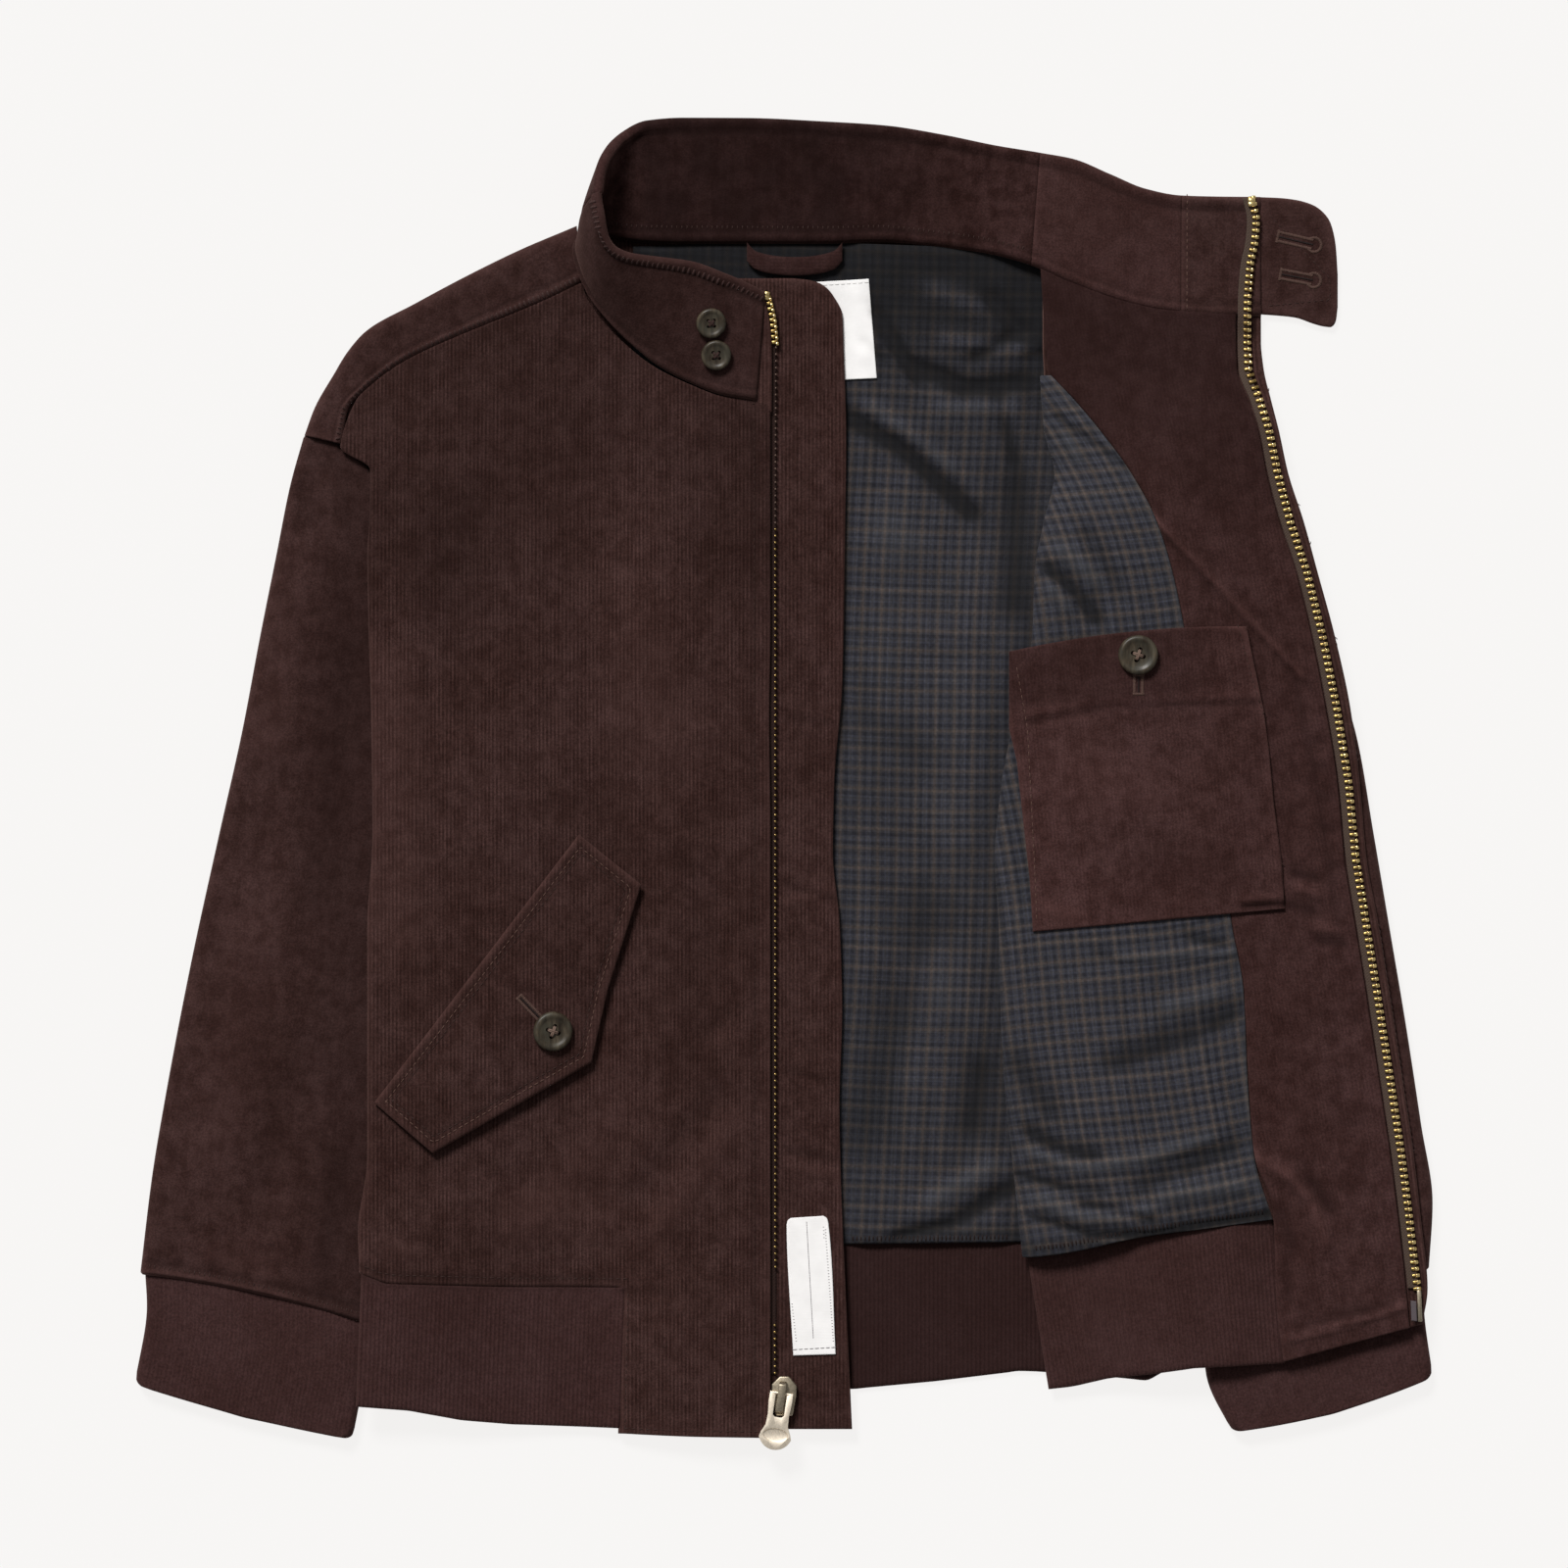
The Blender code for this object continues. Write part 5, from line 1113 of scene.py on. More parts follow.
def band_places(columns, top, end, lean_first=0.0, lean_last=0.0):
    """A band between two hem lines. Its two sides may lean along x towards the free edge."""
    span = columns[-1] - columns[0]
    free = [x + lerp(lean_first, lean_last, (x - columns[0]) / span) for x in columns]
    upper, lower = [(x, read_hem(top, x)) for x in columns], [(x, read_hem(end, x)) for x in free]
    return [
        [(lerp(a[0], b[0], t), lerp(a[1], b[1], t)) for a, b in zip(upper, lower)] for t in steps(0, 1, 3)
    ]


ACROSS_LINING = (0.1, 0.24, 0.38, 0.52, 0.68, 0.84)
ACROSS_FACING = (0.0, 0.2, 0.4, 0.6, 0.8, 1.0)


def facing_x(row):
    """Places across the facing, from its inner edge to the zip's tape."""
    return [lerp(row.facing + 0.6, row.teeth - 4.0, t) for t in ACROSS_FACING]


def at_hem(places):
    return [(x, read_hem(OPENED_HEM, x)) for x, _ in places]


def at_neck(places, t):
    return [(x, lerp(neck_seam(x) - 0.8, y, t)) for x, y in places]


def neck_seam(x):
    """The opened left front's neck edge, just below the collar's base."""
    return float(read_straight(COLLAR[COLLAR_SEAMS[2] - 1 :], "base_x", "base_y", x)) - 0.3


def block_places(block, columns):
    """A row of the left hem block, which slants down towards the hem band."""
    slant = BLOCK_SLANT * (1.0 if block is OPENED_BLOCK[-1] else 0.5)
    start = block.facing + 0.6
    return [(x, block.y - slant * (1 - (x - start) / (block.edge - start))) for x in columns]


def shell_places(row):
    """Places across the opened front's shell: the hidden leaf, the fold and the top leaf."""
    width = float(leaf_width(row.y))
    leaf = [(row.fold + width * t, row.y) for t in (1.0, 0.6, 0.25)]
    fold = [(row.fold, row.y)] * 3
    top = [(lerp(row.fold + 1.5, row.facing, t), row.y) for t in ACROSS_LINING]
    top += [(x, row.y) for x in (*facing_x(row), row.teeth - 1.0, row.edge)]
    return leaf + fold + top


def facing_places():
    rows = [[(x, neck_seam(x)) for x in facing_x(OPENED[0]._replace(facing=96.5))]]
    rows += [[(x, row.y) for x in facing_x(row)] for row in OPENED]
    rows += [block_places(block, facing_x(block)) for block in OPENED_BLOCK]
    return rows


def pocket_places():
    rows = []
    for row in INSIDE_POCKET:
        bow = INSIDE_POCKET_BOW if row is INSIDE_POCKET[0] else 0.0
        rows.append([
            (lerp(row.left, row.right, t), lerp(row.left_y, row.right_y, t) + bow * 4 * t * (1 - t))
            for t in steps(0, 1, 8)
        ])
    return rows


def flap_places():
    """Rows run from the flap's left end to its top end, each from the pocket edge to the free edge."""
    known, corners = (0.0, 0.6, 0.74, 1.0), (FLAP_LOW, FLAP_RIGHT, FLAP_WAIST, FLAP_HIGH)
    rows = []
    for t in (0.0, 0.3, 0.6, 0.74, 1.0):
        free = [np.interp(t, known, [getattr(corner, axis) for corner in corners]) for axis in "xy"]
        start = lerp(FLAP_LEFT.x, FLAP_TOP.x, t), lerp(FLAP_LEFT.y, FLAP_TOP.y, t)
        rows.append([(lerp(start[0], free[0], f), lerp(start[1], free[1], f)) for f in steps(0, 1, 2)])
    return rows


# ---------------------------------------------------------------- body


def side_roll(x, y):
    """The front's side edge turns down over the back, below the armhole."""
    reach = x - read(FRONT, "y", "side", y)
    return -SIDE_ROLL * np.clip(1 - reach / 2.6, 0, 1) ** 2 * smooth((121 - y) / 6)


def front_edge(x, y):
    """A topstitched edge along the zip: a soft ridge, and a groove where the stitches run."""
    away = ZIP_X - x
    free = smooth((145 - y) / 8)
    return 0.22 * (hump(away, 3.2, 1.8) - hump(away, 6.2, 0.6)) * free


def front_seams(x, y):
    """The seam above the hem band: a welt between two grooves, which ends at the hem block."""
    up = y - read_straight(FRONT_HEM, "x", "y", x)
    beside = smooth((-59 - x) / 4)
    return (0.35 * hump(up, 1.6, 1.1) - 0.3 * hump(up, 3.7, 0.6)) * beside


def block_only(lines, runs, row, column):
    """Mask that leaves out the cells below a row and left of a column, beside a hem block."""
    return ~((lines[0][:, None] > runs[0][row] + 1e-6) & (lines[1][None, :] < runs[1][column] - 1e-6))


def front_shell():
    coarse = np.array([[(x, y, 0.0) for x, y in row] for row in front_places()])
    points, *lines = fine(coarse, 2.0, 1.9)
    points = grown(points, start=0.6)
    x, y = points[..., 0], points[..., 1]
    mask = block_only(lines, runs_of(coarse), len(FRONT), BLOCK_FROM)
    low, drop = front_under(x, y), side_roll(x, y)
    raised = front_edge(x, y) + front_seams(x, y)
    # Painted shade in the front's grooves and fold valleys, painted light on its ridges, and painted shade
    # that grows towards the neck.
    dark = groove_shade(raised) + hollows(FRONT_FOLDS, 0.3, x, y) + 0.36 * smooth((y - 20) / 90)
    return shell("front_right_cloth", *walls(x, y, low + drop, low + FRONT_CLOTH + raised + drop), cord,
                 straight_grain(points), mask=mask, dark=dark)


def on_shoulder(row, t):
    """A place on a row of the shoulder part, from its outer edge (0) to its seam (1)."""
    return lerp(row.outer_x, row.seam_x, t), lerp(row.outer_y, row.seam_y, t)


def shoulder_shell():
    across = (0.0, 0.06, 0.14, 0.3, 0.5, 0.75, 1.0)
    coarse = [[(*on_shoulder(row, t), t) for t in across] for row in SHOULDER]
    points = grown(fine(coarse, 2.0, 1.0)[0], right=1.0, start=3.2)
    x, y, t = np.moveaxis(points, -1, 0)
    under = front_under(x, y)
    fall = np.clip(1 - t / 0.34, 0, 1) ** 2.3
    low = np.maximum(under - 2.4 * fall, 0.05)
    from_seam = (1 - t) * 22
    welt = 0.75 * hump(from_seam, 1.6, 1.1) - 0.3 * hump(from_seam, 3.9, 0.8)
    high = np.maximum(under + FRONT_CLOTH - 2.7 * fall + welt, low + 0.8)
    # Painted shade in the welt's groove and a little all over. The wide pale edge is partly wear and partly
    # a painted highlight along the welt.
    return shell("shoulder_right_cloth", *walls(x, y, low, high), cord_smooth,
                 straight_grain(points, -24.0), dark=np.clip(-1.6 * welt, 0, 0.5) + 0.15, wear_and_highlight_reach=2.4)


def ribs_at(across):
    """Height of the knit's ribs, from 0 to 1."""
    return 0.5 + 0.5 * np.cos(2 * math.pi * across / RIB_PITCH)


def rib_band(name, columns, top, end, under, leans=(0.0, 0.0), shade=0.0, right=0.5):
    """A hem band: ribs run down it and follow its lean."""
    coarse = [[(x, y, column) for (x, y), column in zip(row, columns)]
              for row in band_places(columns, top, end, *leans)]
    points, rows, _ = fine(coarse, 4.2, RIB_PITCH / 4)
    x, y, along = np.moveaxis(grown(points, start=0.5, left=0.3, right=right), -1, 0)
    low = under(x, y)
    down = rows[:, None] / rows[-1]
    from_top, from_end = down * BAND_DEPTH, (1 - down) * BAND_DEPTH
    roll = 0.5 * hump(from_end, 2.5, 3.0) * (1 - np.exp(-from_end / 1.2))
    high = low + RIB_CLOTH - RIB_DEPTH + RIB_RELIEF * ribs_at(along) * smooth(down / 0.06) + roll
    grain = np.stack([along, 0 * along - from_top], -1)
    # shade is painted shade over the whole band, and the band is also darker along its top seam.
    dark = shade + 0.5 * hump(from_top, 0, 1.4) + 0 * along
    return shell(name, *walls(x, y, low, high), rib, grain, edge=1.2, dark=dark)


# ---------------------------------------------------------------- sleeves


# Welt at the sleeve's end: distance from the end, width and height of each ridge or groove.
TUBE_WELT = ((0.9, 0.7, 0.55), (2.0, 0.4, -0.15), (3.1, 0.8, 0.5), (4.5, 0.6, -0.3))


def tube_shell(
    name, rings, height, thick, finish, relief=None, ribs=0.0, gap=2.6, welt=False, grow=(0.5, 0.5),
    shade=None,
):
    """A tube that lies flat, from rings with a stadium section. Its top carries the folds or ribs."""
    table = np.array(rings, float)
    middle = (table[:, :2] + table[:, 2:4]) / 2
    run = np.concatenate([[0.0], np.cumsum(np.linalg.norm(np.diff(middle, axis=0), axis=1))])
    along = fine_lines(run, gap)
    found = flow(run, table, along)
    start, stop, bow = found[:, :2], found[:, 2:4], found[:, 4]
    if ribs:
        rest = np.clip(CUFF_ROUND - (run[-1] - along), 0, CUFF_ROUND)
        pulled = CUFF_ROUND - np.sqrt(CUFF_ROUND**2 - rest**2)
        pulled = pulled[:, None] / np.linalg.norm(stop - start, axis=1)[:, None]
        start, stop = start + (stop - start) * pulled, stop + (start - stop) * pulled
    length = np.linalg.norm(stop - start, axis=1)[:, None]

    # Round the section: its underside, the turn at its stop, its top and the turn at its start.
    turn = np.radians(np.linspace(-90, 90, 11)[1:-1])
    below, above = np.linspace(0, 1, 13), np.linspace(1, 0, (4 * round(80 / RIB_PITCH) if ribs else 44) + 1)
    share = np.concatenate([below, 0 * turn + 1, above, 0 * turn])
    out = np.concatenate([0 * below, np.cos(turn), 0 * above, -np.cos(turn)])
    up = np.concatenate([0 * below - 1, np.sin(turn), 0 * above + 1, np.sin(turn[::-1])])
    grids = []
    for radius in (height / 2 - thick, height / 2):
        s = height / 2 + (length - height) * share + radius * out
        t = s / length
        place = start[:, None] + (stop - start)[:, None] * t[..., None]
        place[..., 1] += bow[:, None] * 4 * t * (1 - t)
        grids.append([place[..., 0], place[..., 1], height / 2 + radius * up + 0 * s])
    inner, (x, y, z) = grids
    top = np.maximum(up, 0)
    grain_s = s - length / 2
    # dark is painted shade: in the welt's grooves, and the painted shade that is given.
    dark = 0.0
    if ribs:
        z = z + top * ribs * ribs_at(grain_s)
    if relief is not None:
        z = z + top * relief(x, y)
    if welt:
        reach = run[-1] - along
        raised = sum(high * hump(reach, place, wide) for place, wide, high in TUBE_WELT)[:, None]
        z = z + top * raised
        dark = groove_shade(raised * top)
    if shade is not None:
        dark = dark + shade(x, y)
    outer, inner = (grown(np.stack(side, -1), *grow) for side in ((x, y, z), inner))
    down = np.repeat(-along[:, None], s.shape[1] + 1, axis=1)
    across = np.where(np.arange(s.shape[1]) < len(below), -s - 10, grain_s)
    across = np.concatenate([across, across[:, :1]], axis=1)
    uv = np.stack([across, down], -1)
    return shell(name, outer, inner, finish, uv, around=True, edge=thick * 0.6, dark=dark)


# ---------------------------------------------------------------- opened left front


def top_leaf(places):
    """Both sides of the opened front's top leaf: a point outside, then one inside."""
    under = [float(opened_under(x, y)) for x, y in places]
    return [(x, y, low + FRONT_CLOTH, x, y, low) for (x, y), low in zip(places, under)]


def opened_shell():
    """The left front's shell: a leaf hidden underneath, the fold, and the top leaf with its block."""
    rows = [at_neck(shell_places(OPENED[0]), t) for t in (0.0, 0.55)]
    rows += [shell_places(row) for row in OPENED[:-1]]
    rows.append(at_hem(shell_places(OPENED[-1])))
    coarse = []
    for row in rows:
        fold_x, fold_y = row[3]
        high = float(opened_under(fold_x, fold_y)) + FRONT_CLOTH
        low = high - 2 * FRONT_CLOTH - LAYER
        points = []
        for x, y in row[:3]:
            under = LEAF_UNDER + float(lift(x, y, 72.0))
            points.append((x, y, under, x, y, under + FRONT_CLOTH))
        for out_x, in_x, out_z, in_z in (
            (1.4, 3.0, low, low + FRONT_CLOTH),
            (0.0, FRONT_CLOTH, (low + high) / 2, (low + high) / 2),
            (1.4, 3.0, high, high - FRONT_CLOTH),
        ):
            points.append((fold_x + out_x, fold_y, out_z, fold_x + in_x, fold_y, in_z))
        coarse.append(points + top_leaf(row[6:]))
    hem = coarse[-1]
    for block in OPENED_BLOCK:
        places = block_places(block, [*facing_x(block), block.teeth - 1.0, block.edge])
        hidden = len(hem) - len(places)
        shift = places[0][1] - hem[hidden][1]
        moved = [(x, y + shift, z, in_x, in_y + shift, in_z) for x, y, z, in_x, in_y, in_z in hem[:hidden]]
        coarse.append(moved + top_leaf(places))
    both = np.array(coarse)
    runs = runs_of((both[..., :3] + both[..., 3:]) / 2)
    lines = fine_lines(runs[0], 3.0), fine_lines(runs[1], 2.5)
    dense = resampled(both, runs, lines)
    mask = block_only(lines, runs, len(rows) - 1, hidden)
    grain = np.stack(np.meshgrid(lines[1], -lines[0]), -1)
    outer, inner = grown(dense[..., :3], start=1.4), grown(dense[..., 3:], start=1.4)
    return shell("front_left_cloth", outer, inner, cord, grain, mask=mask)


def lining_left_shell():
    """Lining of the opened front. It turns down round the fold, and ends under the facing's edge."""
    rows = []
    for row in [Opened(154, 98.1, 100.6, 0, 0)] + [r for r in OPENED if r.y <= 145]:
        rows.append([(row.fold, row.y)]
                    + [(lerp(row.fold + 1.5, row.facing, t), row.y) for t in (*ACROSS_LINING, 1.0)])
    rows[-1] = at_hem(rows[-1])
    coarse = []
    for (x, y), *top in rows:
        high = float(on_opened(x, y))
        low = high - 2 * (LAYER + FRONT_CLOTH)
        points = [(x - 1.6, y, z, x - 0.5, z) for z in (low + 0.9, (low + high) / 2 + 0.8)]
        points.append((x - 0.1, y, high + LINING_CLOTH * 0.9, x + 0.6, high))
        for x, y in top:
            under = float(on_opened(x, y))
            points.append((x, y, under + LINING_CLOTH, x, under))
        coarse.append(points)
    values = np.array(coarse)
    runs = runs_of(values[..., :3])
    fine_grid = resampled(values, runs, [fine_lines(run, 1.6) for run in runs])
    x, y, high, in_x, low = np.moveaxis(fine_grid, -1, 0)
    loose = lining_left_under(x, y) - on_opened(x, y)
    outer, inner = np.stack([x, y, high + loose], -1), np.stack([in_x, y, low + loose], -1)
    grain = straight_grain(outer, 8.5, lambda a, b: (
        a + 1.2 * np.sin(b / 23.0) + 0.0028 * np.maximum(b - 55, 0) ** 2, b + 1.5 * np.sin(a / 19.0)
    ))
    hem = y - read_straight(OPENED_HEM, "x", "y", x)
    # Painted shade in the fold valleys and painted light on the ridges, and darker along the hem.
    dark = (1.3 * hollows(LINING_LEFT_FOLDS, 0.7, x, y) + 0.2 * smooth((12 - hem) / 8)
            + 0.35 * smooth((5.5 - hem) / 1.0))
    return shell("lining_left_cloth", outer, inner, lining, grain, edge=0.6, dark=dark)


# ---------------------------------------------------------------- collar

COLLAR_ROLL = 4.4  # width of the turned edge along the collar's top
WELT = 3.0  # width of the welt along the neck seam


def collar_surface():
    """The whole collar in one fine run, so that its pieces meet: its face, the way out of it, the
    run of places along it, its height and where its pieces start."""
    table = np.array(COLLAR, float)
    middle = (table[:, :3] + table[:, 3:6]) / 2
    run = np.concatenate([[0.0], np.cumsum(np.linalg.norm(np.diff(middle, axis=0), axis=1))])
    lines = [fine_lines(run[a : b + 1], 1.2) for a, b in zip(COLLAR_SEAMS, COLLAR_SEAMS[1:])]
    along = np.unique(np.concatenate(lines))
    found = flow(run, table, along)
    base, top, bulge = found[:, None, :3], found[:, None, 3:6], found[:, None, 6:]
    height = np.linalg.norm(top - base, axis=2).mean()
    up = fine_lines([0.0, height], 1.2) / height
    rise = up[None, :, None]
    lean = np.gradient(((base + top) / 2)[:, 0], along, axis=0)
    out = np.cross((top - base)[:, 0], lean)
    out /= np.linalg.norm(out, axis=1)[:, None]
    face = base + (top - base) * rise + out[:, None, :] * bulge * np.sin(math.pi * rise)
    ways = np.cross(np.gradient(face, up, axis=1), np.gradient(face, along, axis=0))
    ways /= np.linalg.norm(ways, axis=2)[..., None]
    return face, ways, along, up * height, [run[c] for c in COLLAR_SEAMS]


def collar_shape(up, whole):
    """Height added up the collar: a welt at the neck seam, and a turned edge above a groove."""
    down = whole - up
    welt = 0.6 * hump(up, WELT / 2, 1.1) - 0.35 * hump(up, WELT + 0.8, 0.7)
    return welt + 0.9 * hump(down, COLLAR_ROLL / 2, 1.7) - 0.55 * hump(down, COLLAR_ROLL + 0.7, 0.75)


def collar_folds(along, up):
    """The collar's own soft hollows and humps, in its run and height."""
    return 0.3 * ripple(along, up, 48.0, 6) + folds(COLLAR_FOLDS, along, up)


COLLAR_FOLDS = listed(Fold, [
    (118, 14, 150, 30, 8, 0.5), (105, 8, 108, 40, 1.6, -0.4), (150, 34, 210, 36, 6, 0.4),
    (170, 12, 230, 14, 8, -0.6), (240, 20, 262, 10, 7, 0.5), (258, 4, 262, 40, 1.2, -0.35),
])


# Each collar piece: its name, its finish and its painted shade. The back piece's painted shade is worked
# out below, and its finish is a shaded copy.
COLLAR_PARTS = (
    ("collar_right", cord_smooth, 0.35), ("collar_back", cord_inside_shaded, None),
    ("collar_left", cord_fine, 0.08), ("collar_end_left", cord_smooth, 0.08),
)


def collar_shells():
    """The collar's pieces. The right one is seen from outside, and the others from inside."""
    face, ways, along, up, cuts = collar_surface()
    shape = collar_shape(up, up[-1])
    added = (shape[None, :] + collar_folds(*np.meshgrid(along, up, indexing="ij")))[..., None]
    made = {}
    for k, (name, finish, shade) in enumerate(COLLAR_PARTS):
        part = (along >= cuts[k] - 1e-6) & (along <= cuts[k + 1] + 1e-6)
        outside = k == 0
        outer = (face + ways * added * (1.0 if outside else 0.0))[part]
        inner = (face - ways * COLLAR_CLOTH - ways * added * (0.5 if outside else 1.0))[part]
        if shade is None:
            # Painted shade on the inside of the back collar, strongest under the neck, in patches.
            x, y = face[part][..., 0], face[part][..., 1]
            under_neck = smooth((x + 62) / 12) * (1 - smooth((x - 10) / 75))
            shade = 0.1 + (0.75 + 0.3 * ripple(x, y, 19.0, 13)) * under_neck
        if not outside:
            outer[..., 2] = np.maximum(outer[..., 2], 0.15)
        grain = np.stack(np.meshgrid(along[part], up, indexing="ij"), -1)
        outer, inner = grown(outer, 0.3, 0.3, 0.8, 0), grown(inner, 0.3, 0.3, 0.8, 0)
        # Painted shade in the collar's grooves, and each piece's painted shade. The outside piece's wider
        # pale edge is partly wear and partly a painted highlight on its rolled top edge.
        made[name] = shell(name + "_cloth", outer, inner, finish, grain, edge=1.5,
                           dark=groove_shade(shape, 1.3)[None, :] + shade, wear_and_highlight_reach=2.6 if outside else 1.3)
    return made, face, ways, along, up, cuts


# ---------------------------------------------------------------- stitches and teeth


def make_line_tree():
    """Sets copies of an element along lines, on the cloth that lies straight below them."""
    tree = bpy.data.node_groups.new("set_along_line", "GeometryNodeTree")
    for label, kind in (
        ("Line", "Geometry"), ("Cloth", "Object"), ("Element", "Object"), ("Pitch", "Float"),
        ("Lift", "Float"), ("Size", "Vector"), ("Unevenness", "Float"), ("Finish", "Material"),
    ):
        tree.interface.new_socket(label, in_out="INPUT", socket_type="NodeSocket" + kind)
    tree.interface.new_socket("Set", in_out="OUTPUT", socket_type="NodeSocketGeometry")

    def node(kind, links=(), **settings):
        made = tree.nodes.new(kind)
        for key, value in settings.items():
            setattr(made, key, value)
        for name, value in dict(links).items():
            if isinstance(value, bpy.types.NodeSocket):
                tree.links.new(value, made.inputs[name])
            else:
                made.inputs[name].default_value = value
        return made.outputs

    given = node("NodeGroupInput")
    curve = node("GeometryNodeMeshToCurve", {"Mesh": given["Line"]})[0]
    run = node("GeometryNodeResampleCurve", {"Curve": curve, "Length": given["Pitch"]}, mode="LENGTH")[0]
    cloth = node("GeometryNodeObjectInfo", {"Object": given["Cloth"]})["Geometry"]
    element = node("GeometryNodeObjectInfo", {"Object": given["Element"]})["Geometry"]
    ray = node(
        "GeometryNodeRaycast", {"Target Geometry": cloth, "Ray Direction": (0, 0, -1), "Ray Length": 1.0}
    )
    keep = tree.nodes.new("GeometryNodeCaptureAttribute")
    keep.capture_items.new("VECTOR", "out")
    keep.capture_items.new("BOOLEAN", "met")
    for socket, value in zip(keep.inputs, (run, ray["Hit Normal"], ray["Is Hit"])):
        tree.links.new(value, socket)
    vector_math = "ShaderNodeVectorMath"
    above = node(vector_math, {0: ray["Hit Normal"], "Scale": given["Lift"]}, operation="SCALE")[0]
    spot = node(vector_math, {0: ray["Hit Position"], 1: above}, operation="ADD")[0]
    placed = node("GeometryNodeSetPosition", {"Geometry": keep.outputs[0], "Position": spot})[0]
    turn = "FunctionNodeAlignRotationToVector"
    forward = node(turn, {"Vector": node("GeometryNodeInputTangent")[0]}, axis="X")[0]
    turned = node(turn, {"Rotation": forward, "Vector": keep.outputs[1]}, axis="Z", pivot_axis="X")[0]
    uneven = node("FunctionNodeRandomValue", {"Min": 0.0, "Max": 1.0, "Seed": 7}, data_type="FLOAT")[1]
    more = node("ShaderNodeMath", {0: uneven, 1: given["Unevenness"], 2: 1.0}, operation="MULTIPLY_ADD")[0]
    size = node(vector_math, {0: given["Size"], "Scale": more}, operation="SCALE")[0]
    copies = node("GeometryNodeInstanceOnPoints", {
        "Points": placed, "Selection": keep.outputs[2], "Instance": element, "Rotation": turned,
        "Scale": size,
    })[0]
    solid = node("GeometryNodeRealizeInstances", {"Geometry": copies})[0]
    soft = node("GeometryNodeSetShadeSmooth", {"Geometry": solid, "Shade Smooth": True})[0]
    done = node("GeometryNodeSetMaterial", {"Geometry": soft, "Material": given["Finish"]})[0]
    node("NodeGroupOutput", {0: done})
    return tree


line_tree = make_line_tree()


def lofted(name, runs, size=MM):
    """Closed forms in one mesh, each a run of loops of points. A loop of one point is a tip."""
    bm = bmesh.new()
    for loops in runs:
        rings = [[bm.verts.new([c * size for c in point]) for point in loop] for loop in loops]
        for a, b in zip(rings, rings[1:]):
            around = max(len(a), len(b))
            for i in range(around):
                k = (i + 1) % around
                face = (a[i % len(a)], a[k % len(a)], b[k % len(b)], b[i % len(b)])
                bm.faces.new(list(dict.fromkeys(face)))
        for end in (rings[0], rings[-1]):
            if len(end) > 2:
                bm.faces.new(end)
    bmesh.ops.recalc_face_normals(bm, faces=bm.faces)
    mesh = bpy.data.meshes.new(name)
    bm.to_mesh(mesh)
    bm.free()
    return linked(name, mesh)


def stitch_loops():
    """One stitch, lying along X from -0.5 to 0.5: a fat middle that dips at both ends."""
    angles = [math.radians(a) for a in (0, 72, 144, 216, 288)]
    half = [(-0.5, 0.22, -0.5), (-0.3, 0.44, -0.05)]
    sections = half + [(0.0, 0.5, 0.1)] + [(-x, r, drop) for x, r, drop in half[::-1]]
    return [[(x, r * math.cos(a), drop + r * math.sin(a)) for a in angles] for x, r, drop in sections]


def box_loops(half_x, half_y, levels):
    """A block with its corners cut, from levels of height and how far each is drawn in."""
    loops = []
    for z, drawn in levels:
        x, y = half_x - drawn, half_y - drawn
        corner = 0.24 * min(x, y)
        near, far = x - corner, y - corner
        loops.append([(-near, -y, z), (near, -y, z), (x, -far, z), (x, far, z),
                      (near, y, z), (-near, y, z), (-x, far, z), (-x, -far, z)])
    return loops


stitch_element = lofted("stitch", [stitch_loops()], 1)
satin_element = lofted("satin", [[[(y, x, z) for x, y, z in loop] for loop in stitch_loops()]], 1)
crimp_element = lofted("tooth_crimp", [box_loops(0.62, 1.5, [(-0.3, 0.0), (0.45, 0.0), (0.75, 0.22)])], 1)
head_element = lofted("tooth_head", [box_loops(0.7, 0.72, [(-0.3, 0.0), (0.85, 0.0), (1.1, 0.2)])], 1)


def along(name, lines, cloth, element, pitch, size, finish, lift=0.0, uneven=0.0):
    """Copies of an element on a cloth, along lines of (x, y) places in mm."""
    points, edges = [], []
    for line in lines:
        start = len(points)
        points += [(x * MM, y * MM, 0.2) for x, y in line]
        edges += [(i, i + 1) for i in range(start, len(points) - 1)]
    mesh = bpy.data.meshes.new(name)
    mesh.from_pydata(points, edges, [])
    guide = linked(name + "_guide", mesh)
    made = guide.modifiers.new("Set", "NODES")
    made.node_group = line_tree
    values = {
        "Cloth": cloth, "Element": element, "Pitch": pitch * MM, "Lift": lift * MM,
        "Size": [s * MM for s in size], "Unevenness": uneven, "Finish": finish,
    }
    for socket in line_tree.interface.items_tree:
        if socket.in_out == "INPUT" and socket.name in values:
            made[socket.identifier] = values[socket.name]
    graph = bpy.context.evaluated_depsgraph_get()
    result = bpy.data.meshes.new_from_object(guide.evaluated_get(graph))
    guide.modifiers.clear()
    bpy.data.objects.remove(guide)
    return linked(name, result)


# ---------------------------------------------------------------- metal and horn

SMOOTH_BELOW = math.radians(35)  # edges flatter than this are shaded smooth


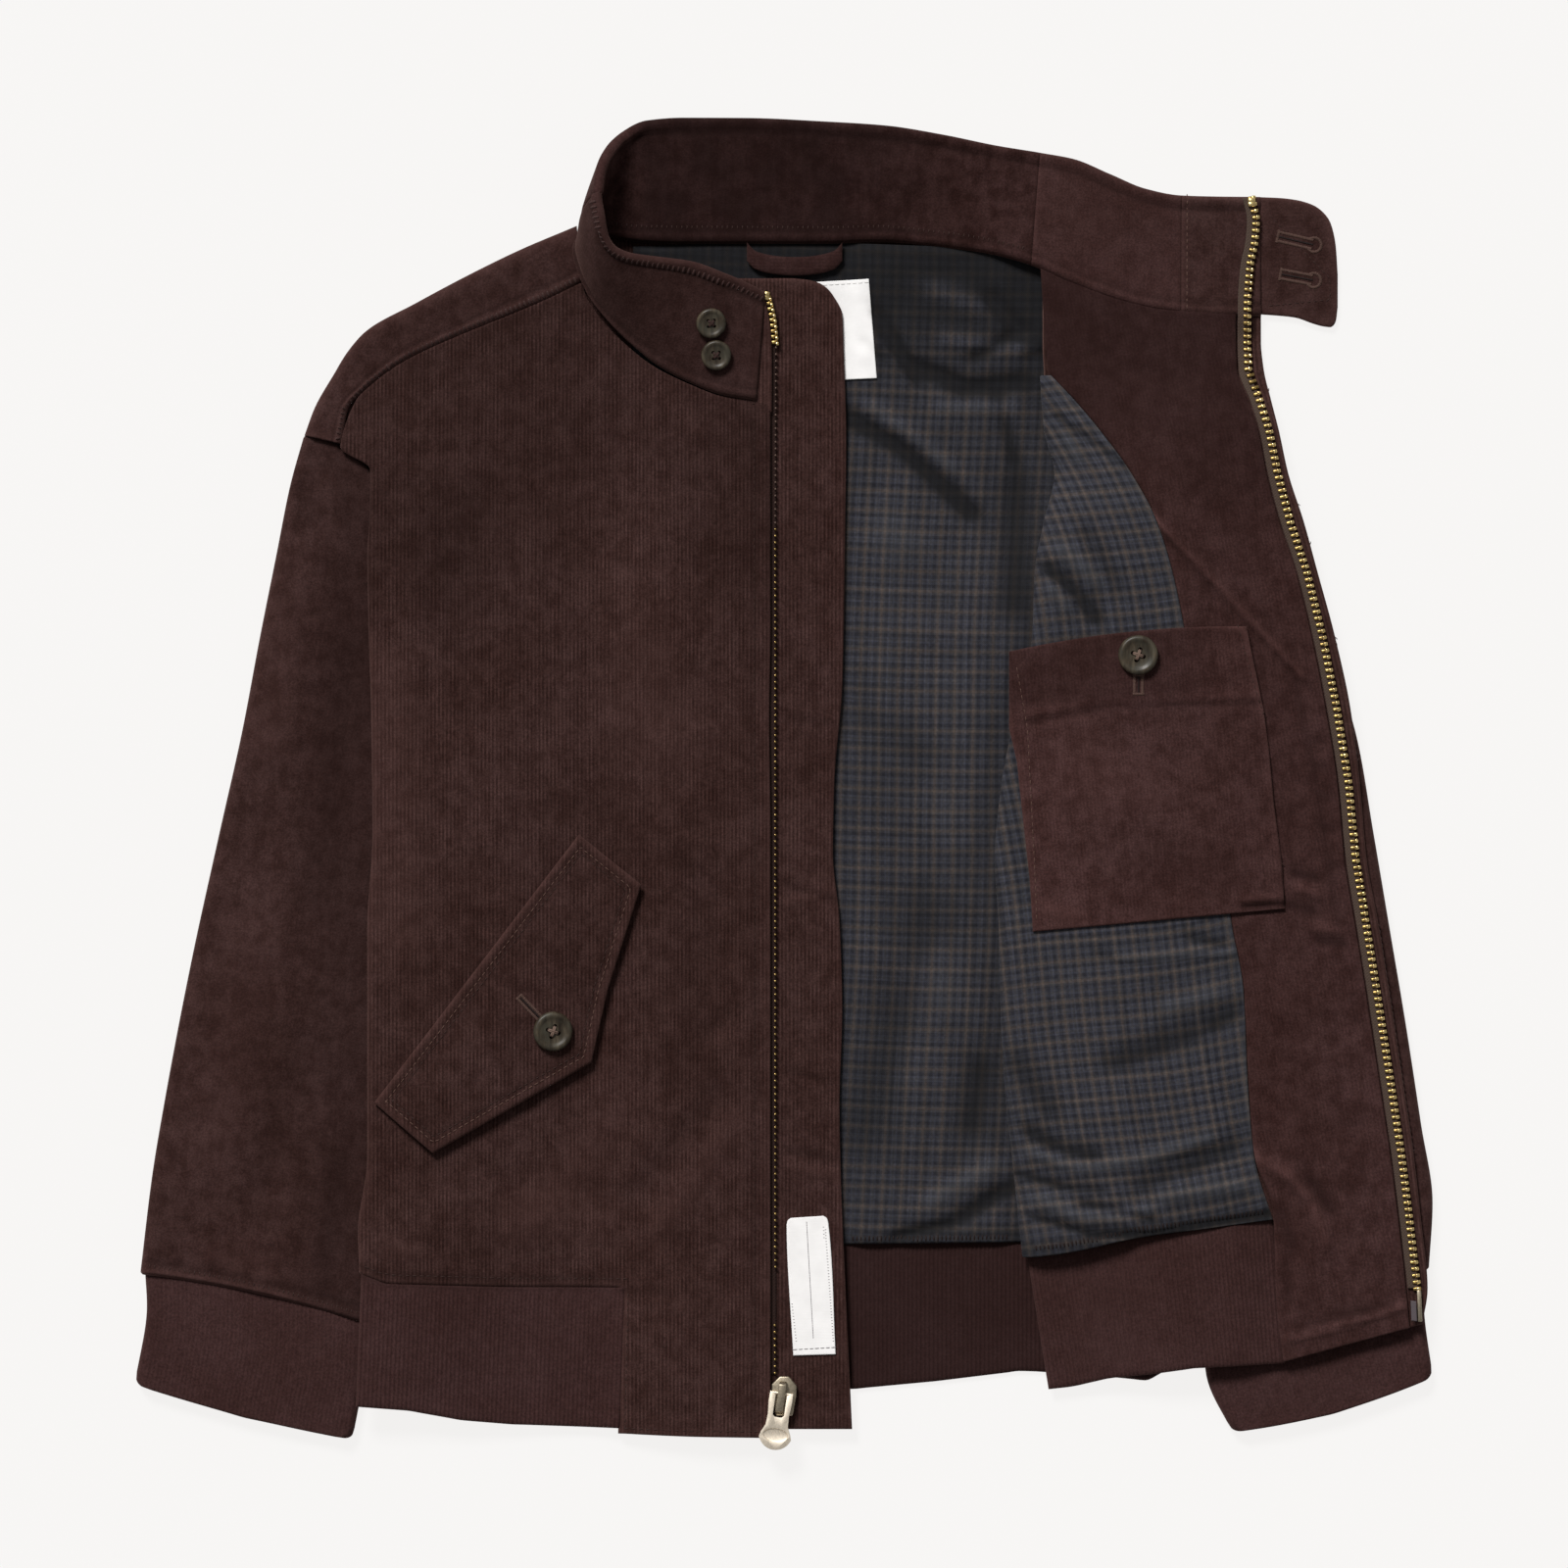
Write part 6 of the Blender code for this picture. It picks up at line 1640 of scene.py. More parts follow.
def applied(name, made, finish):
    """A mesh piece with its modifiers applied, at the origin, faces outwards."""
    bpy.context.view_layer.update()
    graph = bpy.context.evaluated_depsgraph_get()
    mesh = bpy.data.meshes.new_from_object(made.evaluated_get(graph))
    mesh.transform(made.matrix_world)
    bpy.data.objects.remove(made)
    bm = bmesh.new()
    bm.from_mesh(mesh)
    bmesh.ops.remove_doubles(bm, verts=bm.verts, dist=1e-6)
    bmesh.ops.recalc_face_normals(bm, faces=bm.faces)
    for face in bm.faces:
        face.smooth = True
    for edge in bm.edges:
        edge.smooth = len(edge.link_faces) == 2 and edge.calc_face_angle(0) < SMOOTH_BELOW
    bm.to_mesh(mesh)
    bm.free()
    mesh.materials.clear()
    mesh.materials.append(finish)
    return linked(name, mesh)


def plate(name, outline, low, high):
    """A flat plate from an outline in mm."""
    return lofted(name + "_part", [[[(x, y, z) for x, y in outline] for z in (low, high)]])


def bevelled(made, width, segments=2):
    bevel = made.modifiers.new("Edges", "BEVEL")
    bevel.width, bevel.segments = width * MM, segments
    bevel.limit_method = "ANGLE"
    bevel.angle_limit = math.radians(40)
    return made


def joined(name, parts, finish):
    """Several finished parts in one mesh piece."""
    bm = bmesh.new()
    for part in parts:
        bm.from_mesh(part.data)
        bpy.data.objects.remove(part)
    mesh = bpy.data.meshes.new(name)
    bm.to_mesh(mesh)
    bm.free()
    mesh.materials.append(finish)
    return linked(name, mesh)


def spun(name, profile, around=48):
    """A turned form from its profile of (radius, height) places in mm, on Z."""
    turns = [2 * math.pi * i / around for i in range(around)]
    loops = []
    for r, z in profile:
        loops.append([(r * math.cos(a), r * math.sin(a), z) for a in (turns if r > 0 else turns[:1])])
    return lofted(name + "_part", [loops])


# A button's section, as shares of its radius and thickness: a dished middle, a rounded rim and a
# curved underside.
BUTTON_SECTION = (
    (0, 0.66), (0.4, 0.67), (0.56, 0.7), (0.66, 0.8), (0.74, 0.95), (0.81, 1), (0.89, 0.97), (0.95, 0.83),
    (0.99, 0.62), (1, 0.45), (0.97, 0.25), (0.9, 0.08), (0.8, 0), (0, 0),
)


def make_button(name, diameter, centre, out, turn, thread):
    """A horn button with four holes, and the cross of thread that sews it on."""
    r, thick = diameter / 2, diameter * 0.17
    disc = spun(name, [(across * r, up * thick) for across, up in BUTTON_SECTION])
    spots = [(0.2 * r * x, 0.2 * r * y) for x, y in ((1, 1), (-1, 1), (-1, -1), (1, -1))]
    drills = []
    for k, (x, y) in enumerate(spots):
        hole = 0.11 * r
        drill = spun(f"{name}_drill_{k}", [(0, -1), (hole, -1), (hole, thick + 1), (0, thick + 1)], 12)
        drill.location = (x * MM, y * MM, 0)
        drill.hide_render = True
        cut = disc.modifiers.new("Hole", "BOOLEAN")
        cut.operation, cut.object, cut.solver = "DIFFERENCE", drill, "EXACT"
        drills.append(drill)
    turned = Vector((0, 0, 1)).rotation_difference(Vector(out)).to_matrix() @ Matrix.Rotation(turn, 3, "Z")
    place = Matrix.Translation(Vector(centre) * MM) @ turned.to_4x4()
    piece = applied(name, disc, horn)
    piece.data.transform(place)
    for drill in drills:
        bpy.data.objects.remove(drill)
    strands = []
    for a, b in ((spots[0], spots[2]), (spots[1], spots[3])):
        for shift in (-0.035 * r, 0.035 * r):
            across = Vector((a[1] - b[1], b[0] - a[0])).normalized() * shift
            path = []
            for t in steps(0, 1, 8):
                x, y = lerp(a[0], b[0], t) + across.x, lerp(a[1], b[1], t) + across.y
                rise = 0.62 * thick + (0.3 if shift > 0 else 0.22) * thick * math.sin(math.pi * t) ** 0.5
                path.append(Vector((x, y, rise)))
            strands.append(path)
    cross = tubes(name + "_thread", strands, 0.05 * r, thread)
    cross.data.transform(place)
    return piece, cross


def tubes(name, paths, radius, finish, sides=6):
    """Round strands along paths in mm, in one mesh."""
    runs = []
    for path in paths:
        loops = []
        for i, point in enumerate(path):
            ahead = path[min(i + 1, len(path) - 1)] - path[max(i - 1, 0)]
            side = ahead.cross(Vector((0, 0, 1))).normalized()
            up = side.cross(ahead).normalized()
            size = radius * (0.5 if i in (0, len(path) - 1) else 1.0)
            turns = [2 * math.pi * k / sides for k in range(sides)]
            loops.append([point + (side * math.cos(a) + up * math.sin(a)) * size for a in turns])
        runs.append(loops)
    piece = lofted(name, runs)
    piece.data.materials.append(finish)
    piece.data.shade_smooth()
    return piece


TAPE_RIGHT = [(186, -7.2), (174, -5), (164, -3.2), (145, -3.0), (-222.5, -3.0)]
TAPE_WIDTH = 13.0
TAPE_LEFT = [(221, 176.3), (213, 178), (204.5, 177.4), (196, 175.6), (184, 174.6), (178, 174.5)]


def zip_left_line():
    """The left tape's teeth, from the collar's upper edge down to the pin, as (x, y) places."""
    line = [(x, y) for y, x in TAPE_LEFT] + [(o.teeth, o.y) for o in OPENED]
    return line + [(OPENED_BLOCK[0].teeth, OPENED_BLOCK[0].y)]


SLIDER_TOP_Y = -223.2
SLIDER_LENGTH = 14.8
SLIDER_LOW = TAPE_UNDER
SLIDER_HIGH = FRONT_AT_ZIP + FRONT_CLOTH - 0.2
PIVOT = (-0.9, -229.6)
PIVOT_Z = SLIDER_HIGH + 1.2
PULL_ANGLE = math.radians(8.6)
PULL_THICK = 1.2
BAR_RADIUS = 0.55
SLOT_LENGTH = 9.0
SLOT_HALF = 2.15
BRIDGE_HALF = 1.4


def make_slider():
    """Slider: two plates on a body that narrows downwards, and the bridge that holds the pull."""
    y0, y1 = SLIDER_TOP_Y, SLIDER_TOP_Y - SLIDER_LENGTH
    body = [
        (-1.6, y0), (1.9, y0), (4.85, y0 - 3.6), (4.65, y0 - 7.5), (3.3, y1), (-3.1, y1),
        (-4.65, y0 - 7.5), (-4.65, y0 - 3.0),
    ]
    core = bevelled(plate("core", body, SLIDER_LOW + 0.2, SLIDER_HIGH), 0.5, 3)
    core = applied("slider_core", core, antique)
    side = [
        (4.6, -0.6), (4.6, 1.2), (3.4, 3.0), (-6.6, 3.0), (-7.8, 1.2), (-7.8, -0.6),
        (-6.7, -0.6), (-6.7, 0.9), (-6.1, 2.0), (2.9, 2.0), (3.5, 0.9), (3.5, -0.6),
    ]
    bridge = bevelled(plate("bridge", side, -BRIDGE_HALF, BRIDGE_HALF), 0.3, 2)
    ahead = Vector((math.sin(PULL_ANGLE), math.cos(PULL_ANGLE), 0))
    across = Vector((math.cos(PULL_ANGLE), -math.sin(PULL_ANGLE), 0))
    turn = Matrix((ahead, Vector((0, 0, 1)), across)).transposed().to_4x4()
    bridge.data.transform(Matrix.Translation(Vector((*PIVOT, SLIDER_HIGH)) * MM) @ turn)
    bridge = applied("slider_bridge", bridge, antique)
    return joined("zip_slider_body", [core, bridge], antique)


def make_pull():
    """Pull tab: two arms round a slot, a bar on the hinge and a wide end with a dished oval."""
    half = PULL_THICK / 2
    right = [(4.3, 0.6), (4.45, -3.0), (4.0, -8.0), (4.2, -12.2), (5.6, -15.2), (6.3, -17.6)]
    outline = list(right)
    for angle in range(-20, -161, -10):
        a = math.radians(angle)
        outline.append((6.7 * 0.97 * math.cos(a), -14.7 + 6.7 * math.sin(a)))
    outline += [(-x, y) for x, y in reversed(right)]
    slot = [
        (SLOT_HALF, -0.6), (SLOT_HALF, -SLOT_LENGTH + 0.8), (SLOT_HALF - 0.8, -SLOT_LENGTH),
        (-SLOT_HALF + 0.8, -SLOT_LENGTH), (-SLOT_HALF, -SLOT_LENGTH + 0.8), (-SLOT_HALF, -0.6),
    ]
    tab = plate("tab", outline + slot[::-1], -half, half)
    dish = spun("dish", [(0, -0.5), (2.5, -0.55), (2.95, -0.4), (3.1, 0.1), (3.1, 2.0), (0, 2.0)], 32)
    dish.scale = (1.55, 0.85, 1)
    dish.location = (0, -15.8 * MM, half * MM)
    dish.hide_render = True
    sunk = tab.modifiers.new("Dish", "BOOLEAN")
    sunk.operation, sunk.object, sunk.solver = "DIFFERENCE", dish, "EXACT"
    bevelled(tab, 0.28, 2)
    tab = applied("pull_tab", tab, nickel)
    bpy.data.objects.remove(dish)
    half_bar = [(0, 4.2), (0.4, 4.2), (BAR_RADIUS, 4.0)]
    bar = spun("bar", [(r, -z) for r, z in half_bar] + half_bar[::-1], 16)
    bar.data.transform(Matrix.Rotation(math.pi / 2, 4, "Y"))
    bar = applied("pull_bar", bar, nickel)
    pull = joined("zip_pull_tab", [tab, bar], nickel)
    to_pivot = Matrix.Translation(Vector((*PIVOT, PIVOT_Z)) * MM)
    pull.data.transform(to_pivot @ Matrix.Rotation(-PULL_ANGLE, 4, "Z"))
    return pull


# ---------------------------------------------------------------- the jacket


def dress(piece, slot, *nodes, body="jacket"):
    """Puts a piece on a body, in the place of its solids, which it hides. Its slot is not used."""
    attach(piece, body)
    if nodes:
        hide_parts(*nodes)
    return piece


def cut(piece, slot, node, wide, long, filled, rests_on=(), with_pieces=()):
    """Dresses a cut piece. How wide and long its cloth was cut in mm, and what share of that
    rectangle it fills, are not used."""
    dress(piece, slot, node)
    return piece


SLEEVES = ("sleeve_right", "sleeve_left")


def level(height):
    """A height, or a shade, that is the same everywhere."""
    return lambda x, y: height + 0.0 * x


back = laid("back_panel_cloth", back_places(), back_under, BACK_CLOTH, cord, gap=5.0, grow=(3.5, 0.5, 0, 0))
cut(back, "needlecord", "back_panel", 350, 395, 0.84, SLEEVES)

lining_back = laid(
    "back_lining_cloth", back_lining_places(), lining_under, LINING_CLOTH, lining, gap=1.75, angle=-1.8,
    edge=0.6, grow=(2.2, 0.6, 0, 0), shade=lining_shade,
    warp=lambda x, y: (x + 1.0 * np.sin(y / 37.0), y + 0.8 * np.sin(x / 29.0)),
)
cut(lining_back, "check_lining", "back_lining", 172, 384, 0.97, ["back_panel_cloth"])

# The back band is painted dark all over: painted shade under the fronts.
rib_back = rib_band("hem_rib_back_cloth", steps(-157, 157, 60), BACK_HEM, BACK_RIB_END, back_under,
                    shade=0.85)
cut(rib_back, "rib_knit", "hem_rib_back", 316, 53, 0.98, SLEEVES)

band_edge = ((184.5, -7.4), (178, -6.1), (168, -4.7), (155, -4.5), (140, -4.6))
band_rows = [[(-10.5, y), (x, y)] for y, x in band_edge]
edge_band = laid("collar_edge_band", band_rows, level(TAPE_TOP + 0.3), FRONT_CLOTH, cord, gap=1.4,
                 gap_across=0.8, edge=0.9)
dress(edge_band, "needlecord")

front = cut(front_shell(), "needlecord", "front_right", 163, 436, 0.82, ["back_panel_cloth"], [edge_band])
shoulder = cut(shoulder_shell(), "needlecord", "shoulder_right", 22, 126, 0.89, ["back_panel_cloth"])

rib_right = rib_band("hem_rib_right_cloth", steps(-159, -61, 20), FRONT_HEM, FRONT_RIB_END, front_under,
                     (BAND_LEAN, BAND_LEAN), right=1.6)
cut(rib_right, "rib_knit", "hem_rib_right", 101, 53, 0.98, ["hem_rib_back_cloth"])

sleeves = {}
for label, rings, band, creases, wide in (
    ("right", SLEEVE_RIGHT, CUFF_RIGHT, SLEEVE_RIGHT_FOLDS, 196),
    ("left", SLEEVE_LEFT, CUFF_LEFT, SLEEVE_LEFT_FOLDS, 205),
):
    soft = lambda x, y, creases=creases: (
        0.5 * ripple(x, y, 55.0, 8) + 0.25 * ripple(x, y, 24.0, 12) + 1.6 * folds(creases, x, y))
    # Painted shade in the sleeve's fold valleys, painted light on its ridges, and on the right sleeve
    # painted shade that grows towards the body.
    beside = lambda x, y, creases=creases, label=label: (
        hollows(creases, 0.2, x, y) + (0.45 * smooth((x + 193) / 28) if label == "right" else 0.0))
    sleeve = tube_shell(
        f"sleeve_{label}_cloth", rings, SLEEVE_HEIGHT, SLEEVE_WALL, cord_smooth, relief=soft, welt=True,
        grow=(2.2, 0.6), shade=beside,
    )
    allowances = []
    if label == "right":
        seam = [[(-170.8, 152), (-162, 152), (-147, 148)], [(-177, 141), (-166, 142), (-148, 139)],
                [(-180.4, 131.6), (-167, 134), (-149, 130)], [(-182, 112), (-170, 106), (-148, 96)]]
        allowance = laid("armhole_allowance", seam, level(2.6), BACK_CLOTH, cord_smooth, gap=2.0)
        allowances.append(dress(allowance, "needlecord"))
    sleeves[label] = cut(sleeve, "needlecord", f"sleeve_{label}", wide, 335, 0.865, with_pieces=allowances)
    cuff = tube_shell(f"cuff_{label}_cloth", band, CUFF_HEIGHT - RIB_DEPTH, RIB_CLOTH - RIB_DEPTH, rib,
                      ribs=RIB_RELIEF / 2)
    cut(cuff, "rib_knit", f"cuff_{label}", 156, 53, 0.96)

guard_places = [[(lerp(-20, row.edge, t), row.y) for t in (0, 0.35, 0.7, 1)] for row in GUARD]
# Painted shade in the guard's fold valleys and a little all over, and painted light on its ridges.
guard = laid("wind_guard_cloth", guard_places, guard_under, GUARD_CLOTH, cord, gap=1.6, edge=1.6,
             shade=lambda x, y: 0.05 + hollows(GUARD_FOLDS, 0.6, x, y))
cut(guard, "needlecord", "wind_guard", 46, 434, 0.93, ["back_lining_cloth"])

opened = cut(opened_shell(), "needlecord", "front_left", 165, 412, 0.875,
             ["sleeve_left_cloth", "back_lining_cloth"])
lining_left = cut(lining_left_shell(), "check_lining", "lining_left", 105, 333, 0.7, ["front_left_cloth"])

# Painted shade all over that grows towards the neck, painted shade in fold valleys and painted light on
# ridges.
facing = laid("facing_left_cloth", facing_places(), facing_under, FACING_CLOTH, cord_red, gap=1.8,
              gap_across=1.6, angle=10.6, edge=0.9, grow=(1.6, 0, 0.5, 0), shade=lambda x, y: (
                  0.27 + 0.6 * smooth((y - 85) / 60) + hollows(FACING_FOLDS, 0.65, x, y)))
cut(facing, "needlecord", "facing_left", 140, 413, 0.36, ["front_left_cloth"])

rib_left = rib_band("hem_rib_left_cloth", steps(92, 183.4, 24), OPENED_HEM, OPENED_RIB_END,
                    hem_rib_left_under, (8.0, 4.0), right=1.8)
cut(rib_left, "rib_knit", "hem_rib_left", 95, 53, 0.98, ["hem_rib_back_cloth"])

# Painted shade a little all over and on the pocket's upper part, in its fold valleys, and painted light on
# its ridges.
pocket = laid("inside_pocket_cloth", pocket_places(), pocket_under, POCKET_CLOTH, cord_red, gap=1.4,
              angle=6.0, curved=(False, True), edge=0.9, shade=lambda x, y: (
                  0.05 + 0.45 * smooth((y - 26) / 5) * smooth((170 - x) / 30)
                  + hollows(POCKET_FOLDS, 0.7, x, y)))
cut(pocket, "needlecord", "inside_pocket", 104, 115, 0.875, ["lining_left_cloth"])

collars, collar_face, collar_ways, collar_along, collar_up, collar_cuts = collar_shells()
for label, wide, long, filled in (
    ("collar_right", 38, 100, 0.94), ("collar_back", 46, 185, 0.98), ("collar_left", 48, 62, 0.95),
    ("collar_end_left", 34, 46, 0.98),
):
    cut(collars[label], "needlecord", label, wide, long, filled, ["back_panel_cloth"])

tab_places = [[(row.x, y) for y in steps(row.low, row.high, 4)] for row in TAB]
tab = laid("collar_tab_cloth", tab_places, level(TAB_UNDER), TAB_CLOTH, cord_smooth, gap=1.2, edge=1.4,
           angle=90.0, grow=(1.0, 0, 0, 0))
cut(tab, "needlecord", "collar_tab", 30, 49, 0.95)

flap = laid("pocket_flap_cloth", flap_places(), flap_under, FRONT_CLOTH, cord, gap=0.9,
            curved=(False, False), edge=1.2, shape=stitched_edge(FLAP_ROWS))
cut(flap, "needlecord", "pocket_flap", 46, 148, 0.83, ["front_right_cloth"])

loop_rows = [
    [(x + 4, 203.2 - 5.5 * (1 - (x / 18) ** 2) ** 0.5 + d) for x in steps(-18, 18, 12)] for d in (1, -6.0)
]
# The loop is painted dark all over: painted shade.
loop = laid("hanger_loop_cloth", loop_rows, level(LABEL_UNDER + 0.6), LOOP_CLOTH + 0.9, cord_red, gap=0.6,
            gap_across=1.0, edge=2.6, angle=90.0, shade=level(0.7))
cut(loop, "needlecord", "hanger_loop", 10.5, 40, 0.74, ["back_lining_cloth"])

label_rows = [
    [(lerp(-4, 32, u) + 3 * t, lerp(188.5 + 2 * u, 151.5 + 1.5 * u, t)) for u in steps(0, 1, 5)]
    for t in steps(0, 1, 4)
]
neck_label = laid("neck_label_cloth", label_rows, neck_label_under, LABEL_CLOTH, white_tape, gap=1.4,
                  edge=0.3)
cut(neck_label, "label_tape", "neck_label", 37, 38, 0.97, ["back_lining_cloth"])

care_rows = [
    [(2.6, -163.6), (14.9, -162.8)], [(1.5, -164.4), (16.2, -163.7)],
    [(1.0, -166), (16.7, -165.3)], [(3.5, -215.5), (19.5, -215)],
]
care_label = laid("care_label_cloth", care_rows, lambda x, y: guard_under(x, y) + GUARD_CLOTH + 0.3,
                  LABEL_CLOTH, white_tape, gap=1.4, edge=0.3)
cut(care_label, "label_tape", "care_label", 16, 52, 1.0, ["wind_guard_cloth"])

tape_heights, tape_edges = zip(*reversed(TAPE_RIGHT))
edge_at = lambda y: np.interp(y, tape_heights, tape_edges)
tape_rows = [[(lerp(edge_at(y) - TAPE_WIDTH, edge_at(y), t), y) for t in (0, 0.5, 1)]
             for y in (186, 180, 174, 164, 145, 90, 0, -90, -170, -222.5)]
# The right tape takes the shaded copy of the tape: painted shade.
tape_right = laid("zip_tape_right_cloth", tape_rows, level(TAPE_UNDER), TAPE_CLOTH, tape_shaded, gap=2.0,
                  gap_across=1.2, edge=0.4)
cut(tape_right, "zip_tape", "zip_tape_right", 13.5, 412, 0.98, ["wind_guard_cloth"])

left_rows = [[(x - 3.4, y), (x - 1.3, y), (x + 0.8, y)] for x, y in zip_left_line()]
tape_left = laid("zip_tape_left_cloth", left_rows, zip_left_under, TAPE_CLOTH, tape, gap=2.0,
                 gap_across=0.8, edge=0.4)
cut(tape_left, "zip_tape", "zip_tape_left", 10.5, 430, 0.42, ["facing_left_cloth"])

pin_low = float(zip_left_under(238.5, -196.0))
pin_outline = [(238.3, -190.6), (239.9, -190.6), (240.3, -202.5), (238.7, -202.5)]
pin = plate("pin", pin_outline, pin_low + 0.1, pin_low + 1.7)
dress(applied("zip_pin_box", bevelled(pin, 0.3), antique), "antique_brass", "zip_pin")
dress(make_slider(), "antique_brass", "zip_slider")
dress(make_pull(), "nickel_silver", "zip_pull", body="pull")


def resting(under, x, y):
    """A spot on a cloth and the direction out of it, from the heights round it."""
    reach = 6.0
    slope_x = (under(x + reach, y) - under(x - reach, y)) / (2 * reach)
    slope_y = (under(x, y + reach) - under(x, y - reach)) / (2 * reach)
    middle = max(under(x, y), (under(x + reach, y) + under(x - reach, y)) / 2)
    return Vector((x, y, float(middle))), Vector((-slope_x, -slope_y, 1)).normalized()


def on_collar(x, y):
    """The collar's outer face nearest a place, and the direction out of it."""
    away = np.hypot(collar_face[..., 0] - x, collar_face[..., 1] - y)
    i, j = np.unravel_index(away.argmin(), away.shape)
    point, out = Vector(collar_face[i, j]), Vector(collar_ways[i, j])
    return Vector((x, y, point.z - (out.x * (x - point.x) + out.y * (y - point.y)) / out.z)), out


for name, (spot, out), size, above, turn, yarn in (
    ("button_flap", resting(flap_under, -87.5, -93.0), BUTTON, FRONT_CLOTH + 0.5, 0.45, pale_thread),
    ("button_inside", resting(pocket_under, 133.0, 48.5), BUTTON, POCKET_CLOTH + 0.5, 0.45, pale_thread),
    ("button_collar_1", on_collar(-27.5, 173.5), COLLAR_BUTTON, 0.7, 0.05, dark_thread),
    ("button_collar_2", on_collar(-25.5, 161.5), COLLAR_BUTTON, 0.7, 0.05, dark_thread),
):
    piece, cross = make_button(name + "_horn", size, spot + out * above, out, turn, yarn)
    dress(piece, "horn", name)
    dress(cross, "needlecord")

# ---------------------------------------------------------------- zip teeth

teeth_left = [(x + 0.15, y) for x, y in zip_left_line()]
heads_left = [(x + 0.45, y) for x, y in teeth_left]
teeth_top = [(-6.0, 183.2), (-4.3, 176), (-3.4, 166.5)]
heads_top = [(x + 0.9, y - 0.6) for x, y in teeth_top]
teeth_right = [[(-3.3, 96), (-3.3, -80), (-3.3, -182.0)], [(-3.5, -204.0), (-3.4, -222.0)]]
on_tape = TAPE_TOP - GUARD_TOP
for name, lines, cloth, element, pitch, size, finish, above in (
    ("zip_teeth_left", [teeth_left], tape_left, crimp_element, ZIP_PITCH, (1, 1, 1), brass_shaded, 0.05),
    ("zip_heads_left", [heads_left], tape_left, head_element, ZIP_PITCH, (1, 1, 1), brass, 0.1),
    ("zip_teeth_right_top", [teeth_top], guard, crimp_element, 2.0, (1.15, 0.85, 1), brass_shaded,
     on_tape + 0.7),
    ("zip_heads_right_top", [heads_top], guard, head_element, 2.0, (0.9, 0.8, 1), brass, on_tape + 0.8),
    ("zip_teeth_right", teeth_right, guard, head_element, ZIP_PITCH, (0.62, 0.5, 1.0), brass_shaded,
     on_tape + 0.2),
    # These teeth lie in the guard's shadow and are drawn small in a dull thread finish: painted shade.
    ("zip_teeth_right_shaded", [[(-3.05, 164.5), (-3.3, 98.5)]], guard, head_element, ZIP_PITCH,
     (0.5, 0.35, 0.9), pale_thread, on_tape),
    ("zip_stops", [[(176.4, 220.0), (176.4, 218.6)]], tape_left, head_element, 2.0, (1.3, 1.9, 1.1), brass,
     0.3),
    ("zip_stop_right", [[(-6.4, 184.6), (-6.6, 183.4)]], guard, head_element, 2.0, (1.4, 1.5, 1.1), brass,
     on_tape + 1.0),
):
    dress(along(name, lines, cloth, element, pitch, size, finish, above), "antique_brass")
film_rows = [[(235.9, -194.5), (238.0, -194.7)], [(236.2, -202.0), (238.3, -202.3)]]
zip_film = laid("zip_end_film_left", film_rows, lambda x, y: facing_under(x, y) + FACING_CLOTH + 0.5,
                LABEL_CLOTH, film, gap=1.5, edge=0.3)
dress(zip_film, "zip_tape")

# ---------------------------------------------------------------- sewing


def inset(corners, reach):
    """A closed line of corners, drawn in towards its middle by a reach in mm."""
    pairs = list(zip(corners, corners[1:] + corners[:1]))
    sign = 1.0 if sum(a[0] * b[1] - b[0] * a[1] for a, b in pairs) > 0 else -1.0
    lines = []
    for a, b in pairs:
        way = (Vector(b) - Vector(a)).normalized()
        lines.append((Vector(a) + Vector((-way.y, way.x)) * sign * reach, way))
    drawn = []
    for (p, u), (q, v) in zip(lines[-1:] + lines[:-1], lines):
        t = ((q - p).x * v.y - (q - p).y * v.x) / (u.x * v.y - u.y * v.x)
        drawn.append(tuple(p + u * t))
    return drawn


def sewn(
    name, lines, cloth, pitch=2.6, length=1.9, thick=0.36, finish=dark_thread, lift=0.02, slot="needlecord"
):
    """Rows of stitches on a cloth."""
    size = length, thick, thick
    dress(along(name, lines, cloth, stitch_element, pitch, size, finish, lift, 0.12), slot)


def buttonhole(name, cloth, start, end, wide, keyhole):
    """A worked buttonhole: a dark slit between two rows of satin stitches, with an eye or a bar at
    its end."""
    a, b = Vector(start), Vector(end)
    way = (b - a).normalized()
    side = Vector((-way.y, way.x)) * wide / 2
    # The slit is a row of near-black stitches: painted shade in the cut.
    slit = along(name + "_slit", [[a, b]], cloth, stitch_element, 0.6, (1.5, 0.75, 0.3), slit_dark, 0.06)
    rows = [[a + side, b + side], [a - side, b - side], [a - side * 1.3, a + side * 1.3]]
    if keyhole:
        turns = [math.radians(22 * k) for k in range(-6, 7)]
        round_eye = [way * math.cos(turn) + side.normalized() * math.sin(turn) for turn in turns]
        rows.append([b + way * 0.9 + out * wide * 0.8 for out in round_eye])
    else:
        rows.append([b - side * 1.3, b + side * 1.3])
    size = 0.5, 1.25, 0.5
    satin = along(name + "_satin", rows, cloth, satin_element, 0.42, size, hole_thread, 0.1, 0.2)
    dress(slit, "needlecord")
    dress(satin, "needlecord")


hem_seam = [(x, read_hem(FRONT_HEM, x) + 3.7) for x in steps(-157, -60, 20)]
front_row = [(-11.1, 146), (-11.2, 60), (-10.9, -60), (-11.1, -150), (-11.0, -243.4)]
sewn("topstitch_front", [front_row], front, 2.7, 2.1, 0.3, lift=-0.06)
sewn("topstitch_hem", [hem_seam], front)
sewn("topstitch_block", [[(-59.4, -243.0), (-36, -243.8), (-7.5, -244.0)]], front)
sewn("topstitch_block_side", [[(-58.8, -193), (-60.0, -242.6)]], front)

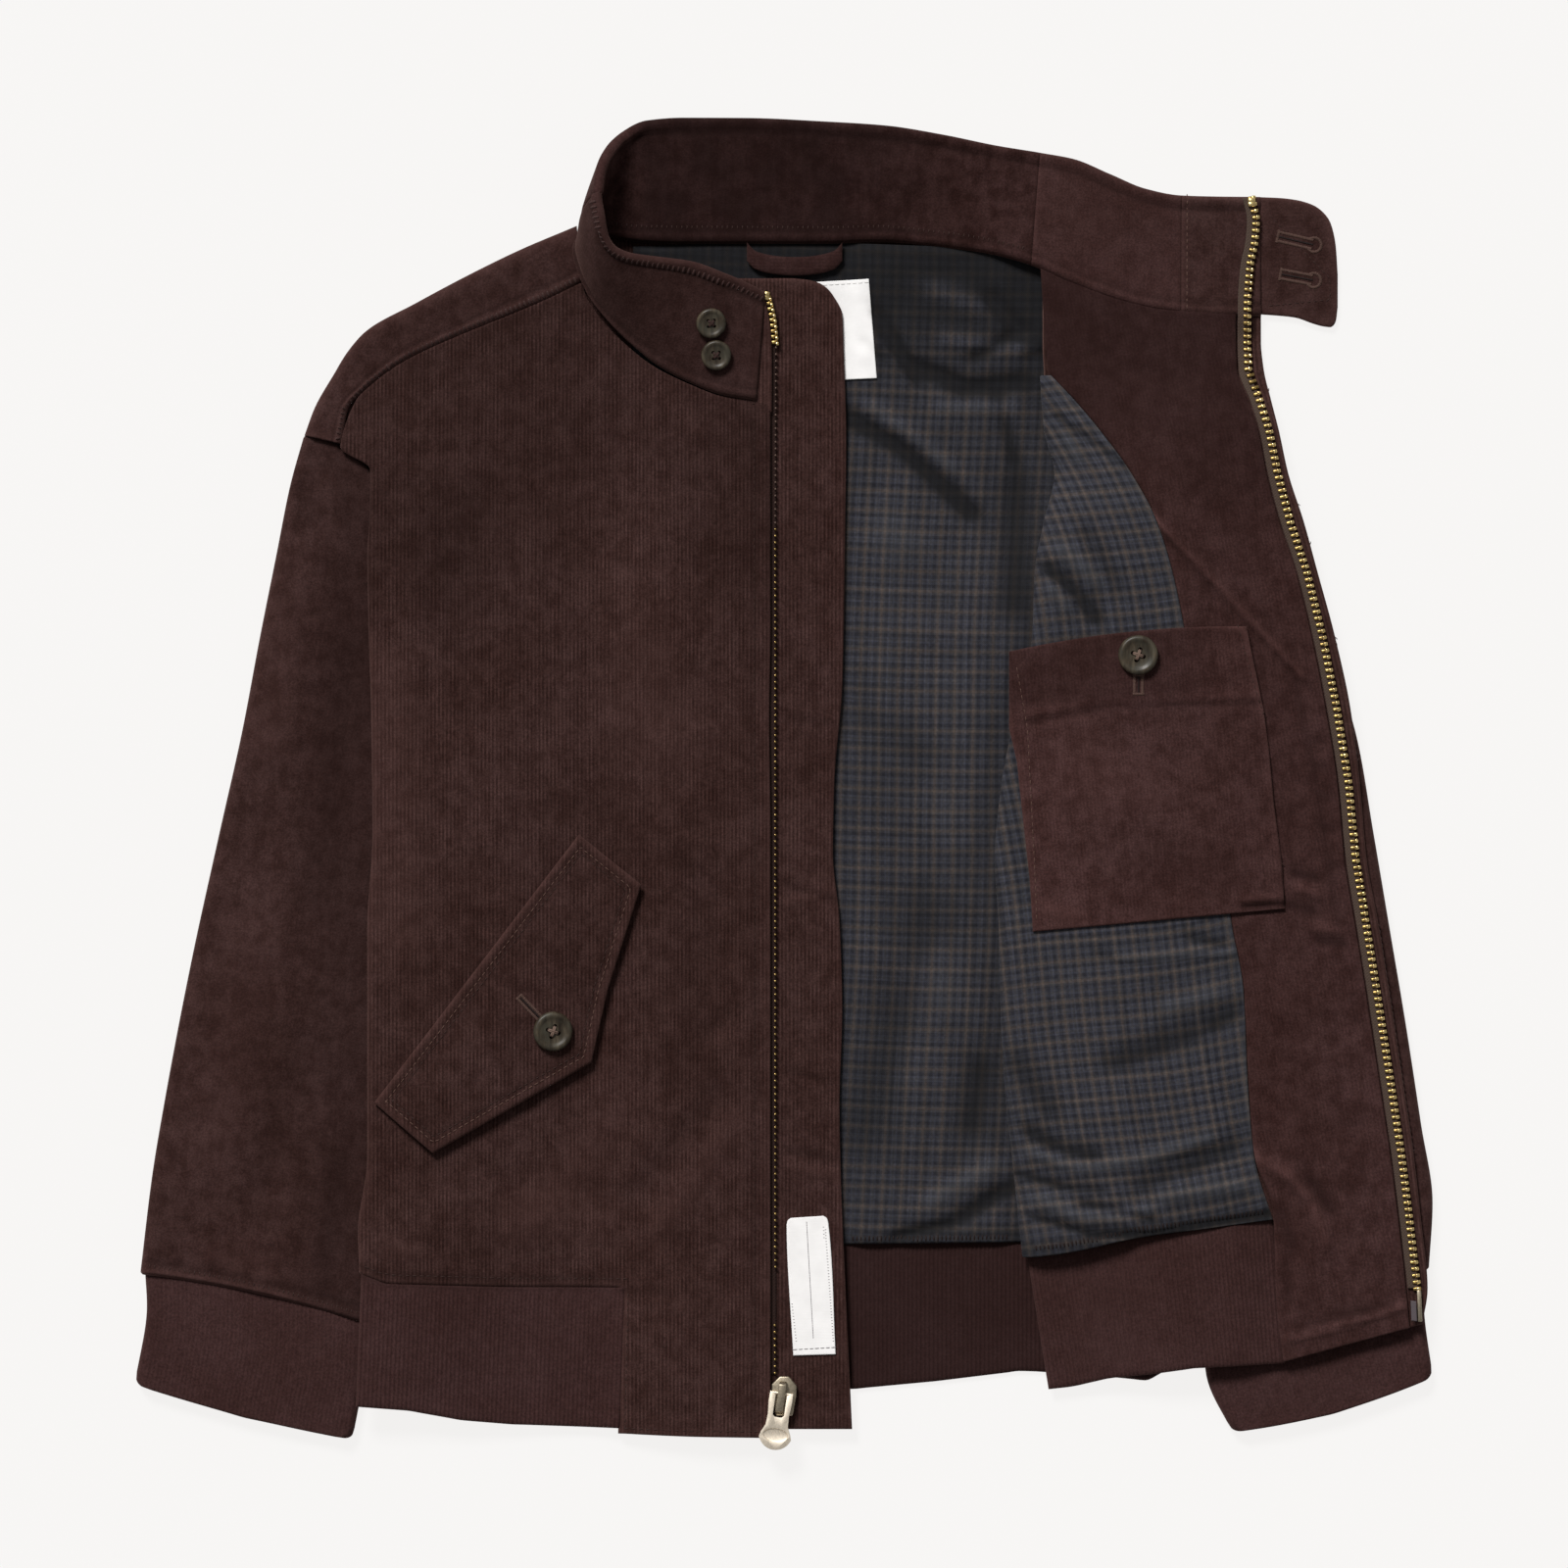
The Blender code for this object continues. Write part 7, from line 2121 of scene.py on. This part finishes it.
flap_corners = [(c.x, c.y) for c in (FLAP_LEFT, FLAP_LOW, FLAP_RIGHT, FLAP_WAIST, FLAP_HIGH, FLAP_TOP)]
for name, reach, thick, finish in (
    ("topstitch_flap", FLAP_ROWS[0], 0.38, light_thread),
    ("topstitch_flap_inner", FLAP_ROWS[1], 0.34, dark_thread),
):
    line = inset(flap_corners, reach)
    sewn(name, [line + line[:1]], flap, 2.5, thick=thick, finish=finish)
sewn("topstitch_pocket_left", [[(87.6, 43), (91.5, 21), (94.2, -30), (95.0, -50)]], pocket, thick=0.38,
     finish=light_thread)
sewn("topstitch_pocket_right", [[(170.9, 59), (176, 40), (184, 15), (187.5, -30)]], pocket, thick=0.32)
sewn("topstitch_collar_end", [[(149.5, 222.5), (149.3, 181)], [(152.1, 222.0), (151.9, 180)]],
     collars["collar_end_left"], 2.4, thick=0.4, finish=light_thread)
first, last = TAB[0], TAB[-1]
start = first.x + 0.8
tab_corners = [(start, first.low), (last.x, last.low), (last.x, last.high), (start, first.high)]
sewn("topstitch_tab", [inset(tab_corners, 3.0)], tab, 2.4)
sewn("topstitch_opened_edge", [[(x + 5.0, y) for x, y in zip_left_line()[6:]]], opened)

buttonhole("hole_flap", flap, (-99.6, -80.2), (-91.0, -89.2), 1.9, False)
buttonhole("hole_pocket", pocket, (133.2, 41.0), (133.2, 33.8), 3.0, False)
buttonhole("hole_tab_1", tab, (186.4, 206.6), (199.2, 203.6), 3.4, True)
buttonhole("hole_tab_2", tab, (187.4, 192.4), (199.0, 190.2), 3.4, True)

sewn("sewing_neck_label", [[(-2, 187.3), (12, 188.0), (31, 189.1)]], neck_label, 2.2, thick=0.3,
     finish=white_thread, slot="label_tape")
sewn("sewing_care_label", [[(4.2, -213.2), (18.6, -212.4)]], care_label, 2.0, thick=0.3, finish=grey_thread,
     slot="label_tape")
care_ticks = [[(15.6, -168), (18.6, -210)], [(14.9, -167), (15.1, -171)], [(3.0, -196), (4.6, -210)]]
tick = 0.3, 0.75, 0.24
border = along("border_care_label", care_ticks, care_label, satin_element, 1.1, tick, grey_thread)
dress(border, "label_tape")


def collar_places(drop, part):
    """Places on the right collar, or on the inner back one, at a drop below the collar's top edge."""
    column = np.abs(collar_up[-1] - drop - collar_up).argmin()
    start, stop = collar_cuts[part], collar_cuts[part + 1]
    rows = (collar_along > start + 1) & (collar_along < stop - 1)
    return [tuple(place[:2]) for place in collar_face[rows, column][::3]]


roll_row = collar_places(COLLAR_ROLL - 1.2, 0)
inner_row = collar_places(collar_up[-1] - WELT - 1.2, 1)
shoulder_row = [on_shoulder(row, 0.955) for row in SHOULDER]
cuff_right_row = [
    (lerp(-241.6, -158.8, t), lerp(-181.4, -200.2, t) + 9 * t * (1 - t)) for t in steps(0.03, 0.97, 12)
]
lining_hem_row = [(x, read_hem(BACK_HEM, x) + 1.4) for x in steps(26, 84, 12)]
left_hem_row = [(x, read_hem(OPENED_HEM, x) + 3.2) for x in steps(95, 180, 16)]
for name, line, cloth, pitch, size, finish in (
    ("ticks_collar_roll", roll_row, collars["collar_right"], 1.9, (0.9, 2.2, 0.2), welt_thread),
    ("ticks_collar_inside", inner_row, collars["collar_back"], 1.9, (0.4, 1.3, 0.3), dark_thread),
    ("ticks_shoulder", shoulder_row, shoulder, 1.9, (1.0, 2.1, 0.24), welt_thread),
    ("ticks_cuff_right", cuff_right_row, sleeves["right"], 1.9, (0.4, 1.5, 0.3), dark_thread),
    ("overlock_lining", lining_hem_row, lining_back, 1.5, (0.6, 2.2, 0.4), slit_dark),
    ("overlock_lining_left", left_hem_row, lining_left, 1.5, (0.6, 2.2, 0.4), slit_dark),
):
    dress(along(name, [line], cloth, satin_element, pitch, size, finish, 0.0, 0.3), "needlecord")
sewn("line_care_label", [[(8.5, -165.4), (11.0, -208.6)]], care_label, 0.9, 1.0, 0.28, grey_thread,
     slot="label_tape")

for element in (stitch_element, satin_element, crimp_element, head_element):
    bpy.data.objects.remove(element)

# ---------------------------------------------------------------- stage


def floor_finish():
    made, w, place = finish_of("floor")
    soft = w.noise(place, 3.0, 1.0)
    return finished(made, w, w.mix(soft, grey(0.055), grey(0.06)), w.fit(soft, 0.0, 1.0, 0.95, 1.0),
                    Specular_IOR_Level=0.0, Emission_Color=(1.0, 0.985, 0.972), Emission_Strength=0.87)


FLOOR_HALF, FLOOR_Z = 20.0, -0.0002  # metres
corners = [(x * FLOOR_HALF, y * FLOOR_HALF, FLOOR_Z) for x, y in ((-1, -1), (1, -1), (1, 1), (-1, 1))]
floor_mesh = bpy.data.meshes.new("floor")
floor_mesh.from_pydata(corners, [], [(0, 1, 2, 3)])
floor_mesh.materials.append(floor_finish())
floor = linked("floor", floor_mesh)

scene = bpy.context.scene
world = scene.world or bpy.data.worlds.new("studio")
scene.world = world
world.use_nodes = True
world.node_tree.nodes["Background"].inputs["Color"].default_value = (1.0, 1.0, 1.0, 1)
world.node_tree.nodes["Background"].inputs["Strength"].default_value = 0.27

window = bpy.data.lights.new("window", "SUN")
window.energy = 3.9
window.angle = math.radians(18)
linked("window", window).rotation_euler = Vector((0.42, -0.92, -0.92)).to_track_quat("-Z", "Y").to_euler()

lens = bpy.data.cameras.new("camera")
lens.sensor_width, lens.lens, lens.clip_end = 36, 243.2, 20
camera = linked("camera", lens)
camera.location = (0, 0, 4.0)
scene.camera = camera
scene.view_settings.view_transform = "Standard"
